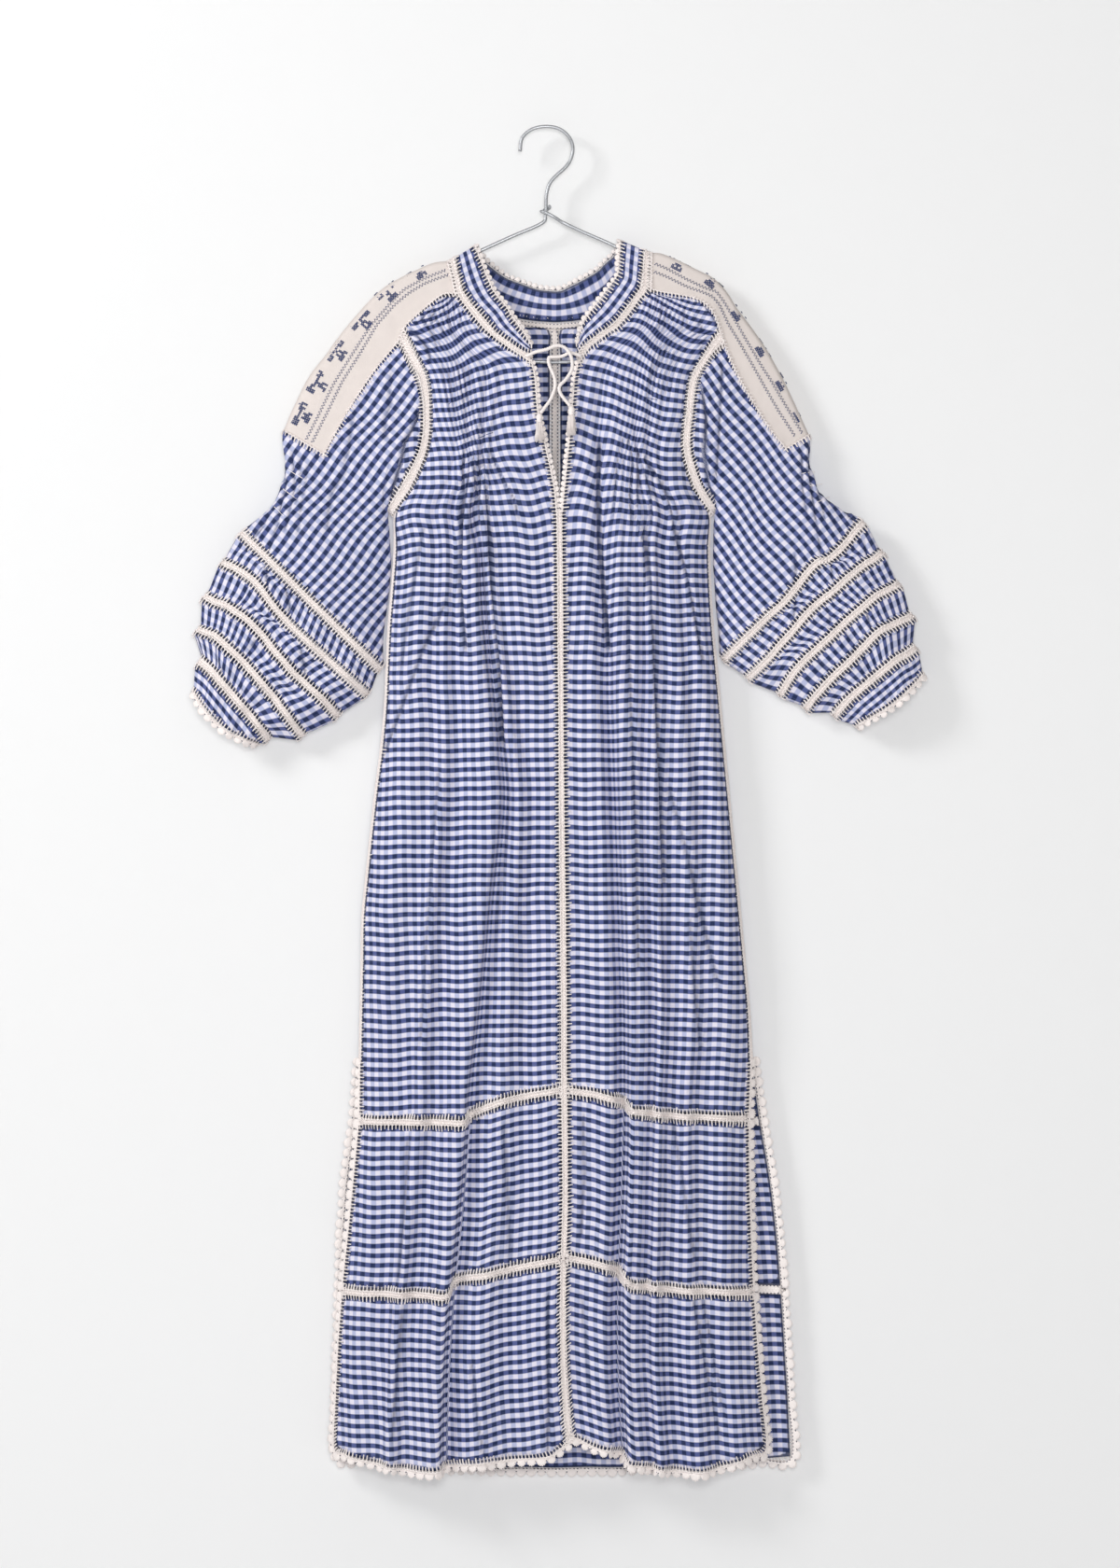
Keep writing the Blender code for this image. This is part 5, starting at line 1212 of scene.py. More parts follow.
def drape_sleeve(side):
    """A sleeve with its bands and cuff, and the insertions between them."""
    front_rows = [FRONT_TOP_ROWS[side].index(height) for height in ARMHOLE_ROWS]
    back_rows = [BACK_TOP_ROWS[side].index(height) for height in ARMHOLE_ROWS]
    first = armhole_row(side, front_rows, back_rows)
    points, normals, band_end = sleeve_grid(side, first)
    around = 2 * FRONT_STATIONS
    count = len(SLEEVE_ROWS[side]) + 2
    panels["sleeve_" + side] = (points[:count], normals[:count])
    panels["sleeve_band_end_" + side] = band_end
    inner = joined(edge_of("front_" + side, front_rows, 0), edge_of("back_" + side, back_rows[::-1], 0))
    keep_strip("armhole_insertion_" + side, inner, (points[0, :around], normals[0, :around]))
    points, normals = points[count - 1:], normals[count - 1:]
    last = len(SEAM_NAMES) - 1
    for number, letter in enumerate(SEAM_NAMES):
        above, below = 2 * number, 2 * number + 1
        if number < last:
            name = "sleeve_insertion_" + letter + "_" + side
            keep_strip(name, (points[above], normals[above]), (points[below], normals[below]), True)
            name = "cuff_" + side if number == last - 1 else "sleeve_tier_" + letter + "_" + side
            panels[name] = (points[below:below + 2], normals[below:below + 2])
        else:
            panels["cuff_edging_" + side] = (points[above:below + 1], normals[above:below + 1])


def drape_shoulder_band(side):
    """A band laid over the fold of the shoulder."""
    rows = []
    for number, (fold_x, fold_z, low_x, low_z) in enumerate(SHOULDER_BANDS[side]):
        corner = BAND_BACK_CORNERS[side] if number == 0 else None
        rows.append(arch((fold_x, fold_z), (low_x, low_z), BAND_DEPTH, BAND_BACK_DEPTH, corner))
    points = np.array(rows)
    normals = outward(grid_normals(points), np.array((0.0, 0.0, 1.0)))
    normals[:, 0] = (0.0, -1.0, 0.0)
    normals[:, -1] = (0.0, 1.0, 0.0)
    points[:, 0] += unit(points[:, 1] - points[:, 0]) * BAND_GAP
    points[:, -1] += unit(points[:, -2] - points[:, -1]) * BAND_GAP
    points[0] += unit(points[1] - points[0]) * BAND_GAP
    points[-1] -= unit(points[-1] - points[-2]) * BAND_GAP
    panels["shoulder_band_" + side] = (points, normals)


# Materials
class Nodes:
    """Short calls that add nodes to a tree and join them."""

    def __init__(self, tree):
        self.tree = tree

    def sockets(self, inputs, outputs):
        """The inputs, as name, kind and value, and the outputs, as name and kind, of a node group."""
        for label, kind, value in inputs:
            socket = self.tree.interface.new_socket(label, in_out="INPUT", socket_type="NodeSocket" + kind)
            if value is not None:
                socket.default_value = value
        for label, kind in outputs:
            self.tree.interface.new_socket(label, in_out="OUTPUT", socket_type="NodeSocket" + kind)
        self.source, self.sink = self.add("NodeGroupInput"), self.add("NodeGroupOutput")

    def add(self, kind, **values):
        node = self.tree.nodes.new(kind)
        count = len(self.tree.nodes)
        node.location = (count * 180, -(count % 4) * 160)
        for key, value in values.items():
            setattr(node, key, value)
        return node

    def link(self, socket, value):
        if isinstance(value, bpy.types.NodeSocket):
            self.tree.links.new(value, socket)
        else:
            socket.default_value = value

    def feed(self, node, **values):
        """Links or sets inputs by name, with _ for a space."""
        for key, value in values.items():
            self.link(node.inputs[key.replace("_", " ")], value)
        return node

    def math(self, operation, first, second=0.0, clamp=False):
        node = self.add("ShaderNodeMath", operation=operation, use_clamp=clamp)
        for socket, value in zip(node.inputs, (first, second)):
            self.link(socket, value)
        return node.outputs[0]

    def mix(self, factor, first, second):
        node = self.add("ShaderNodeMix", data_type="RGBA")
        self.link(node.inputs["Factor"], factor)
        self.link(node.inputs[6], first)
        self.link(node.inputs[7], second)
        return node.outputs[2]

    def split(self, vector):
        node = self.add("ShaderNodeSeparateXYZ")
        self.link(node.inputs[0], vector)
        return node.outputs

    def join(self, x, y, z=0.0):
        return self.feed(self.add("ShaderNodeCombineXYZ"), X=x, Y=y, Z=z).outputs[0]

    def noise(self, vector, scale, detail=2.0, roughness=0.5):
        node = self.add("ShaderNodeTexNoise")
        return self.feed(node, Vector=vector, Scale=scale, Detail=detail, Roughness=roughness).outputs[0]

    def group(self, tree, **values):
        return self.feed(self.add("ShaderNodeGroup", node_tree=tree), **values).outputs

    def attribute(self, name):
        return self.add("ShaderNodeAttribute", attribute_name=name).outputs["Fac"]


def stripe(n, coordinate, softness):
    """A mask that is 1 over half of each unit of the coordinate, with soft edges."""
    place = n.math("PINGPONG", coordinate, 0.5)
    shifted = n.math("SUBTRACT", place, 0.25)
    scaled = n.math("DIVIDE", shifted, softness)
    return n.math("ADD", scaled, 0.5, clamp=True)


def rgba(colour):
    """A colour that is fully opaque."""
    return tuple(colour) + (1.0,)


def gingham_group(colours):
    """Colour and relief of woven checks on fabric coordinates in metres."""
    n = Nodes(bpy.data.node_groups.new("gingham_weave", "ShaderNodeTree"))
    n.sockets((
        ("Fabric", "Vector", None), ("Pitch", "Float", CHECK_PITCH * MM), ("Thread", "Float", 0.00042),
        ("Navy", "Color", rgba(colours.navy)), ("Row Blue", "Color", rgba(colours.row_blue)),
        ("Column Blue", "Color", rgba(colours.column_blue)), ("White", "Color", rgba(colours.white)),
    ), (("Color", "Color"), ("Height", "Float"), ("Fuzz", "Float")))
    fabric, pitch, thread, navy, row_blue, column_blue, white = list(n.source.outputs)[:7]
    x, y, _ = n.split(fabric)
    drift = n.math("MULTIPLY", n.math("SUBTRACT", n.noise(fabric, 18.0, 1.0), 0.5), 0.0026)
    masks, waves = [], []
    # Uneven dye makes single threads paler or darker
    for way, other, uneven in ((x, y, 0.5), (y, x, 0.3)):
        mask = stripe(n, n.math("DIVIDE", n.math("ADD", way, drift), pitch), 0.10)
        slub = n.noise(n.join(n.math("MULTIPLY", way, 2300.0), n.math("MULTIPLY", other, 22.0)), 1.0, 0.0)
        dye = n.math("ADD", n.math("MULTIPLY", slub, uneven), 1.0 - uneven / 2)
        masks.append(n.math("MULTIPLY", mask, dye, clamp=True))
        waves.append(n.math("SINE", n.math("MULTIPLY", n.math("DIVIDE", way, thread), math.pi)))
    columns, rows = masks
    colour = n.mix(rows, n.mix(columns, white, column_blue), n.mix(columns, row_blue, navy))
    n.feed(n.sink, Color=colour, Height=n.math("MULTIPLY", *waves), Fuzz=n.noise(fabric, 900.0, 2.0, 0.6))
    return n.tree


def crochet_group():
    """Rows of loops with small holes on fabric coordinates in metres: x along the strip, y across it, with painted
    shade in the pits between the loops.
    """
    n = Nodes(bpy.data.node_groups.new("crochet_loops", "ShaderNodeTree"))
    n.sockets((
        ("Fabric", "Vector", None), ("Loop", "Float", 0.0040), ("Row", "Float", 0.0023),
        ("Yarn", "Color", (0.75, 0.69, 0.6, 1.0)), ("Shade", "Color", (0.45, 0.4, 0.36, 1.0)),
    ), (("Color", "Color"), ("Height", "Float")))
    fabric, loop_size, row_size, yarn, shade = list(n.source.outputs)[:5]
    x, y, _ = n.split(fabric)
    row = n.math("DIVIDE", y, row_size)
    along = n.math("ADD", n.math("DIVIDE", x, loop_size), n.math("MULTIPLY", n.math("FLOOR", row), 0.5))
    loop, ridge = (
        n.math("POWER", n.math("ABSOLUTE", n.math("SINE", n.math("MULTIPLY", way, math.pi))), 0.6)
        for way in (along, row)
    )
    height = n.math("MULTIPLY", n.math("MULTIPLY", loop, ridge), 0.8)
    height = n.math("ADD", height, n.math("MULTIPLY", n.noise(fabric, 1400.0, 2.0, 0.6), 0.35))
    # Painted shade: the pits between the loops are darkened toward the Shade colour
    painted_pit_shade = n.math("MULTIPLY", n.math("SUBTRACT", 0.40, height), 3.2, clamp=True)
    n.feed(n.sink, Color=n.mix(painted_pit_shade, yarn, shade), Height=height)
    return n.tree


class Finish(Nodes):
    """A material with its shader, and the texture places that it reads."""

    def __init__(self, name, roughness, sheen=0.0, metallic=0.0, specular=0.25):
        self.material = bpy.data.materials.new(name)
        self.material.use_nodes = True
        super().__init__(self.material.node_tree)
        self.shader = self.tree.nodes["Principled BSDF"]
        self.feed(self.shader, Roughness=roughness, Metallic=metallic, Specular_IOR_Level=specular, Sheen_Weight=sheen)

    def place(self, kind):
        return self.add("ShaderNodeTexCoord").outputs[kind]

    def finish(self, colour, height, strength, distance):
        """Base colour, and a bump from a height."""
        bump = self.feed(self.add("ShaderNodeBump"), Strength=strength, Distance=distance, Height=height)
        self.feed(self.shader, Base_Color=colour, Normal=bump.outputs[0])


def make_materials(colours):
    gingham, crochet = gingham_group(colours), crochet_group()
    n = Finish("gingham_cloth", 0.86, sheen=0.05)
    weave = n.group(gingham, Fabric=n.place("UV"))
    # Painted shade: the sharp creases are darkened, and so is the turned edge under the stitches, for the shadow in the
    # gaps between them
    depth = n.math("MULTIPLY", n.attribute("crease"), 0.72, clamp=True)
    sewn = n.math("MULTIPLY", n.math("SUBTRACT", SEWN_EDGE_SHADE, n.attribute("edge")), 0.9, clamp=True)
    depth = n.math("MAXIMUM", depth, n.math("MULTIPLY", sewn, 0.85))
    relief = n.math("ADD", weave["Height"], weave["Fuzz"])
    n.finish(n.mix(depth, weave["Color"], rgba(colours.crease)), relief, 0.25, 0.0003)

    n = Finish("crochet_yarn", 0.9)
    uv = n.place("UV")
    loops = n.group(crochet, Fabric=uv, Yarn=rgba(colours.ecru), Shade=rgba(colours.ecru_shade))
    # Painted shade: dark holes along both edges, where the stitches that hold the band leave gaps that lie in shadow
    along = n.split(uv)[0]
    between = n.math("SUBTRACT", n.math("PINGPONG", n.math("DIVIDE", along, STITCH_SPACING * MM), 0.5), 0.2)
    holes = n.math("MULTIPLY", between, 9.0, clamp=True)
    margin = n.math("MULTIPLY", n.math("SUBTRACT", 1.5, n.attribute("edge")), 1.6, clamp=True)
    holes = n.math("MULTIPLY", n.math("MULTIPLY", holes, margin), 0.85)
    n.finish(n.mix(holes, loops["Color"], rgba(colours.crease)), loops["Height"], 0.4, 0.0007)

    for name, roughness, sheen, share, first, second, strength, distance in (
        ("ecru_thread", 0.9, 0.0, 0.22, colours.ecru, colours.ecru_shade, 0.4, 0.0004),
        ("blue_thread", 0.8, 0.1, 1.0, colours.cross_stitch, colours.navy, 0.3, 0.0003),
    ):
        n = Finish(name, roughness, sheen)
        fibre = n.noise(n.place("Object"), 1500.0, 2.0)
        tone = n.mix(n.math("MULTIPLY", fibre, share), rgba(first), rgba(second))
        n.finish(tone, fibre, strength, distance)

    n = Finish("plain_cotton", 0.85, sheen=0.1)
    uv, cream = n.place("UV"), rgba(colours.cream)
    weave = n.group(gingham, Fabric=uv, Thread=0.0006, Navy=cream, Row_Blue=cream, Column_Blue=cream, White=cream)
    mottle = n.math("MULTIPLY", n.noise(uv, 60.0, 3.0), 0.7)
    shade = rgba(value * 0.86 for value in colours.cream)
    n.finish(n.mix(mottle, weave["Color"], shade), n.math("ADD", weave["Height"], weave["Fuzz"]), 0.35, 0.0004)

    n = Finish("steel_wire", 0.35, metallic=0.35, specular=0.5)
    streak = n.noise(n.place("Object"), 260.0, 3.0)
    n.feed(
        n.shader, Base_Color=n.mix(streak, (0.50, 0.51, 0.53, 1.0), (0.38, 0.39, 0.41, 1.0)),
        Roughness=n.math("ADD", n.math("MULTIPLY", streak, 0.2), 0.18),
    )


# Geometry node trees
class Branch(Nodes):
    """A geometry node tree that puts small pieces of thread on points or lines."""

    def __init__(self, name, **sizes):
        super().__init__(bpy.data.node_groups.new(name, "GeometryNodeTree"))
        inputs = [(label.replace("_", " "), "Float", value) for label, value in sizes.items()]
        self.sockets(
            [("Geometry", "Geometry", None)] + inputs + [("Seed", "Int", 1), ("Material", "Material", None)],
            [("Geometry", "Geometry")],
        )
        self.sizes = [self.source.outputs[label] for label, _, _ in inputs]

    def field(self, name):
        node = self.add("GeometryNodeInputNamedAttribute", data_type="FLOAT_VECTOR")
        node.inputs["Name"].default_value = name
        return node.outputs["Attribute"]

    def times(self, value, factor):
        return self.math("MULTIPLY", value, factor)

    def thread(self, points, radius, sides=3):
        """A bent thread through two or three points."""
        if len(points) == 3:
            line = self.add("GeometryNodeCurveQuadraticBezier")
            line.inputs["Resolution"].default_value = 2 if sides < 5 else 3
            labels = ("Start", "Middle", "End")
        else:
            line = self.add("GeometryNodeCurvePrimitiveLine")
            labels = ("Start", "End")
        self.feed(line, **dict(zip(labels, points)))
        circle = self.feed(self.add("GeometryNodeCurvePrimitiveCircle", mode="RADIUS"), Resolution=sides, Radius=radius)
        return self.feed(
            self.add("GeometryNodeCurveToMesh"), Curve=line.outputs[0], Profile_Curve=circle.outputs[0], Fill_Caps=True,
        ).outputs[0]

    def spaced(self, spacing):
        """Even points along the lines of the guide."""
        line = self.feed(self.add("GeometryNodeMeshToCurve"), Mesh=self.source.outputs["Geometry"])
        even = self.feed(self.add("GeometryNodeResampleCurve", mode="LENGTH"), Curve=line.outputs[0], Length=spacing)
        return self.feed(self.add("GeometryNodeCurveToPoints", mode="EVALUATED"), Curve=even.outputs[0]).outputs[0]

    def close(self, points, pieces, low, high):
        """Instances of the pieces on the points, turned to the facing and across attributes, made real and painted."""
        gathered = self.add("GeometryNodeJoinGeometry")
        for piece in pieces:
            self.tree.links.new(piece, gathered.inputs[0])
        turn = self.add("FunctionNodeAxesToRotation", primary_axis="Z", secondary_axis="X")
        self.feed(turn, Primary_Axis=self.field("facing"), Secondary_Axis=self.field("across"))
        vary = self.add("FunctionNodeRandomValue", data_type="FLOAT")
        vary.inputs[2].default_value = low
        vary.inputs[3].default_value = high
        self.feed(vary, Seed=self.source.outputs["Seed"])
        node = self.feed(
            self.add("GeometryNodeInstanceOnPoints"), Points=points, Instance=gathered.outputs[0],
            Rotation=turn.outputs[0], Scale=vary.outputs[1],
        )
        for kind, values in (
            ("GeometryNodeRealizeInstances", {}),
            ("GeometryNodeSetMaterial", {"Material": self.source.outputs["Material"]}),
            ("GeometryNodeSetShadeSmooth", {}),
        ):
            following = self.feed(self.add(kind), **values)
            self.link(following.inputs[0], node.outputs[0])
            node = following
        self.link(self.sink.inputs[0], node.outputs[0])
        return self.tree


def stitch_tree():
    """Crochet stitches that reach over the edge of the cloth, with a loop along the edge."""
    b = Branch("edge_stitches", Spacing=STITCH_SPACING * MM, Leg_Length=0.0054, Thread_Radius=0.00082, Lift=0.0008)
    spacing, leg, radius, lift = b.sizes
    half = b.times(spacing, 0.5)
    reach = b.thread((
        b.join(b.times(leg, -0.3), 0.0, lift), b.join(0.0, 0.0, b.times(lift, 2.0)), b.join(leg, 0.0004, 0.0010),
    ), radius)
    loop = b.thread((
        b.join(-0.0012, b.times(half, -1.0), lift), b.join(0.0008, 0.0, b.times(lift, 1.8)),
        b.join(-0.0012, half, lift),
    ), b.times(radius, 1.1))
    return b.close(b.spaced(spacing), (reach, loop), 0.8, 1.25)


def chain_tree():
    """Chain stitches: pairs of short threads that lean together."""
    b = Branch("chain_stitches", Spacing=0.0036, Width=0.0030, Thread_Radius=0.00062)
    spacing, width, radius = b.sizes
    pieces = []
    for turn in (-1.0, 1.0):
        outer, inner = b.times(width, 0.5 * turn), b.times(width, 0.06 * turn)
        pieces.append(b.thread((
            b.join(outer, b.times(spacing, -0.5), 0.0), b.join(outer, 0.0, 0.0012),
            b.join(inner, b.times(spacing, 0.62), 0.0002),
        ), radius))
    return b.close(b.spaced(spacing), pieces, 0.88, 1.15)


def scallop_tree():
    """Shell scallops along an outer edge: a rounded shell with ribs and a rim."""
    b = Branch("edge_scallops", Spacing=0.0115, Reach=0.0048, Thread_Radius=0.0008)
    spacing, reach, radius = b.sizes
    half = b.times(spacing, 0.5)
    shell = b.feed(b.add("GeometryNodeMeshUVSphere"), Segments=12, Rings=5, Radius=1.0)
    flat = b.feed(
        b.add("GeometryNodeTransform"), Geometry=shell.outputs["Mesh"],
        Scale=b.join(b.times(reach, 0.92), b.times(half, 0.98), 0.0011),
    )
    pieces = [flat.outputs[0]]
    for share, length in ((-0.72, 0.55), (-0.4, 0.85), (0.0, 1.02), (0.4, 0.85), (0.72, 0.55)):
        pieces.append(b.thread((
            b.join(-0.0012, b.times(half, share * 0.45), 0.0006),
            b.join(b.times(reach, length), b.times(half, share), 0.0002),
        ), b.times(radius, 0.85), 5))
    return b.close(b.spaced(spacing), pieces, 0.85, 1.12)


def cross_tree():
    """Small crosses of thread, one on each point."""
    b = Branch("cross_stitches", Size=0.0023, Thread_Radius=0.0005)
    size, radius = b.sizes
    half = b.times(size, 0.5)
    less = b.times(half, -1.0)
    cloud = b.feed(b.add("GeometryNodeMeshToPoints"), Mesh=b.source.outputs["Geometry"])
    pieces = [
        b.thread((b.join(less, start, 0.0), b.join(0.0, 0.0, rise), b.join(half, end, 0.0)), radius, 4)
        for start, end, rise in ((less, half, 0.0006), (half, less, 0.001))
    ]
    return b.close(cloud.outputs[0], pieces, 0.92, 1.08)


TREES = {
    "edge_stitches": stitch_tree, "chain_stitches": chain_tree, "edge_scallops": scallop_tree,
    "cross_stitches": cross_tree,
}


def grow(name, tree_name, slot_name, lines, facing, across, material="ecru_thread", **values):
    """Runs a geometry node tree on lines of points, or on a cloud, and returns the plain mesh object."""
    tree = bpy.data.node_groups.get(tree_name) or TREES[tree_name]()
    mesh = bpy.data.meshes.new(name + "_guide")
    edges, start = [], 0
    for line in lines:
        edges.extend((start + number, start + number + 1) for number in range(len(line) - 1))
        start += len(line)
    points = np.concatenate(lines)
    mesh.from_pydata((points * MM).tolist(), [] if tree_name == "cross_stitches" else edges, [])
    for label, field in (("facing", facing), ("across", across)):
        attribute = mesh.attributes.new(label, "FLOAT_VECTOR", "POINT")
        attribute.data.foreach_set("vector", np.asarray(field, np.float32).ravel())
    guide = bpy.data.objects.new(name + "_guide", mesh)
    bpy.context.scene.collection.objects.link(guide)
    modifier = guide.modifiers.new("made", "NODES")
    modifier.node_group = tree
    values = dict({label.replace("_", " "): value for label, value in values.items()}, Material=paint(material))
    for item in tree.interface.items_tree:
        if item.item_type == "SOCKET" and item.in_out == "INPUT" and item.name in values:
            modifier[item.identifier] = values[item.name]
    bpy.context.view_layer.update()
    made = bpy.data.meshes.new_from_object(guide.evaluated_get(bpy.context.evaluated_depsgraph_get()))
    made.name = name
    bpy.data.objects.remove(guide, do_unlink=True)
    body = bpy.data.objects.new(name, made)
    bpy.context.scene.collection.objects.link(body)
    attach(body, "root")
    return body


def crochet_body(name, drape, nodes, thickness):
    """The crocheted band itself, with fabric coordinates along and across it."""
    uv = np.stack(np.meshgrid(drape.around(), drape.along()), axis=2)
    finished(add_cloth(name + "_crochet", drape, uv, "crochet_yarn", thickness), nodes)


def sewn_line(drape, row, other):
    """One edge of a band with its normals and the way out of the band, joined up where the band is a ring."""
    line, facing = drape.points[row], drape.normals[row]
    return drape.looped(line, facing, unit(line - drape.points[other]))


def strip_piece(name, nodes):
    """One crochet insertion with the stitches that hold it to the cloth on both sides."""
    points, normals, closed = strips[name]
    places = BACK_STRIP_PLACES if name.startswith("back_insertion") else STRIP_PLACES
    drape = Drape(points, normals, column_step=4.0, closed=closed, row_places=np.array(places))
    if name.startswith("sleeve_insertion"):
        drape.drift(name.rsplit("_", 1)[1])
    swell = 2.2 if name.startswith("side_insertion") else 0.3
    drape.raise_by(np.array((0.0, 0.8, 1.0, 1.0, 0.8, 0.0))[:, None] * swell * np.ones(drape.points.shape[:2]))
    crochet_body(name, drape, nodes, 1.0)
    lines, facings, ways = zip(*(sewn_line(drape, row, other) for row, other in ((0, 1), (-1, -2))))
    lines = [line + facing * STITCH_LIFT for line, facing in zip(lines, facings)]
    grow(
        name + "_stitches", "edge_stitches", "crochet", lines, np.concatenate(facings), np.concatenate(ways),
        Seed=len(name),
    )
    chain_piece(name, drape)
    if name in SEEN_INSIDE:
        chain_piece(name, drape, inside=True)


def chain_piece(name, drape, inside=False):
    """A row of chain stitches along the middle of a crocheted band."""
    place = spline_weights(len(drape.rows), [0.5 * (len(drape.rows) - 1)])[0]
    line = np.einsum("r,rjk->jk", place, drape.points)
    facing = unit(np.einsum("r,rjk->jk", place, drape.normals))
    line, facing, way = drape.looped(line, facing, unit(drape.points[-1] - drape.points[0]))
    if inside:
        near = line[:, 2] > SEEN_INSIDE_Z
        line, facing, way = line[near], -facing[near], way[near]
    label = name + ("_inner_chain" if inside else "_chain")
    grow(label, "chain_stitches", "crochet", [line + facing * STITCH_LIFT], facing, way, Seed=len(name))


def border_piece(name, edge, normals, way, closed=False, side=None):
    """An edging: a narrow crocheted band along the edge and scallops along its outer side."""
    kind = next(kind for kind in EDGINGS if kind in name)
    width, solid_share, scallop = EDGINGS[kind]
    inner, outer = edge + way * 1.2, edge + way * (1.2 + width * solid_share)
    points = np.stack([inner, (inner + outer) / 2, outer])
    drape = Drape(points, np.stack([normals] * 3), row_step=2.5, column_step=4.0, closed=closed)
    if side:
        drape.drift(side)
        drape.bulge(side, np.ones(len(drape.rows)))
    crochet_body(name, drape, ["slit_edging" if kind == "slit" else name], 1.1)
    for row, other, part, lift, values in ((0, 1, "stitches", 0.4, {}), (-1, -2, "scallops", 0.0, scallop)):
        line, facing, outward_way = sewn_line(drape, row, other)
        grow(
            name + "_" + part, "edge_" + part, "crochet", [line + facing * lift], facing, outward_way,
            Seed=len(name), **values,
        )


# Settings
def colour_property(label, text, default):
    return bpy.props.FloatVectorProperty(name=label, description=text, default=default, subtype="COLOR", min=0, max=1)


class DressColours(bpy.types.PropertyGroup):
    """Colours of the cloth, the yarn, the embroidery thread, the painted shade, and the wall and floor."""
    navy: colour_property("Navy", "Where two blue stripes cross", (0.011, 0.022, 0.080))
    # Painted shade: the colour that the sharp creases, the turned edges under the stitches and the holes along the
    # crochet's edges are darkened toward
    crease: colour_property("Crease", "Depth of the sharp creases", (0.016, 0.026, 0.075))
    row_blue: colour_property("Row blue", "Blue rows between the crossings", (0.085, 0.110, 0.285))
    column_blue: colour_property("Column blue", "Blue columns over white rows", (0.475, 0.505, 0.720))
    white: colour_property("White", "White squares", (0.800, 0.770, 0.880))
    ecru: colour_property("Ecru", "Crochet yarn", (0.990, 0.920, 0.890))
    # Painted shade in the pits between the crochet loops, and also the darker fibres of the ecru thread
    ecru_shade: colour_property("Ecru in the pits", "Crochet yarn between its loops", (0.480, 0.400, 0.390))
    cream: colour_property("Cream", "Cotton of the shoulder bands", (0.830, 0.750, 0.710))
    cross_stitch: colour_property("Cross stitch", "Embroidery thread", (0.060, 0.095, 0.260))
    wall: colour_property("Wall", "Plain wall and floor", (0.80, 0.80, 0.80))


class DressSizes(bpy.types.PropertyGroup):
    """Sizes of what shows on the dress."""
    picture_height: bpy.props.FloatProperty(
        name="Picture height", description="Height that the camera takes in at the dress", default=1.764, unit="LENGTH")
    lens: bpy.props.FloatProperty(name="Lens", description="Focal length in millimetres", default=85.0)


class DressSettings(bpy.types.PropertyGroup):
    """All the settings of the dress."""
    colours: bpy.props.PointerProperty(type=DressColours)
    sizes: bpy.props.PointerProperty(type=DressSizes)


# Fabric coordinates
def arc_across(drape, side):
    """Distance across the cloth from the centre seam, evened out down the rows."""
    steps = np.linalg.norm(np.diff(drape.points[..., :2], axis=1), axis=2)
    arc = running(steps)
    arc = arc - arc[:, -1:]
    padded = np.pad(arc, ((6, 6), (0, 0)), mode="edge")
    arc = sum(padded[n:n + len(arc)] for n in range(13)) / 13.0
    return arc if side == "left" else -arc


def panel_fabric(drape, side, front, creased, tier=False):
    """Fabric coordinates of a body panel: across from the centre seam, and down from the shoulder or the seam."""
    x, z = drape.points[..., 0], drape.points[..., 2]
    u = arc_across(drape, side)
    if tier:
        top = drape.points[0, :, 2].copy()
        if front:
            place = JUMP_FOLD[side] + WIDE_BEFORE[side]
            before = np.interp(place - 0.7, drape.columns, top)
            after = np.interp(place + 0.7, drape.columns, top)
            near = np.abs(drape.columns - place) < 0.7
            top[near] = np.where(drape.columns[near] < place, before, after)
        v = top[None, :] - z + 3.0
    else:
        v = -z
    sway = 1.5 * np.sin(x / 13.0 + 0.5 * np.sin(z / 70.0)) + 0.9 * np.sin(x / 6.1 + z / 90.0)
    v = v + sway * np.interp(z, (-700, -520, -430, -260), (0.45, 1.0, 1.0, 0.5)) - creased
    if front:
        share = smooth_step((drape.columns - JUMP_FOLD[side] - WIDE_BEFORE[side]) / 0.5 + 0.5)
        u = u + JUMP[side] * share[None, :]
        if not tier:
            table = sorted(ROW_LIFT[side])
            lift = np.interp(z, [row[0] for row in table], [row[1] for row in table])
            first, last = drape.coarse[:, 0], drape.coarse[:, -1]
            side_x = np.interp(-z, -first[:, 2], first[:, 0])
            centre_x = np.interp(-z, -last[:, 2], last[:, 0])
            v = v + lift * smooth_step((x - side_x) / (centre_x - side_x))
            tucks = sorted(TUCKS[side])
            levels = [row[0] for row in tucks]
            middle, reach, amount = (np.interp(z, levels, [row[column] for row in tucks]) for column in (1, 2, 3))
            u = u + amount * np.tanh((x - middle) / reach)
    return np.stack([u, v], axis=2)


def sleeve_fabric(drape, side, creased):
    """Fabric coordinates of the sleeve: rows along the shoulder band, level again under the arm."""
    way = unit(np.array(SLEEVE_WAY[side]))
    x, z = drape.points[..., 0], drape.points[..., 2]
    along = x * way[0] + z * way[1]
    across = -x * way[1] + z * way[0]
    anchor = drape.points.shape[1] // 5
    flat = np.diff(across, axis=1)
    full = np.sign(flat) * np.hypot(flat, np.diff(drape.points[..., 1], axis=1))
    spread = running(full)
    across = spread - spread[:, anchor:anchor + 1] + across[:, anchor:anchor + 1]
    across = across - creased * 1.2 + 1.3 * np.sin(along / 17.0 + across / 30.0)
    uv = np.stack([along, across], axis=2)
    line = sorted(UNDERARM_FOLD[side], key=lambda spot: spot[1])
    fold_x = np.interp(z, [spot[1] for spot in line], [spot[0] for spot in line])
    inside = (x > fold_x) if side == "left" else (x < fold_x)
    inside &= (drape.points[..., 1] < 0) & (z < line[-1][1]) & (z > line[0][1])
    uv[inside] = np.stack([x, -z + 1.2 * np.sin(x / 5.0)], axis=2)[inside]
    return np.concatenate([uv, uv[:, :1]], axis=1)


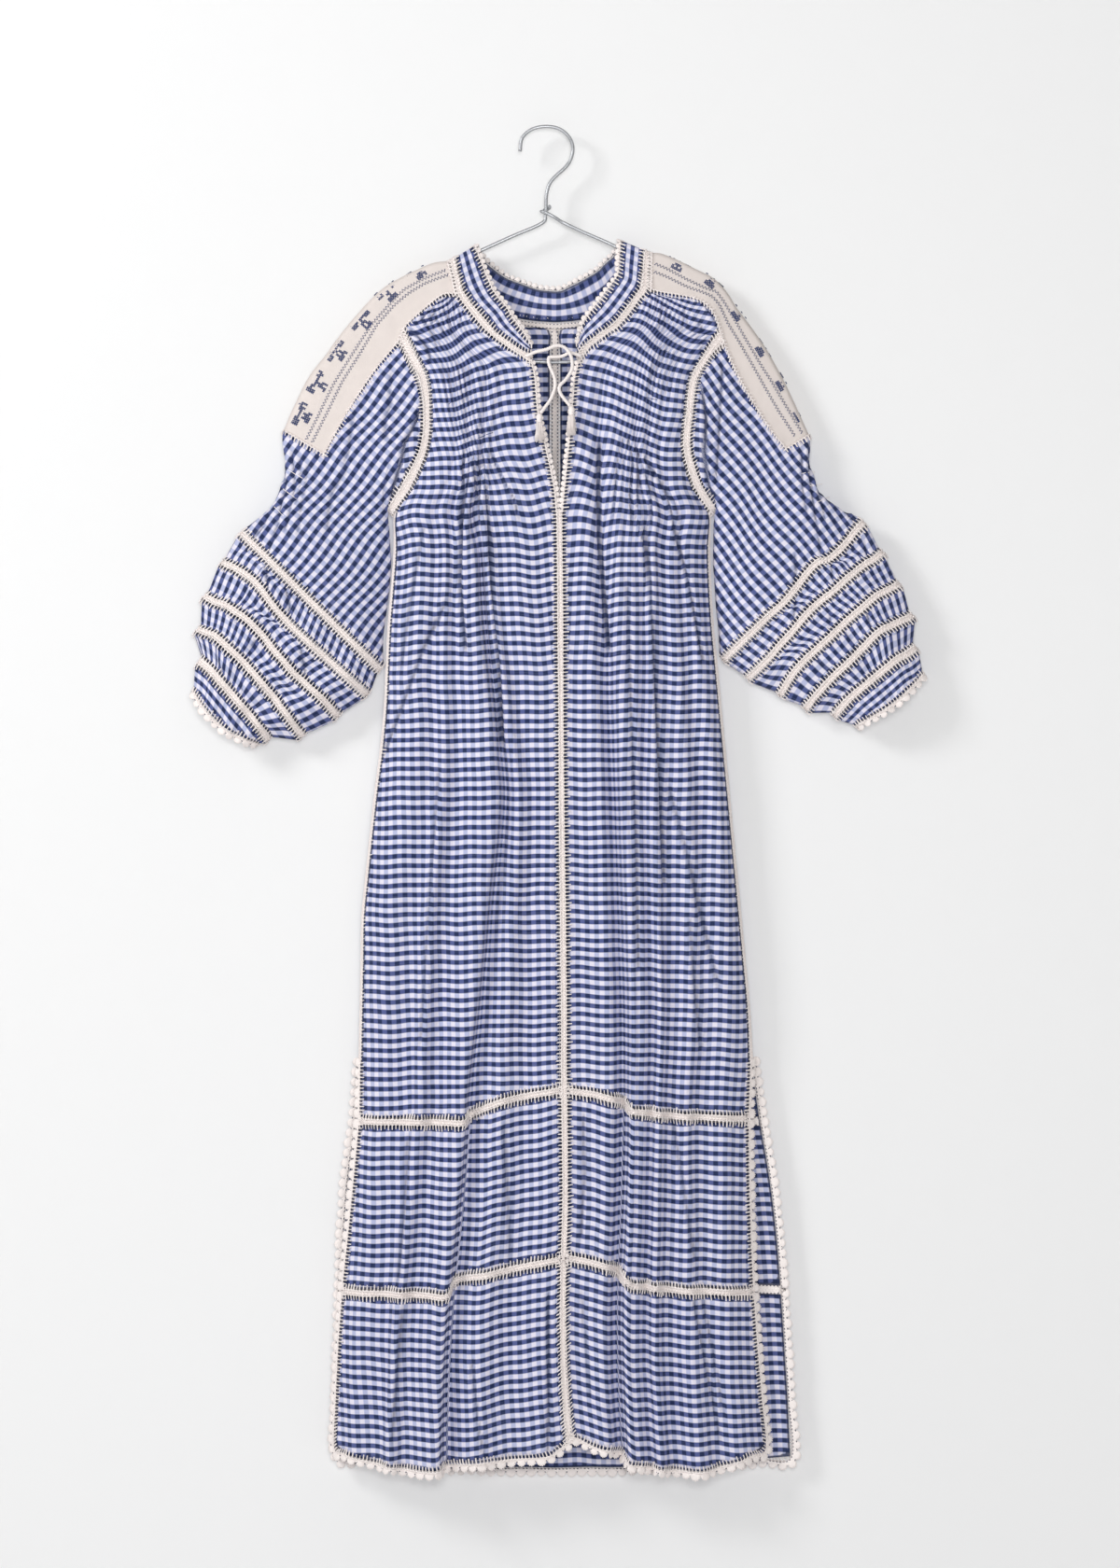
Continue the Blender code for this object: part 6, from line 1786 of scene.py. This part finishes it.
def fold_relief(drape, seed, amount):
    """Low uneven waves that run down the cloth, and faint ones across it."""
    x, z = drape.points[..., 0], drape.points[..., 2]
    down = wave(x / 9.0 + 0.35 * np.sin(z / 160.0), seed) * amount
    across = wave(z / 38.0 + 0.02 * x, seed + 1) * amount * 0.25
    return (down + across) * drape.border_mask(14.0)


def tuck_relief(drape, side):
    """Pintucks over the bust and the gathers that spring from them."""
    x, z = drape.points[..., 0], drape.points[..., 2]
    tucks = sorted(TUCKS[side])
    levels = [row[0] for row in tucks]
    middle, reach = (np.interp(z, levels, [row[column] for row in tucks]) for column in (1, 2))
    near = np.exp(-((x - middle) / reach) ** 2 * 0.9)
    pitch = np.interp(z, (-620, -440, -374, -195), (22.0, 11.0, 5.2, 6.5))
    ridge = np.cos((x - middle) / pitch * 2 * math.pi + 0.4 * np.sin(z / 23.0))
    depth = np.interp(z, (-620, -440, -374, -300, -195), (0.0, 1.6, 1.1, 0.8, 1.5))
    return ridge * near * depth * drape.border_mask(6.0)


class DressPiece:
    """What all the operators share."""
    bl_options = {"REGISTER", "UNDO"}


class DRESS_OT_drape(DressPiece, bpy.types.Operator):
    """Work out how the cloth hangs, and make the materials"""
    bl_idname = "dress.drape"
    bl_label = "Drape"

    def execute(self, context):
        drape_body()
        drape_strips()
        drape_borders()
        drape_neck()
        for side in ("left", "right"):
            drape_sleeve(side)
            drape_shoulder_band(side)
        make_materials(context.scene.dress.colours)
        return {"FINISHED"}


class DRESS_OT_body(DressPiece, bpy.types.Operator):
    """Make the gingham panels and bands of the front and the back"""
    bl_idname = "dress.body"
    bl_label = "Body"

    def execute(self, context):
        for seed, side in enumerate(("left", "right")):
            drape = Drape(*panels["front_" + side], row_step=7.4, column_step=2.8)
            hang_panel("front_" + side, drape, side, True, FRONT_CREASES[side], seed, 0.6)
            for tier in ("upper", "lower"):
                name = "front_tier_" + tier + "_" + side
                drape = Drape(*panels[name], row_step=9.0, column_step=3.4)
                hang_panel(name, drape, side, True, SKIRT_CREASES[side], seed + 10, 0.6, tier=True)
            drape = Drape(*panels["back_" + side], row_step=11.0, column_step=6.0)
            hang_panel("back_" + side, drape, side, False, (), seed + 20, 0.9)
        for seed, tier in enumerate(("upper", "lower")):
            name = "back_tier_" + tier
            drape = Drape(*panels[name], row_step=11.0, column_step=6.0)
            hang_panel(name, drape, "left", False, (), seed + 30, 0.9, tier=True)
        for side in ("left", "right"):
            for number, line in enumerate(TUCK_THREADS[side]):
                lay_thread("tuck_thread_" + side + "_" + str(number), "front_" + side, line, 0.4, "blue_thread")
        return {"FINISHED"}


def hang_panel(name, drape, side, front, creases, seed, ripple, tier=False):
    """One panel of the body, with its creases pressed in."""
    plain = drape.copy()
    drape.raise_by(fold_relief(drape, seed, ripple) + (tuck_relief(drape, side) if creases and not tier else 0.0))
    creased = drape.crease(creases)
    kept[name] = drape
    uv = panel_fabric(plain, side, front, creased * (0.2 if tier else 0.4), tier)
    body = add_cloth(name + "_cloth", drape, uv, "gingham_cloth", creased=creased)
    finished(body, [name])


def on_front(drape, spots, lift):
    """Flat places (X, Z) put on the front of a drape, with their normals."""
    points, normals = drape.points.reshape(-1, 3), drape.normals.reshape(-1, 3)
    front = normals[:, 1] < 0.35
    points, normals = points[front], normals[front]
    made, facings = [], []
    for x, z in spots:
        gap = np.hypot(points[:, 0] - x, points[:, 2] - z)
        nearest = np.argsort(gap)[:4]
        weight = 1.0 / (gap[nearest] + 0.05)
        weight /= weight.sum()
        facing = unit(weight @ normals[nearest])
        level = weight @ points[nearest]
        # Slide along the surface from the mean of the nearest points to the wanted place
        slide = ((x - level[0]) * facing[0] + (z - level[2]) * facing[2]) / min(facing[1], -0.25)
        y = level[1] - min(max(slide, -2.5), 2.5)
        made.append(np.array((x, y, z)) + facing * lift)
        facings.append(facing)
    return np.array(made), np.array(facings)


def even_line(line, step):
    """Points at even steps along a drawn line."""
    line = np.array(line, float)
    distance = running(np.linalg.norm(np.diff(line, axis=0), axis=1))
    even = np.linspace(0, distance[-1], max(2, int(round(distance[-1] / step)) + 1))
    return np.stack([np.interp(even, distance, line[:, axis]) for axis in range(line.shape[1])], axis=1)


def lay_thread(name, on, line, radius, material, swing=0.0, step=2.2):
    """A thread laid on the cloth along a drawn line, straight or in a zigzag."""
    spots = even_line(line, step)
    if swing:
        way = unit(np.gradient(spots, axis=0))
        sideways = np.stack([-way[:, 1], way[:, 0]], axis=1)
        spots = spots + sideways * np.where(np.arange(len(spots)) % 2, swing, -swing)[:, None]
    points, _ = on_front(kept[on], spots, CLOTH_THICKNESS / 2 + radius * 0.4)
    piece = tube(name, points, radius, material, 5)
    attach(piece, "root")
    return piece


class DRESS_OT_sleeves(DressPiece, bpy.types.Operator):
    """Make the sleeves, their gathered bands and the cuffs"""
    bl_idname = "dress.sleeves"
    bl_label = "Sleeves"

    def execute(self, context):
        for seed, side in enumerate(("left", "right")):
            drape = Drape(*panels["sleeve_" + side], row_step=5.0, column_step=3.6, closed=True)
            band_end, around = panels["sleeve_band_end_" + side], 2 * FRONT_STATIONS
            x, z = drape.points[..., 0], drape.points[..., 2]
            drape.raise_by(wave(x / 8.0 + z / 60.0, seed + 40) * 0.6 * drape.border_mask(14.0))
            drape.drift(side)
            close_underarm(drape, side)
            plain = drape.copy()
            creased = drape.crease(SLEEVE_CREASES[side])
            kept["sleeve_" + side] = drape
            rows, columns = drape.rows, drape.columns
            body = add_cloth(
                "sleeve_" + side + "_cloth", drape, sleeve_fabric(plain, side, creased * 0.12), "gingham_cloth",
                creased=creased,
                skip=lambda row, column: rows[row] < band_end - 1e-6 and columns[column] >= around - 1 - 1e-6,
            )
            finished(body, ["sleeve_" + side])
            for number, line in enumerate(THREADS[side]):
                lay_thread("elbow_thread_" + side + "_" + str(number), "sleeve_" + side, line, 0.45, "ecru_thread")
            for number, letter in enumerate("abcde"):
                sleeve_band(side, seed, number, letter)
        return {"FINISHED"}


def close_underarm(drape, side):
    """Brings the inner edge of the sleeve close to the side of the body."""
    x, z = drape.points[..., 0], drape.points[..., 2]
    body = panels["front_" + side][0][:, 0]
    gap = np.abs(x - np.interp(-z, -body[:, 2], body[:, 0]))
    level = np.interp(z, (-602, -570, -450, -425), (0.0, 1.0, 1.0, 0.0))
    drape.points[..., 0] += UNDERARM_SHIFT * np.clip(1 - gap / 30.0, 0, 1) * level * (1 if side == "left" else -1)
    drape.refresh()


def sleeve_band(side, seed, number, letter):
    """A gathered band of the sleeve, or its cuff."""
    cuff = letter == "e"
    name = "cuff_" + side if cuff else "sleeve_tier_" + letter + "_" + side
    drape = Drape(*panels[name], row_step=3.4, column_step=2.6, closed=True)
    distance, down = drape.around(), drape.along()
    grid_around, grid_down = np.meshgrid(distance, down)
    gathered = np.interp(drape.columns, (0, 3, 6, 9, 13, 17), (1.0, 0.9, 0.5, 0.35, 0.8, 1.0))
    if cuff:
        ripple = wave(grid_around[:, :-1] / 6.0, seed) * 0.35
    else:
        fine = wave(grid_around[:, :-1] / 1.7, seed * 7 + number)
        broad = wave(grid_around[:, :-1] / 4.3 + grid_down[:, :-1] / 14.0, seed * 7 + number + 3)
        near_seam = 1.15 - 0.6 * drape.border_mask(9.0)
        ripple = (0.5 * fine * near_seam + 0.55 * broad) * gathered[None, :]
    drape.raise_by(ripple)
    drape.drift(side)
    if cuff:
        drape.bulge(side, np.linspace(0, 1, len(drape.rows)))
    creased = drape.crease(SLEEVE_CREASES[side])
    if cuff:
        deep = running(np.linalg.norm(np.diff(drape.points, axis=0), axis=2), 0)
        deep = np.concatenate([deep, deep[:, :1]], axis=1)
        start, count = CUFF_CHECKS[side]
        uv = np.stack([grid_around, deep * count + start], axis=2)
    else:
        steps = np.diff(distance) * np.interp(drape.columns, (0, 4, 7, 17), (1.25, 1.05, 0.82, 1.0))
        wound = running(steps)
        shift = np.concatenate([creased, creased[:, :1]], axis=1) * 0.1
        uv = np.stack([grid_down + number * 30.0, wound[None, :] + shift], axis=2)
    finished(add_cloth(name + "_cloth", drape, uv, "gingham_cloth", creased=creased), [name])


class DRESS_OT_neck(DressPiece, bpy.types.Operator):
    """Make the stand band of the neck"""
    bl_idname = "dress.neck"
    bl_label = "Neck band"

    def execute(self, context):
        drape = Drape(*panels["neck_band"], row_step=4.0, column_step=4.0)
        along, across = drape.around(), drape.along()
        uv = np.stack(np.meshgrid(along, across + 2.5), axis=2)
        finished(add_cloth("neck_band_cloth", drape, uv, "gingham_cloth"), ["neck_band"])
        return {"FINISHED"}


# The bow of three lobes, charted for cross stitch: along the band by row, and from the fold to the zigzag lines
BOW = (
    "##.......##",
    "####...####",
    "###########",
    "###..#..###",
    "....###....",
    "....###....",
    "...#####...",
    "...#####...",
)
BOW_STITCH = 2.5
BOW_PLACES = {
    "left": drawn((445, 285), (413, 309), (385, 341), (358, 374), (338, 408), (320, 442)),
    "right": drawn((730, 276), (767, 295), (797, 331), (823, 370), (845, 407), (864, 440)),
}
ZIGZAGS = {
    "left": (
        drawn(
            (477, 288), (454, 297), (432, 309), (415.5, 326), (397, 347), (377, 378), (357, 410), (342, 441),
            (327.5, 470)),
        drawn(
            (480, 293), (455, 302), (437, 313), (421.6, 326), (403, 347), (385, 378), (366.5, 407), (350, 441),
            (334, 473)),
    ),
    "right": (
        drawn(
            (702, 281), (716, 287), (736, 298), (754, 306.6), (768, 311), (776, 322), (788, 342), (800, 363),
            (817, 392), (828, 409), (841.5, 432), (860, 463)),
        drawn(
            (701, 290), (714.5, 295), (736, 306), (751, 311), (763, 316), (771, 325), (780, 345), (791, 363),
            (806, 389), (820, 414), (835, 440), (852, 466)),
    ),
}


class DRESS_OT_shoulder_bands(DressPiece, bpy.types.Operator):
    """Make the cream shoulder bands with their cross stitch"""
    bl_idname = "dress.shoulder_bands"
    bl_label = "Shoulder bands"

    def execute(self, context):
        for side in ("left", "right"):
            name = "shoulder_band_" + side
            drape = Drape(*panels[name], row_step=5.0, column_step=3.0)
            ripple = wave(drape.points[..., 0] / 9.0 + drape.points[..., 2] / 13.0, 60) * 0.35
            drape.raise_by(ripple * drape.border_mask(10.0))
            kept[name] = drape
            along, across = drape.along(), drape.around()
            uv = np.stack(np.meshgrid(across, along), axis=2)
            finished(add_cloth(name + "_cloth", drape, uv, "plain_cotton"), [name])
            for number, line in enumerate(ZIGZAGS[side]):
                lay_thread("zigzag_" + side + "_" + str(number), name, line, 0.5, "blue_thread", swing=1.6, step=1.9)
            band_bows(side, drape)
            for number, (line, facing, within) in enumerate((
                (drape.points[0], drape.normals[0], drape.points[1]),
                (drape.points[-1], drape.normals[-1], drape.points[-2]),
                (drape.points[:, 0], drape.normals[:, 0], drape.points[:, 1]),
                (drape.points[:, -1], drape.normals[:, -1], drape.points[:, -2]),
            )):
                grow(
                    "band_edge_" + side + "_" + str(number), "edge_stitches", "cream_cotton",
                    [line + facing * 0.3], facing, unit(line - within), Seed=number, Leg_Length=0.0042,
                )
        return {"FINISHED"}


def band_bows(side, drape):
    """A row of cross-stitched bows along the fold of a shoulder band."""
    places = np.array(BOW_PLACES[side])
    ways = unit(np.gradient(places, axis=0))
    points = drape.points.reshape(-1, 3)
    spots, overs = [], []
    for place, way in zip(places, ways):
        over = np.array((way[1], -way[0]))
        over = over if over[1] < 0 else -over
        for row, text in enumerate(BOW):
            for cell, mark in enumerate(text):
                spot = place + way * (cell - 5) * BOW_STITCH + over * (row - 2) * BOW_STITCH
                gap = np.hypot(points[:, 0] - spot[0], points[:, 2] - spot[1]).min()
                if mark == "#" and gap < 1.9:
                    spots.append(spot)
                    overs.append((way[0], 0.0, way[1]))
    made, facings = on_front(drape, spots, CLOTH_THICKNESS / 2 + 0.1)
    grow("shoulder_bows_" + side, "cross_stitches", "cream_cotton", [made], facings, np.array(overs), "blue_thread")


def frames_along(path):
    """Two directions square to a path at each of its points, carried on without twisting."""
    path = np.asarray(path, float)
    tangents = unit(np.gradient(path, axis=0))
    side = unit(np.cross(tangents[0], (0.3, 0.2, 0.9)))
    sides = []
    for tangent in tangents:
        side = unit(side - tangent * np.dot(side, tangent))
        sides.append(side)
    sides = np.array(sides)
    return sides, np.cross(tangents, sides)


def ring_faces(rows, sides, start=0):
    """Quads between rings of points that follow each other."""
    return [
        (
            start + row * sides + corner, start + row * sides + (corner + 1) % sides,
            start + (row + 1) * sides + (corner + 1) % sides, start + (row + 1) * sides + corner,
        )
        for row in range(rows - 1) for corner in range(sides)
    ]


def tube(name, path, radius, material, sides=8, radii=None):
    """A closed tube along a path, with UV along and round it."""
    path = np.asarray(path, float)
    one, two = frames_along(path)
    turns = np.arange(sides) * 2 * math.pi / sides
    radii = np.full(len(path), radius) if radii is None else radii
    rings = path[:, None] + radii[:, None, None] * (
        one[:, None] * np.cos(turns)[None, :, None] + two[:, None] * np.sin(turns)[None, :, None])
    points = rings.reshape(-1, 3)
    faces, uv = ring_faces(len(path), sides), []
    distance = running(np.linalg.norm(np.diff(path, axis=0), axis=1))
    girth = 2 * math.pi * radius / sides
    for near, far in zip(distance, distance[1:]):
        for column in range(sides):
            one_side, other_side = column * girth, (column + 1) * girth
            uv.extend(((near, one_side), (near, other_side), (far, other_side), (far, one_side)))
    corner = points[list(faces[0])]
    if np.dot(np.cross(corner[1] - corner[0], corner[2] - corner[1]), corner[0] - path[0]) < 0:
        faces = [face[::-1] for face in faces]
        uv = [pair for start in range(0, len(uv), 4) for pair in uv[start:start + 4][::-1]]
        first, last = tuple(range(sides)), tuple(reversed(range(len(points) - sides, len(points))))
    else:
        first, last = tuple(reversed(range(sides))), tuple(range(len(points) - sides, len(points)))
    faces.extend([first, last])
    uv.extend([(0.0, 0.0)] * (2 * sides))
    return add_body(name, points, faces, material, uv, len(faces) - 2)


def tie_route(side):
    """Route of a tie from its seat at the neck slit down to its tassel."""
    points = strips["neck_insertion"][0]
    lower = unit(points[1] - points[0])
    seated = np.stack([points[0] + lower * SEAM_GAP, points[1] - lower * SEAM_GAP])
    end, following = (0, 1) if side == "left" else (-1, -2)
    share = TIE_ROOT_SHARE[side]
    seat = seated[:, end].mean(axis=0) * (1 - share) + seated[:, following].mean(axis=0) * share
    across, along = seated[1, end] - seated[0, end], seated[0, following] - seated[0, end]
    normal = unit(np.cross(across, along))
    normal = normal * (-1.0 if normal[1] > 0 else 1.0)
    root = seat + normal * (WALL / 2 + SEAM_GAP)
    route = smooth_path((tuple(root + normal * TIE_LEAD),) + TIE_PATHS[side], TIE_POINTS[side])
    return np.concatenate([[root], route])


def tassel_piece(side):
    """A wound head and a skirt of loose strands."""
    place = np.array(TASSELS[side])
    random = np.random.default_rng(5 if side == "left" else 6)
    points = []
    for radius, height in TASSEL_HEAD:
        for number in range(TASSEL_SIDES):
            turn = 2 * math.pi * number / TASSEL_SIDES
            rough = radius * (1 + 0.05 * math.sin(number * 5.1 + height * 3))
            points.append(place + np.array((rough * math.cos(turn), rough * math.sin(turn), height)))
    faces = [(two, one, four, three) for one, two, three, four in ring_faces(len(TASSEL_HEAD), TASSEL_SIDES)]
    for _ in range(TASSEL_STRANDS):
        turn, reach = random.uniform(0, 2 * math.pi), math.sqrt(random.uniform(0.02, 1.0))
        length, spread = random.uniform(18.0, 24.5), random.uniform(0.9, 3.0)
        away = np.array((math.cos(turn), math.sin(turn), 0.0))
        start = place + away * 2.9 * reach + np.array((0, 0, -7.8))
        bend = random.normal(0, 0.7, 3)
        path = [
            start + away * spread * share ** 1.4 + bend * share * (1 - share) * 2 + np.array((0, 0, -length * share))
            for share in np.linspace(0, 1, 6)
        ]
        base = len(points)
        for number, (point, one, two) in enumerate(zip(path, *frames_along(path))):
            size = 0.5 * (1 - 0.3 * number / 5)
            for corner in range(3):
                angle = 2 * math.pi * corner / 3
                points.append(point + one * size * math.cos(angle) + two * size * math.sin(angle))
        faces.extend(ring_faces(len(path), 3, base))
        faces.extend(((base + 2, base + 1, base), (base + 15, base + 16, base + 17)))
    return add_body("tassel_strands_" + side, points, faces, "ecru_thread")


class DRESS_OT_crochet(DressPiece, bpy.types.Operator):
    """Make the crochet insertions and the scalloped edgings"""
    bl_idname = "dress.crochet"
    bl_label = "Crochet"

    def execute(self, context):
        for name in sorted(strips):
            strip_piece(name, [name])
        for name, (path, normals) in borders.items():
            turn = hem_turn(path, normals)
            way = mitre(path, normals, turn)
            border_piece(name, path, normals, way)
        for side in ("left", "right"):
            points, normals = panels["cuff_edging_" + side]
            way = unit(points[1] - points[0])
            border_piece("cuff_edging_" + side, points[0], normals[0], way, True, side)
        points, normals = panels["neck_edging"]
        way = unit(points[1] - points[0])
        border_piece("neck_edging", points[0], normals[0], way)
        slit_piece()
        return {"FINISHED"}


def slit_piece():
    """Edging down both sides of the neck slit."""
    sides = {"left": [], "right": []}
    for height, width in SLIT_EDGING:
        left, left_normal = edge_of("front_left", FRONT_TOP_ROWS["left"].index(height), -1)
        right, right_normal = edge_of("front_right", FRONT_TOP_ROWS["right"].index(height), -1)
        across = unit(right - left)
        sides["left"].append((left, left_normal, across, width))
        sides["right"].append((right, right_normal, -across, width))
    for side, rows in sides.items():
        edge, normals, way = (np.array([row[number] for row in rows]) for number in range(3))
        border_piece("slit_edging_" + side, edge, normals, way)


class DRESS_OT_cuts(DressPiece, bpy.types.Operator):
    """An empty step that makes nothing"""
    bl_idname = "dress.cuts"
    bl_label = "Cuts"

    def execute(self, context):
        return {"FINISHED"}


class DRESS_OT_ties(DressPiece, bpy.types.Operator):
    """Make the two crocheted neck ties with their tassels"""
    bl_idname = "dress.ties"
    bl_label = "Ties"

    def execute(self, context):
        for side, other in (("left", "right"), ("right", "left")):
            route = tie_route(side)
            fine = spline_weights(len(route), np.linspace(0, len(route) - 1, 4 * len(route))) @ route
            distance = running(np.linalg.norm(np.diff(fine, axis=0), axis=1))
            plump = TIE_SHOWN_RADIUS * (1.0 + 0.16 * np.sin(distance / 2.8 * 2 * math.pi))
            cord = tube("tie_cord_" + side, fine, TIE_SHOWN_RADIUS, "ecru_thread", 10, plump)
            finished(cord, ["tie_" + side])
            tassel = finished(tassel_piece(other), ["tassel_" + other])
        return {"FINISHED"}


class DRESS_OT_hanger(DressPiece, bpy.types.Operator):
    """Make the bent wire hanger"""
    bl_idname = "dress.hanger"
    bl_label = "Hanger"

    def execute(self, context):
        flat = HOOK_PATH + LEFT_ARM + LEFT_END + BOTTOM_BAR + RIGHT_END + RIGHT_ARM
        route = [(x, 0.0, z) for x, z in flat]
        route.append(TURN_LEAD)
        for step in range(TURN_STEPS):
            angle = math.radians(TURN_START + TURN_SWEEP * step / (TURN_STEPS - 1))
            climb = TURN_CLIMB * step / (TURN_STEPS - 1)
            route.append((TURN_X + TURN_RADIUS * math.cos(angle), TURN_RADIUS * math.sin(angle), TURN_Z + climb))
        wire = tube("hanger_wire", smooth_path(route, 480), WIRE_RADIUS, "steel_wire", 10)
        finished(wire, ["hanger"])
        return {"FINISHED"}


def dull(name, colour):
    """The nodes and the shader of a new plain material."""
    made = bpy.data.materials.new(name)
    made.use_nodes = True
    n = Nodes(made.node_tree)
    return n, n.feed(made.node_tree.nodes["Principled BSDF"], Base_Color=rgba(colour), Roughness=0.9)


class DRESS_OT_stage(DressPiece, bpy.types.Operator):
    """Make the floor, the wall, the lights and the camera"""
    bl_idname = "dress.stage"
    bl_label = "Stage"

    def execute(self, context):
        sizes, colours = context.scene.dress.sizes, context.scene.dress.colours
        dull("pale_stage", colours.wall)
        floor = add_body(
            "floor", [(x * FLOOR_REACH, y * FLOOR_REACH, FLOOR_Z) for x, y in ((-1, -1), (1, -1), (1, 1), (-1, 1))],
            [(0, 1, 2, 3)], "pale_stage",
        )
        n, shader = dull("pale_wall", colours.wall)
        n.feed(shader, Emission_Color=(1.0, 1.0, 1.0, 1.0), Emission_Strength=0.08)
        # Clear from behind, so that the back of the dress shows
        behind = n.add("ShaderNodeNewGeometry").outputs["Backfacing"]
        clear, choose = n.add("ShaderNodeBsdfTransparent"), n.add("ShaderNodeMixShader")
        for socket, value in zip(choose.inputs, (behind, shader.outputs[0], clear.outputs[0])):
            n.link(socket, value)
        n.link(n.tree.nodes["Material Output"].inputs[0], choose.outputs[0])
        corners = ((-WALL_REACH, FLOOR_Z), (WALL_REACH, FLOOR_Z), (WALL_REACH, WALL_TOP), (-WALL_REACH, WALL_TOP))
        wall = add_body("wall", [(x, WALL_Y, z) for x, z in corners], [(0, 1, 2, 3)], "pale_wall")
        wall.visible_diffuse = wall.visible_glossy = wall.visible_shadow = False
        world = bpy.data.worlds.new("soft_room")
        world.use_nodes = True
        world.node_tree.nodes["Background"].inputs["Color"].default_value = (1.0, 1.0, 1.0, 1.0)
        world.node_tree.nodes["Background"].inputs["Strength"].default_value = 0.33
        context.scene.world = world
        for name, (place, size, power) in LIGHTS.items():
            light = bpy.data.lights.new(name, "AREA")
            light.size, light.energy = size, power
            lamp = bpy.data.objects.new(name, light)
            lamp.location = place
            lamp.rotation_euler = look_along(np.array(LIGHTS_AIM) - np.array(place))
            context.scene.collection.objects.link(lamp)
        camera = bpy.data.cameras.new("camera")
        camera.lens, camera.sensor_width = sizes.lens, 36.0
        camera.clip_end = 50.0
        eye = bpy.data.objects.new("camera", camera)
        distance = sizes.lens / camera.sensor_width * sizes.picture_height
        eye.location = (CAMERA_AIM[0], CAMERA_AIM[1] - distance, CAMERA_AIM[2])
        eye.rotation_euler = (math.pi / 2, 0.0, 0.0)
        context.scene.collection.objects.link(eye)
        context.scene.camera = eye
        context.scene.view_settings.view_transform = "Standard"
        return {"FINISHED"}


def look_along(way):
    """Euler turn that points -Z along a direction."""
    x, y, z = way
    return (math.pi / 2 + math.atan2(z, math.hypot(x, y)), 0.0, math.atan2(-x, y))


STEPS = (
    DRESS_OT_drape, DRESS_OT_ties, DRESS_OT_body, DRESS_OT_neck, DRESS_OT_sleeves, DRESS_OT_shoulder_bands,
    DRESS_OT_crochet, DRESS_OT_cuts, DRESS_OT_hanger, DRESS_OT_stage,
)


class DRESS_PT_panel(bpy.types.Panel):
    """Lists the steps that make the dress"""
    bl_idname = "DRESS_PT_panel"
    bl_label = "Gingham dress"
    bl_space_type = "VIEW_3D"
    bl_region_type = "UI"
    bl_category = "Dress"

    def draw(self, context):
        for step in STEPS:
            self.layout.operator(step.bl_idname)
        settings = context.scene.dress
        for group in (settings.sizes, settings.colours):
            for key in group.__annotations__:
                self.layout.prop(group, key)


CLASSES = (DressColours, DressSizes, DressSettings) + STEPS + (DRESS_PT_panel,)


def register():
    for made in CLASSES:
        bpy.utils.register_class(made)
    bpy.types.Scene.dress = bpy.props.PointerProperty(type=DressSettings)


def unregister():
    del bpy.types.Scene.dress
    for made in reversed(CLASSES):
        bpy.utils.unregister_class(made)


def main():
    register()
    for step in STEPS:
        group, name = step.bl_idname.split(".")
        getattr(getattr(bpy.ops, group), name)()


if __name__ == "__main__":
    main()
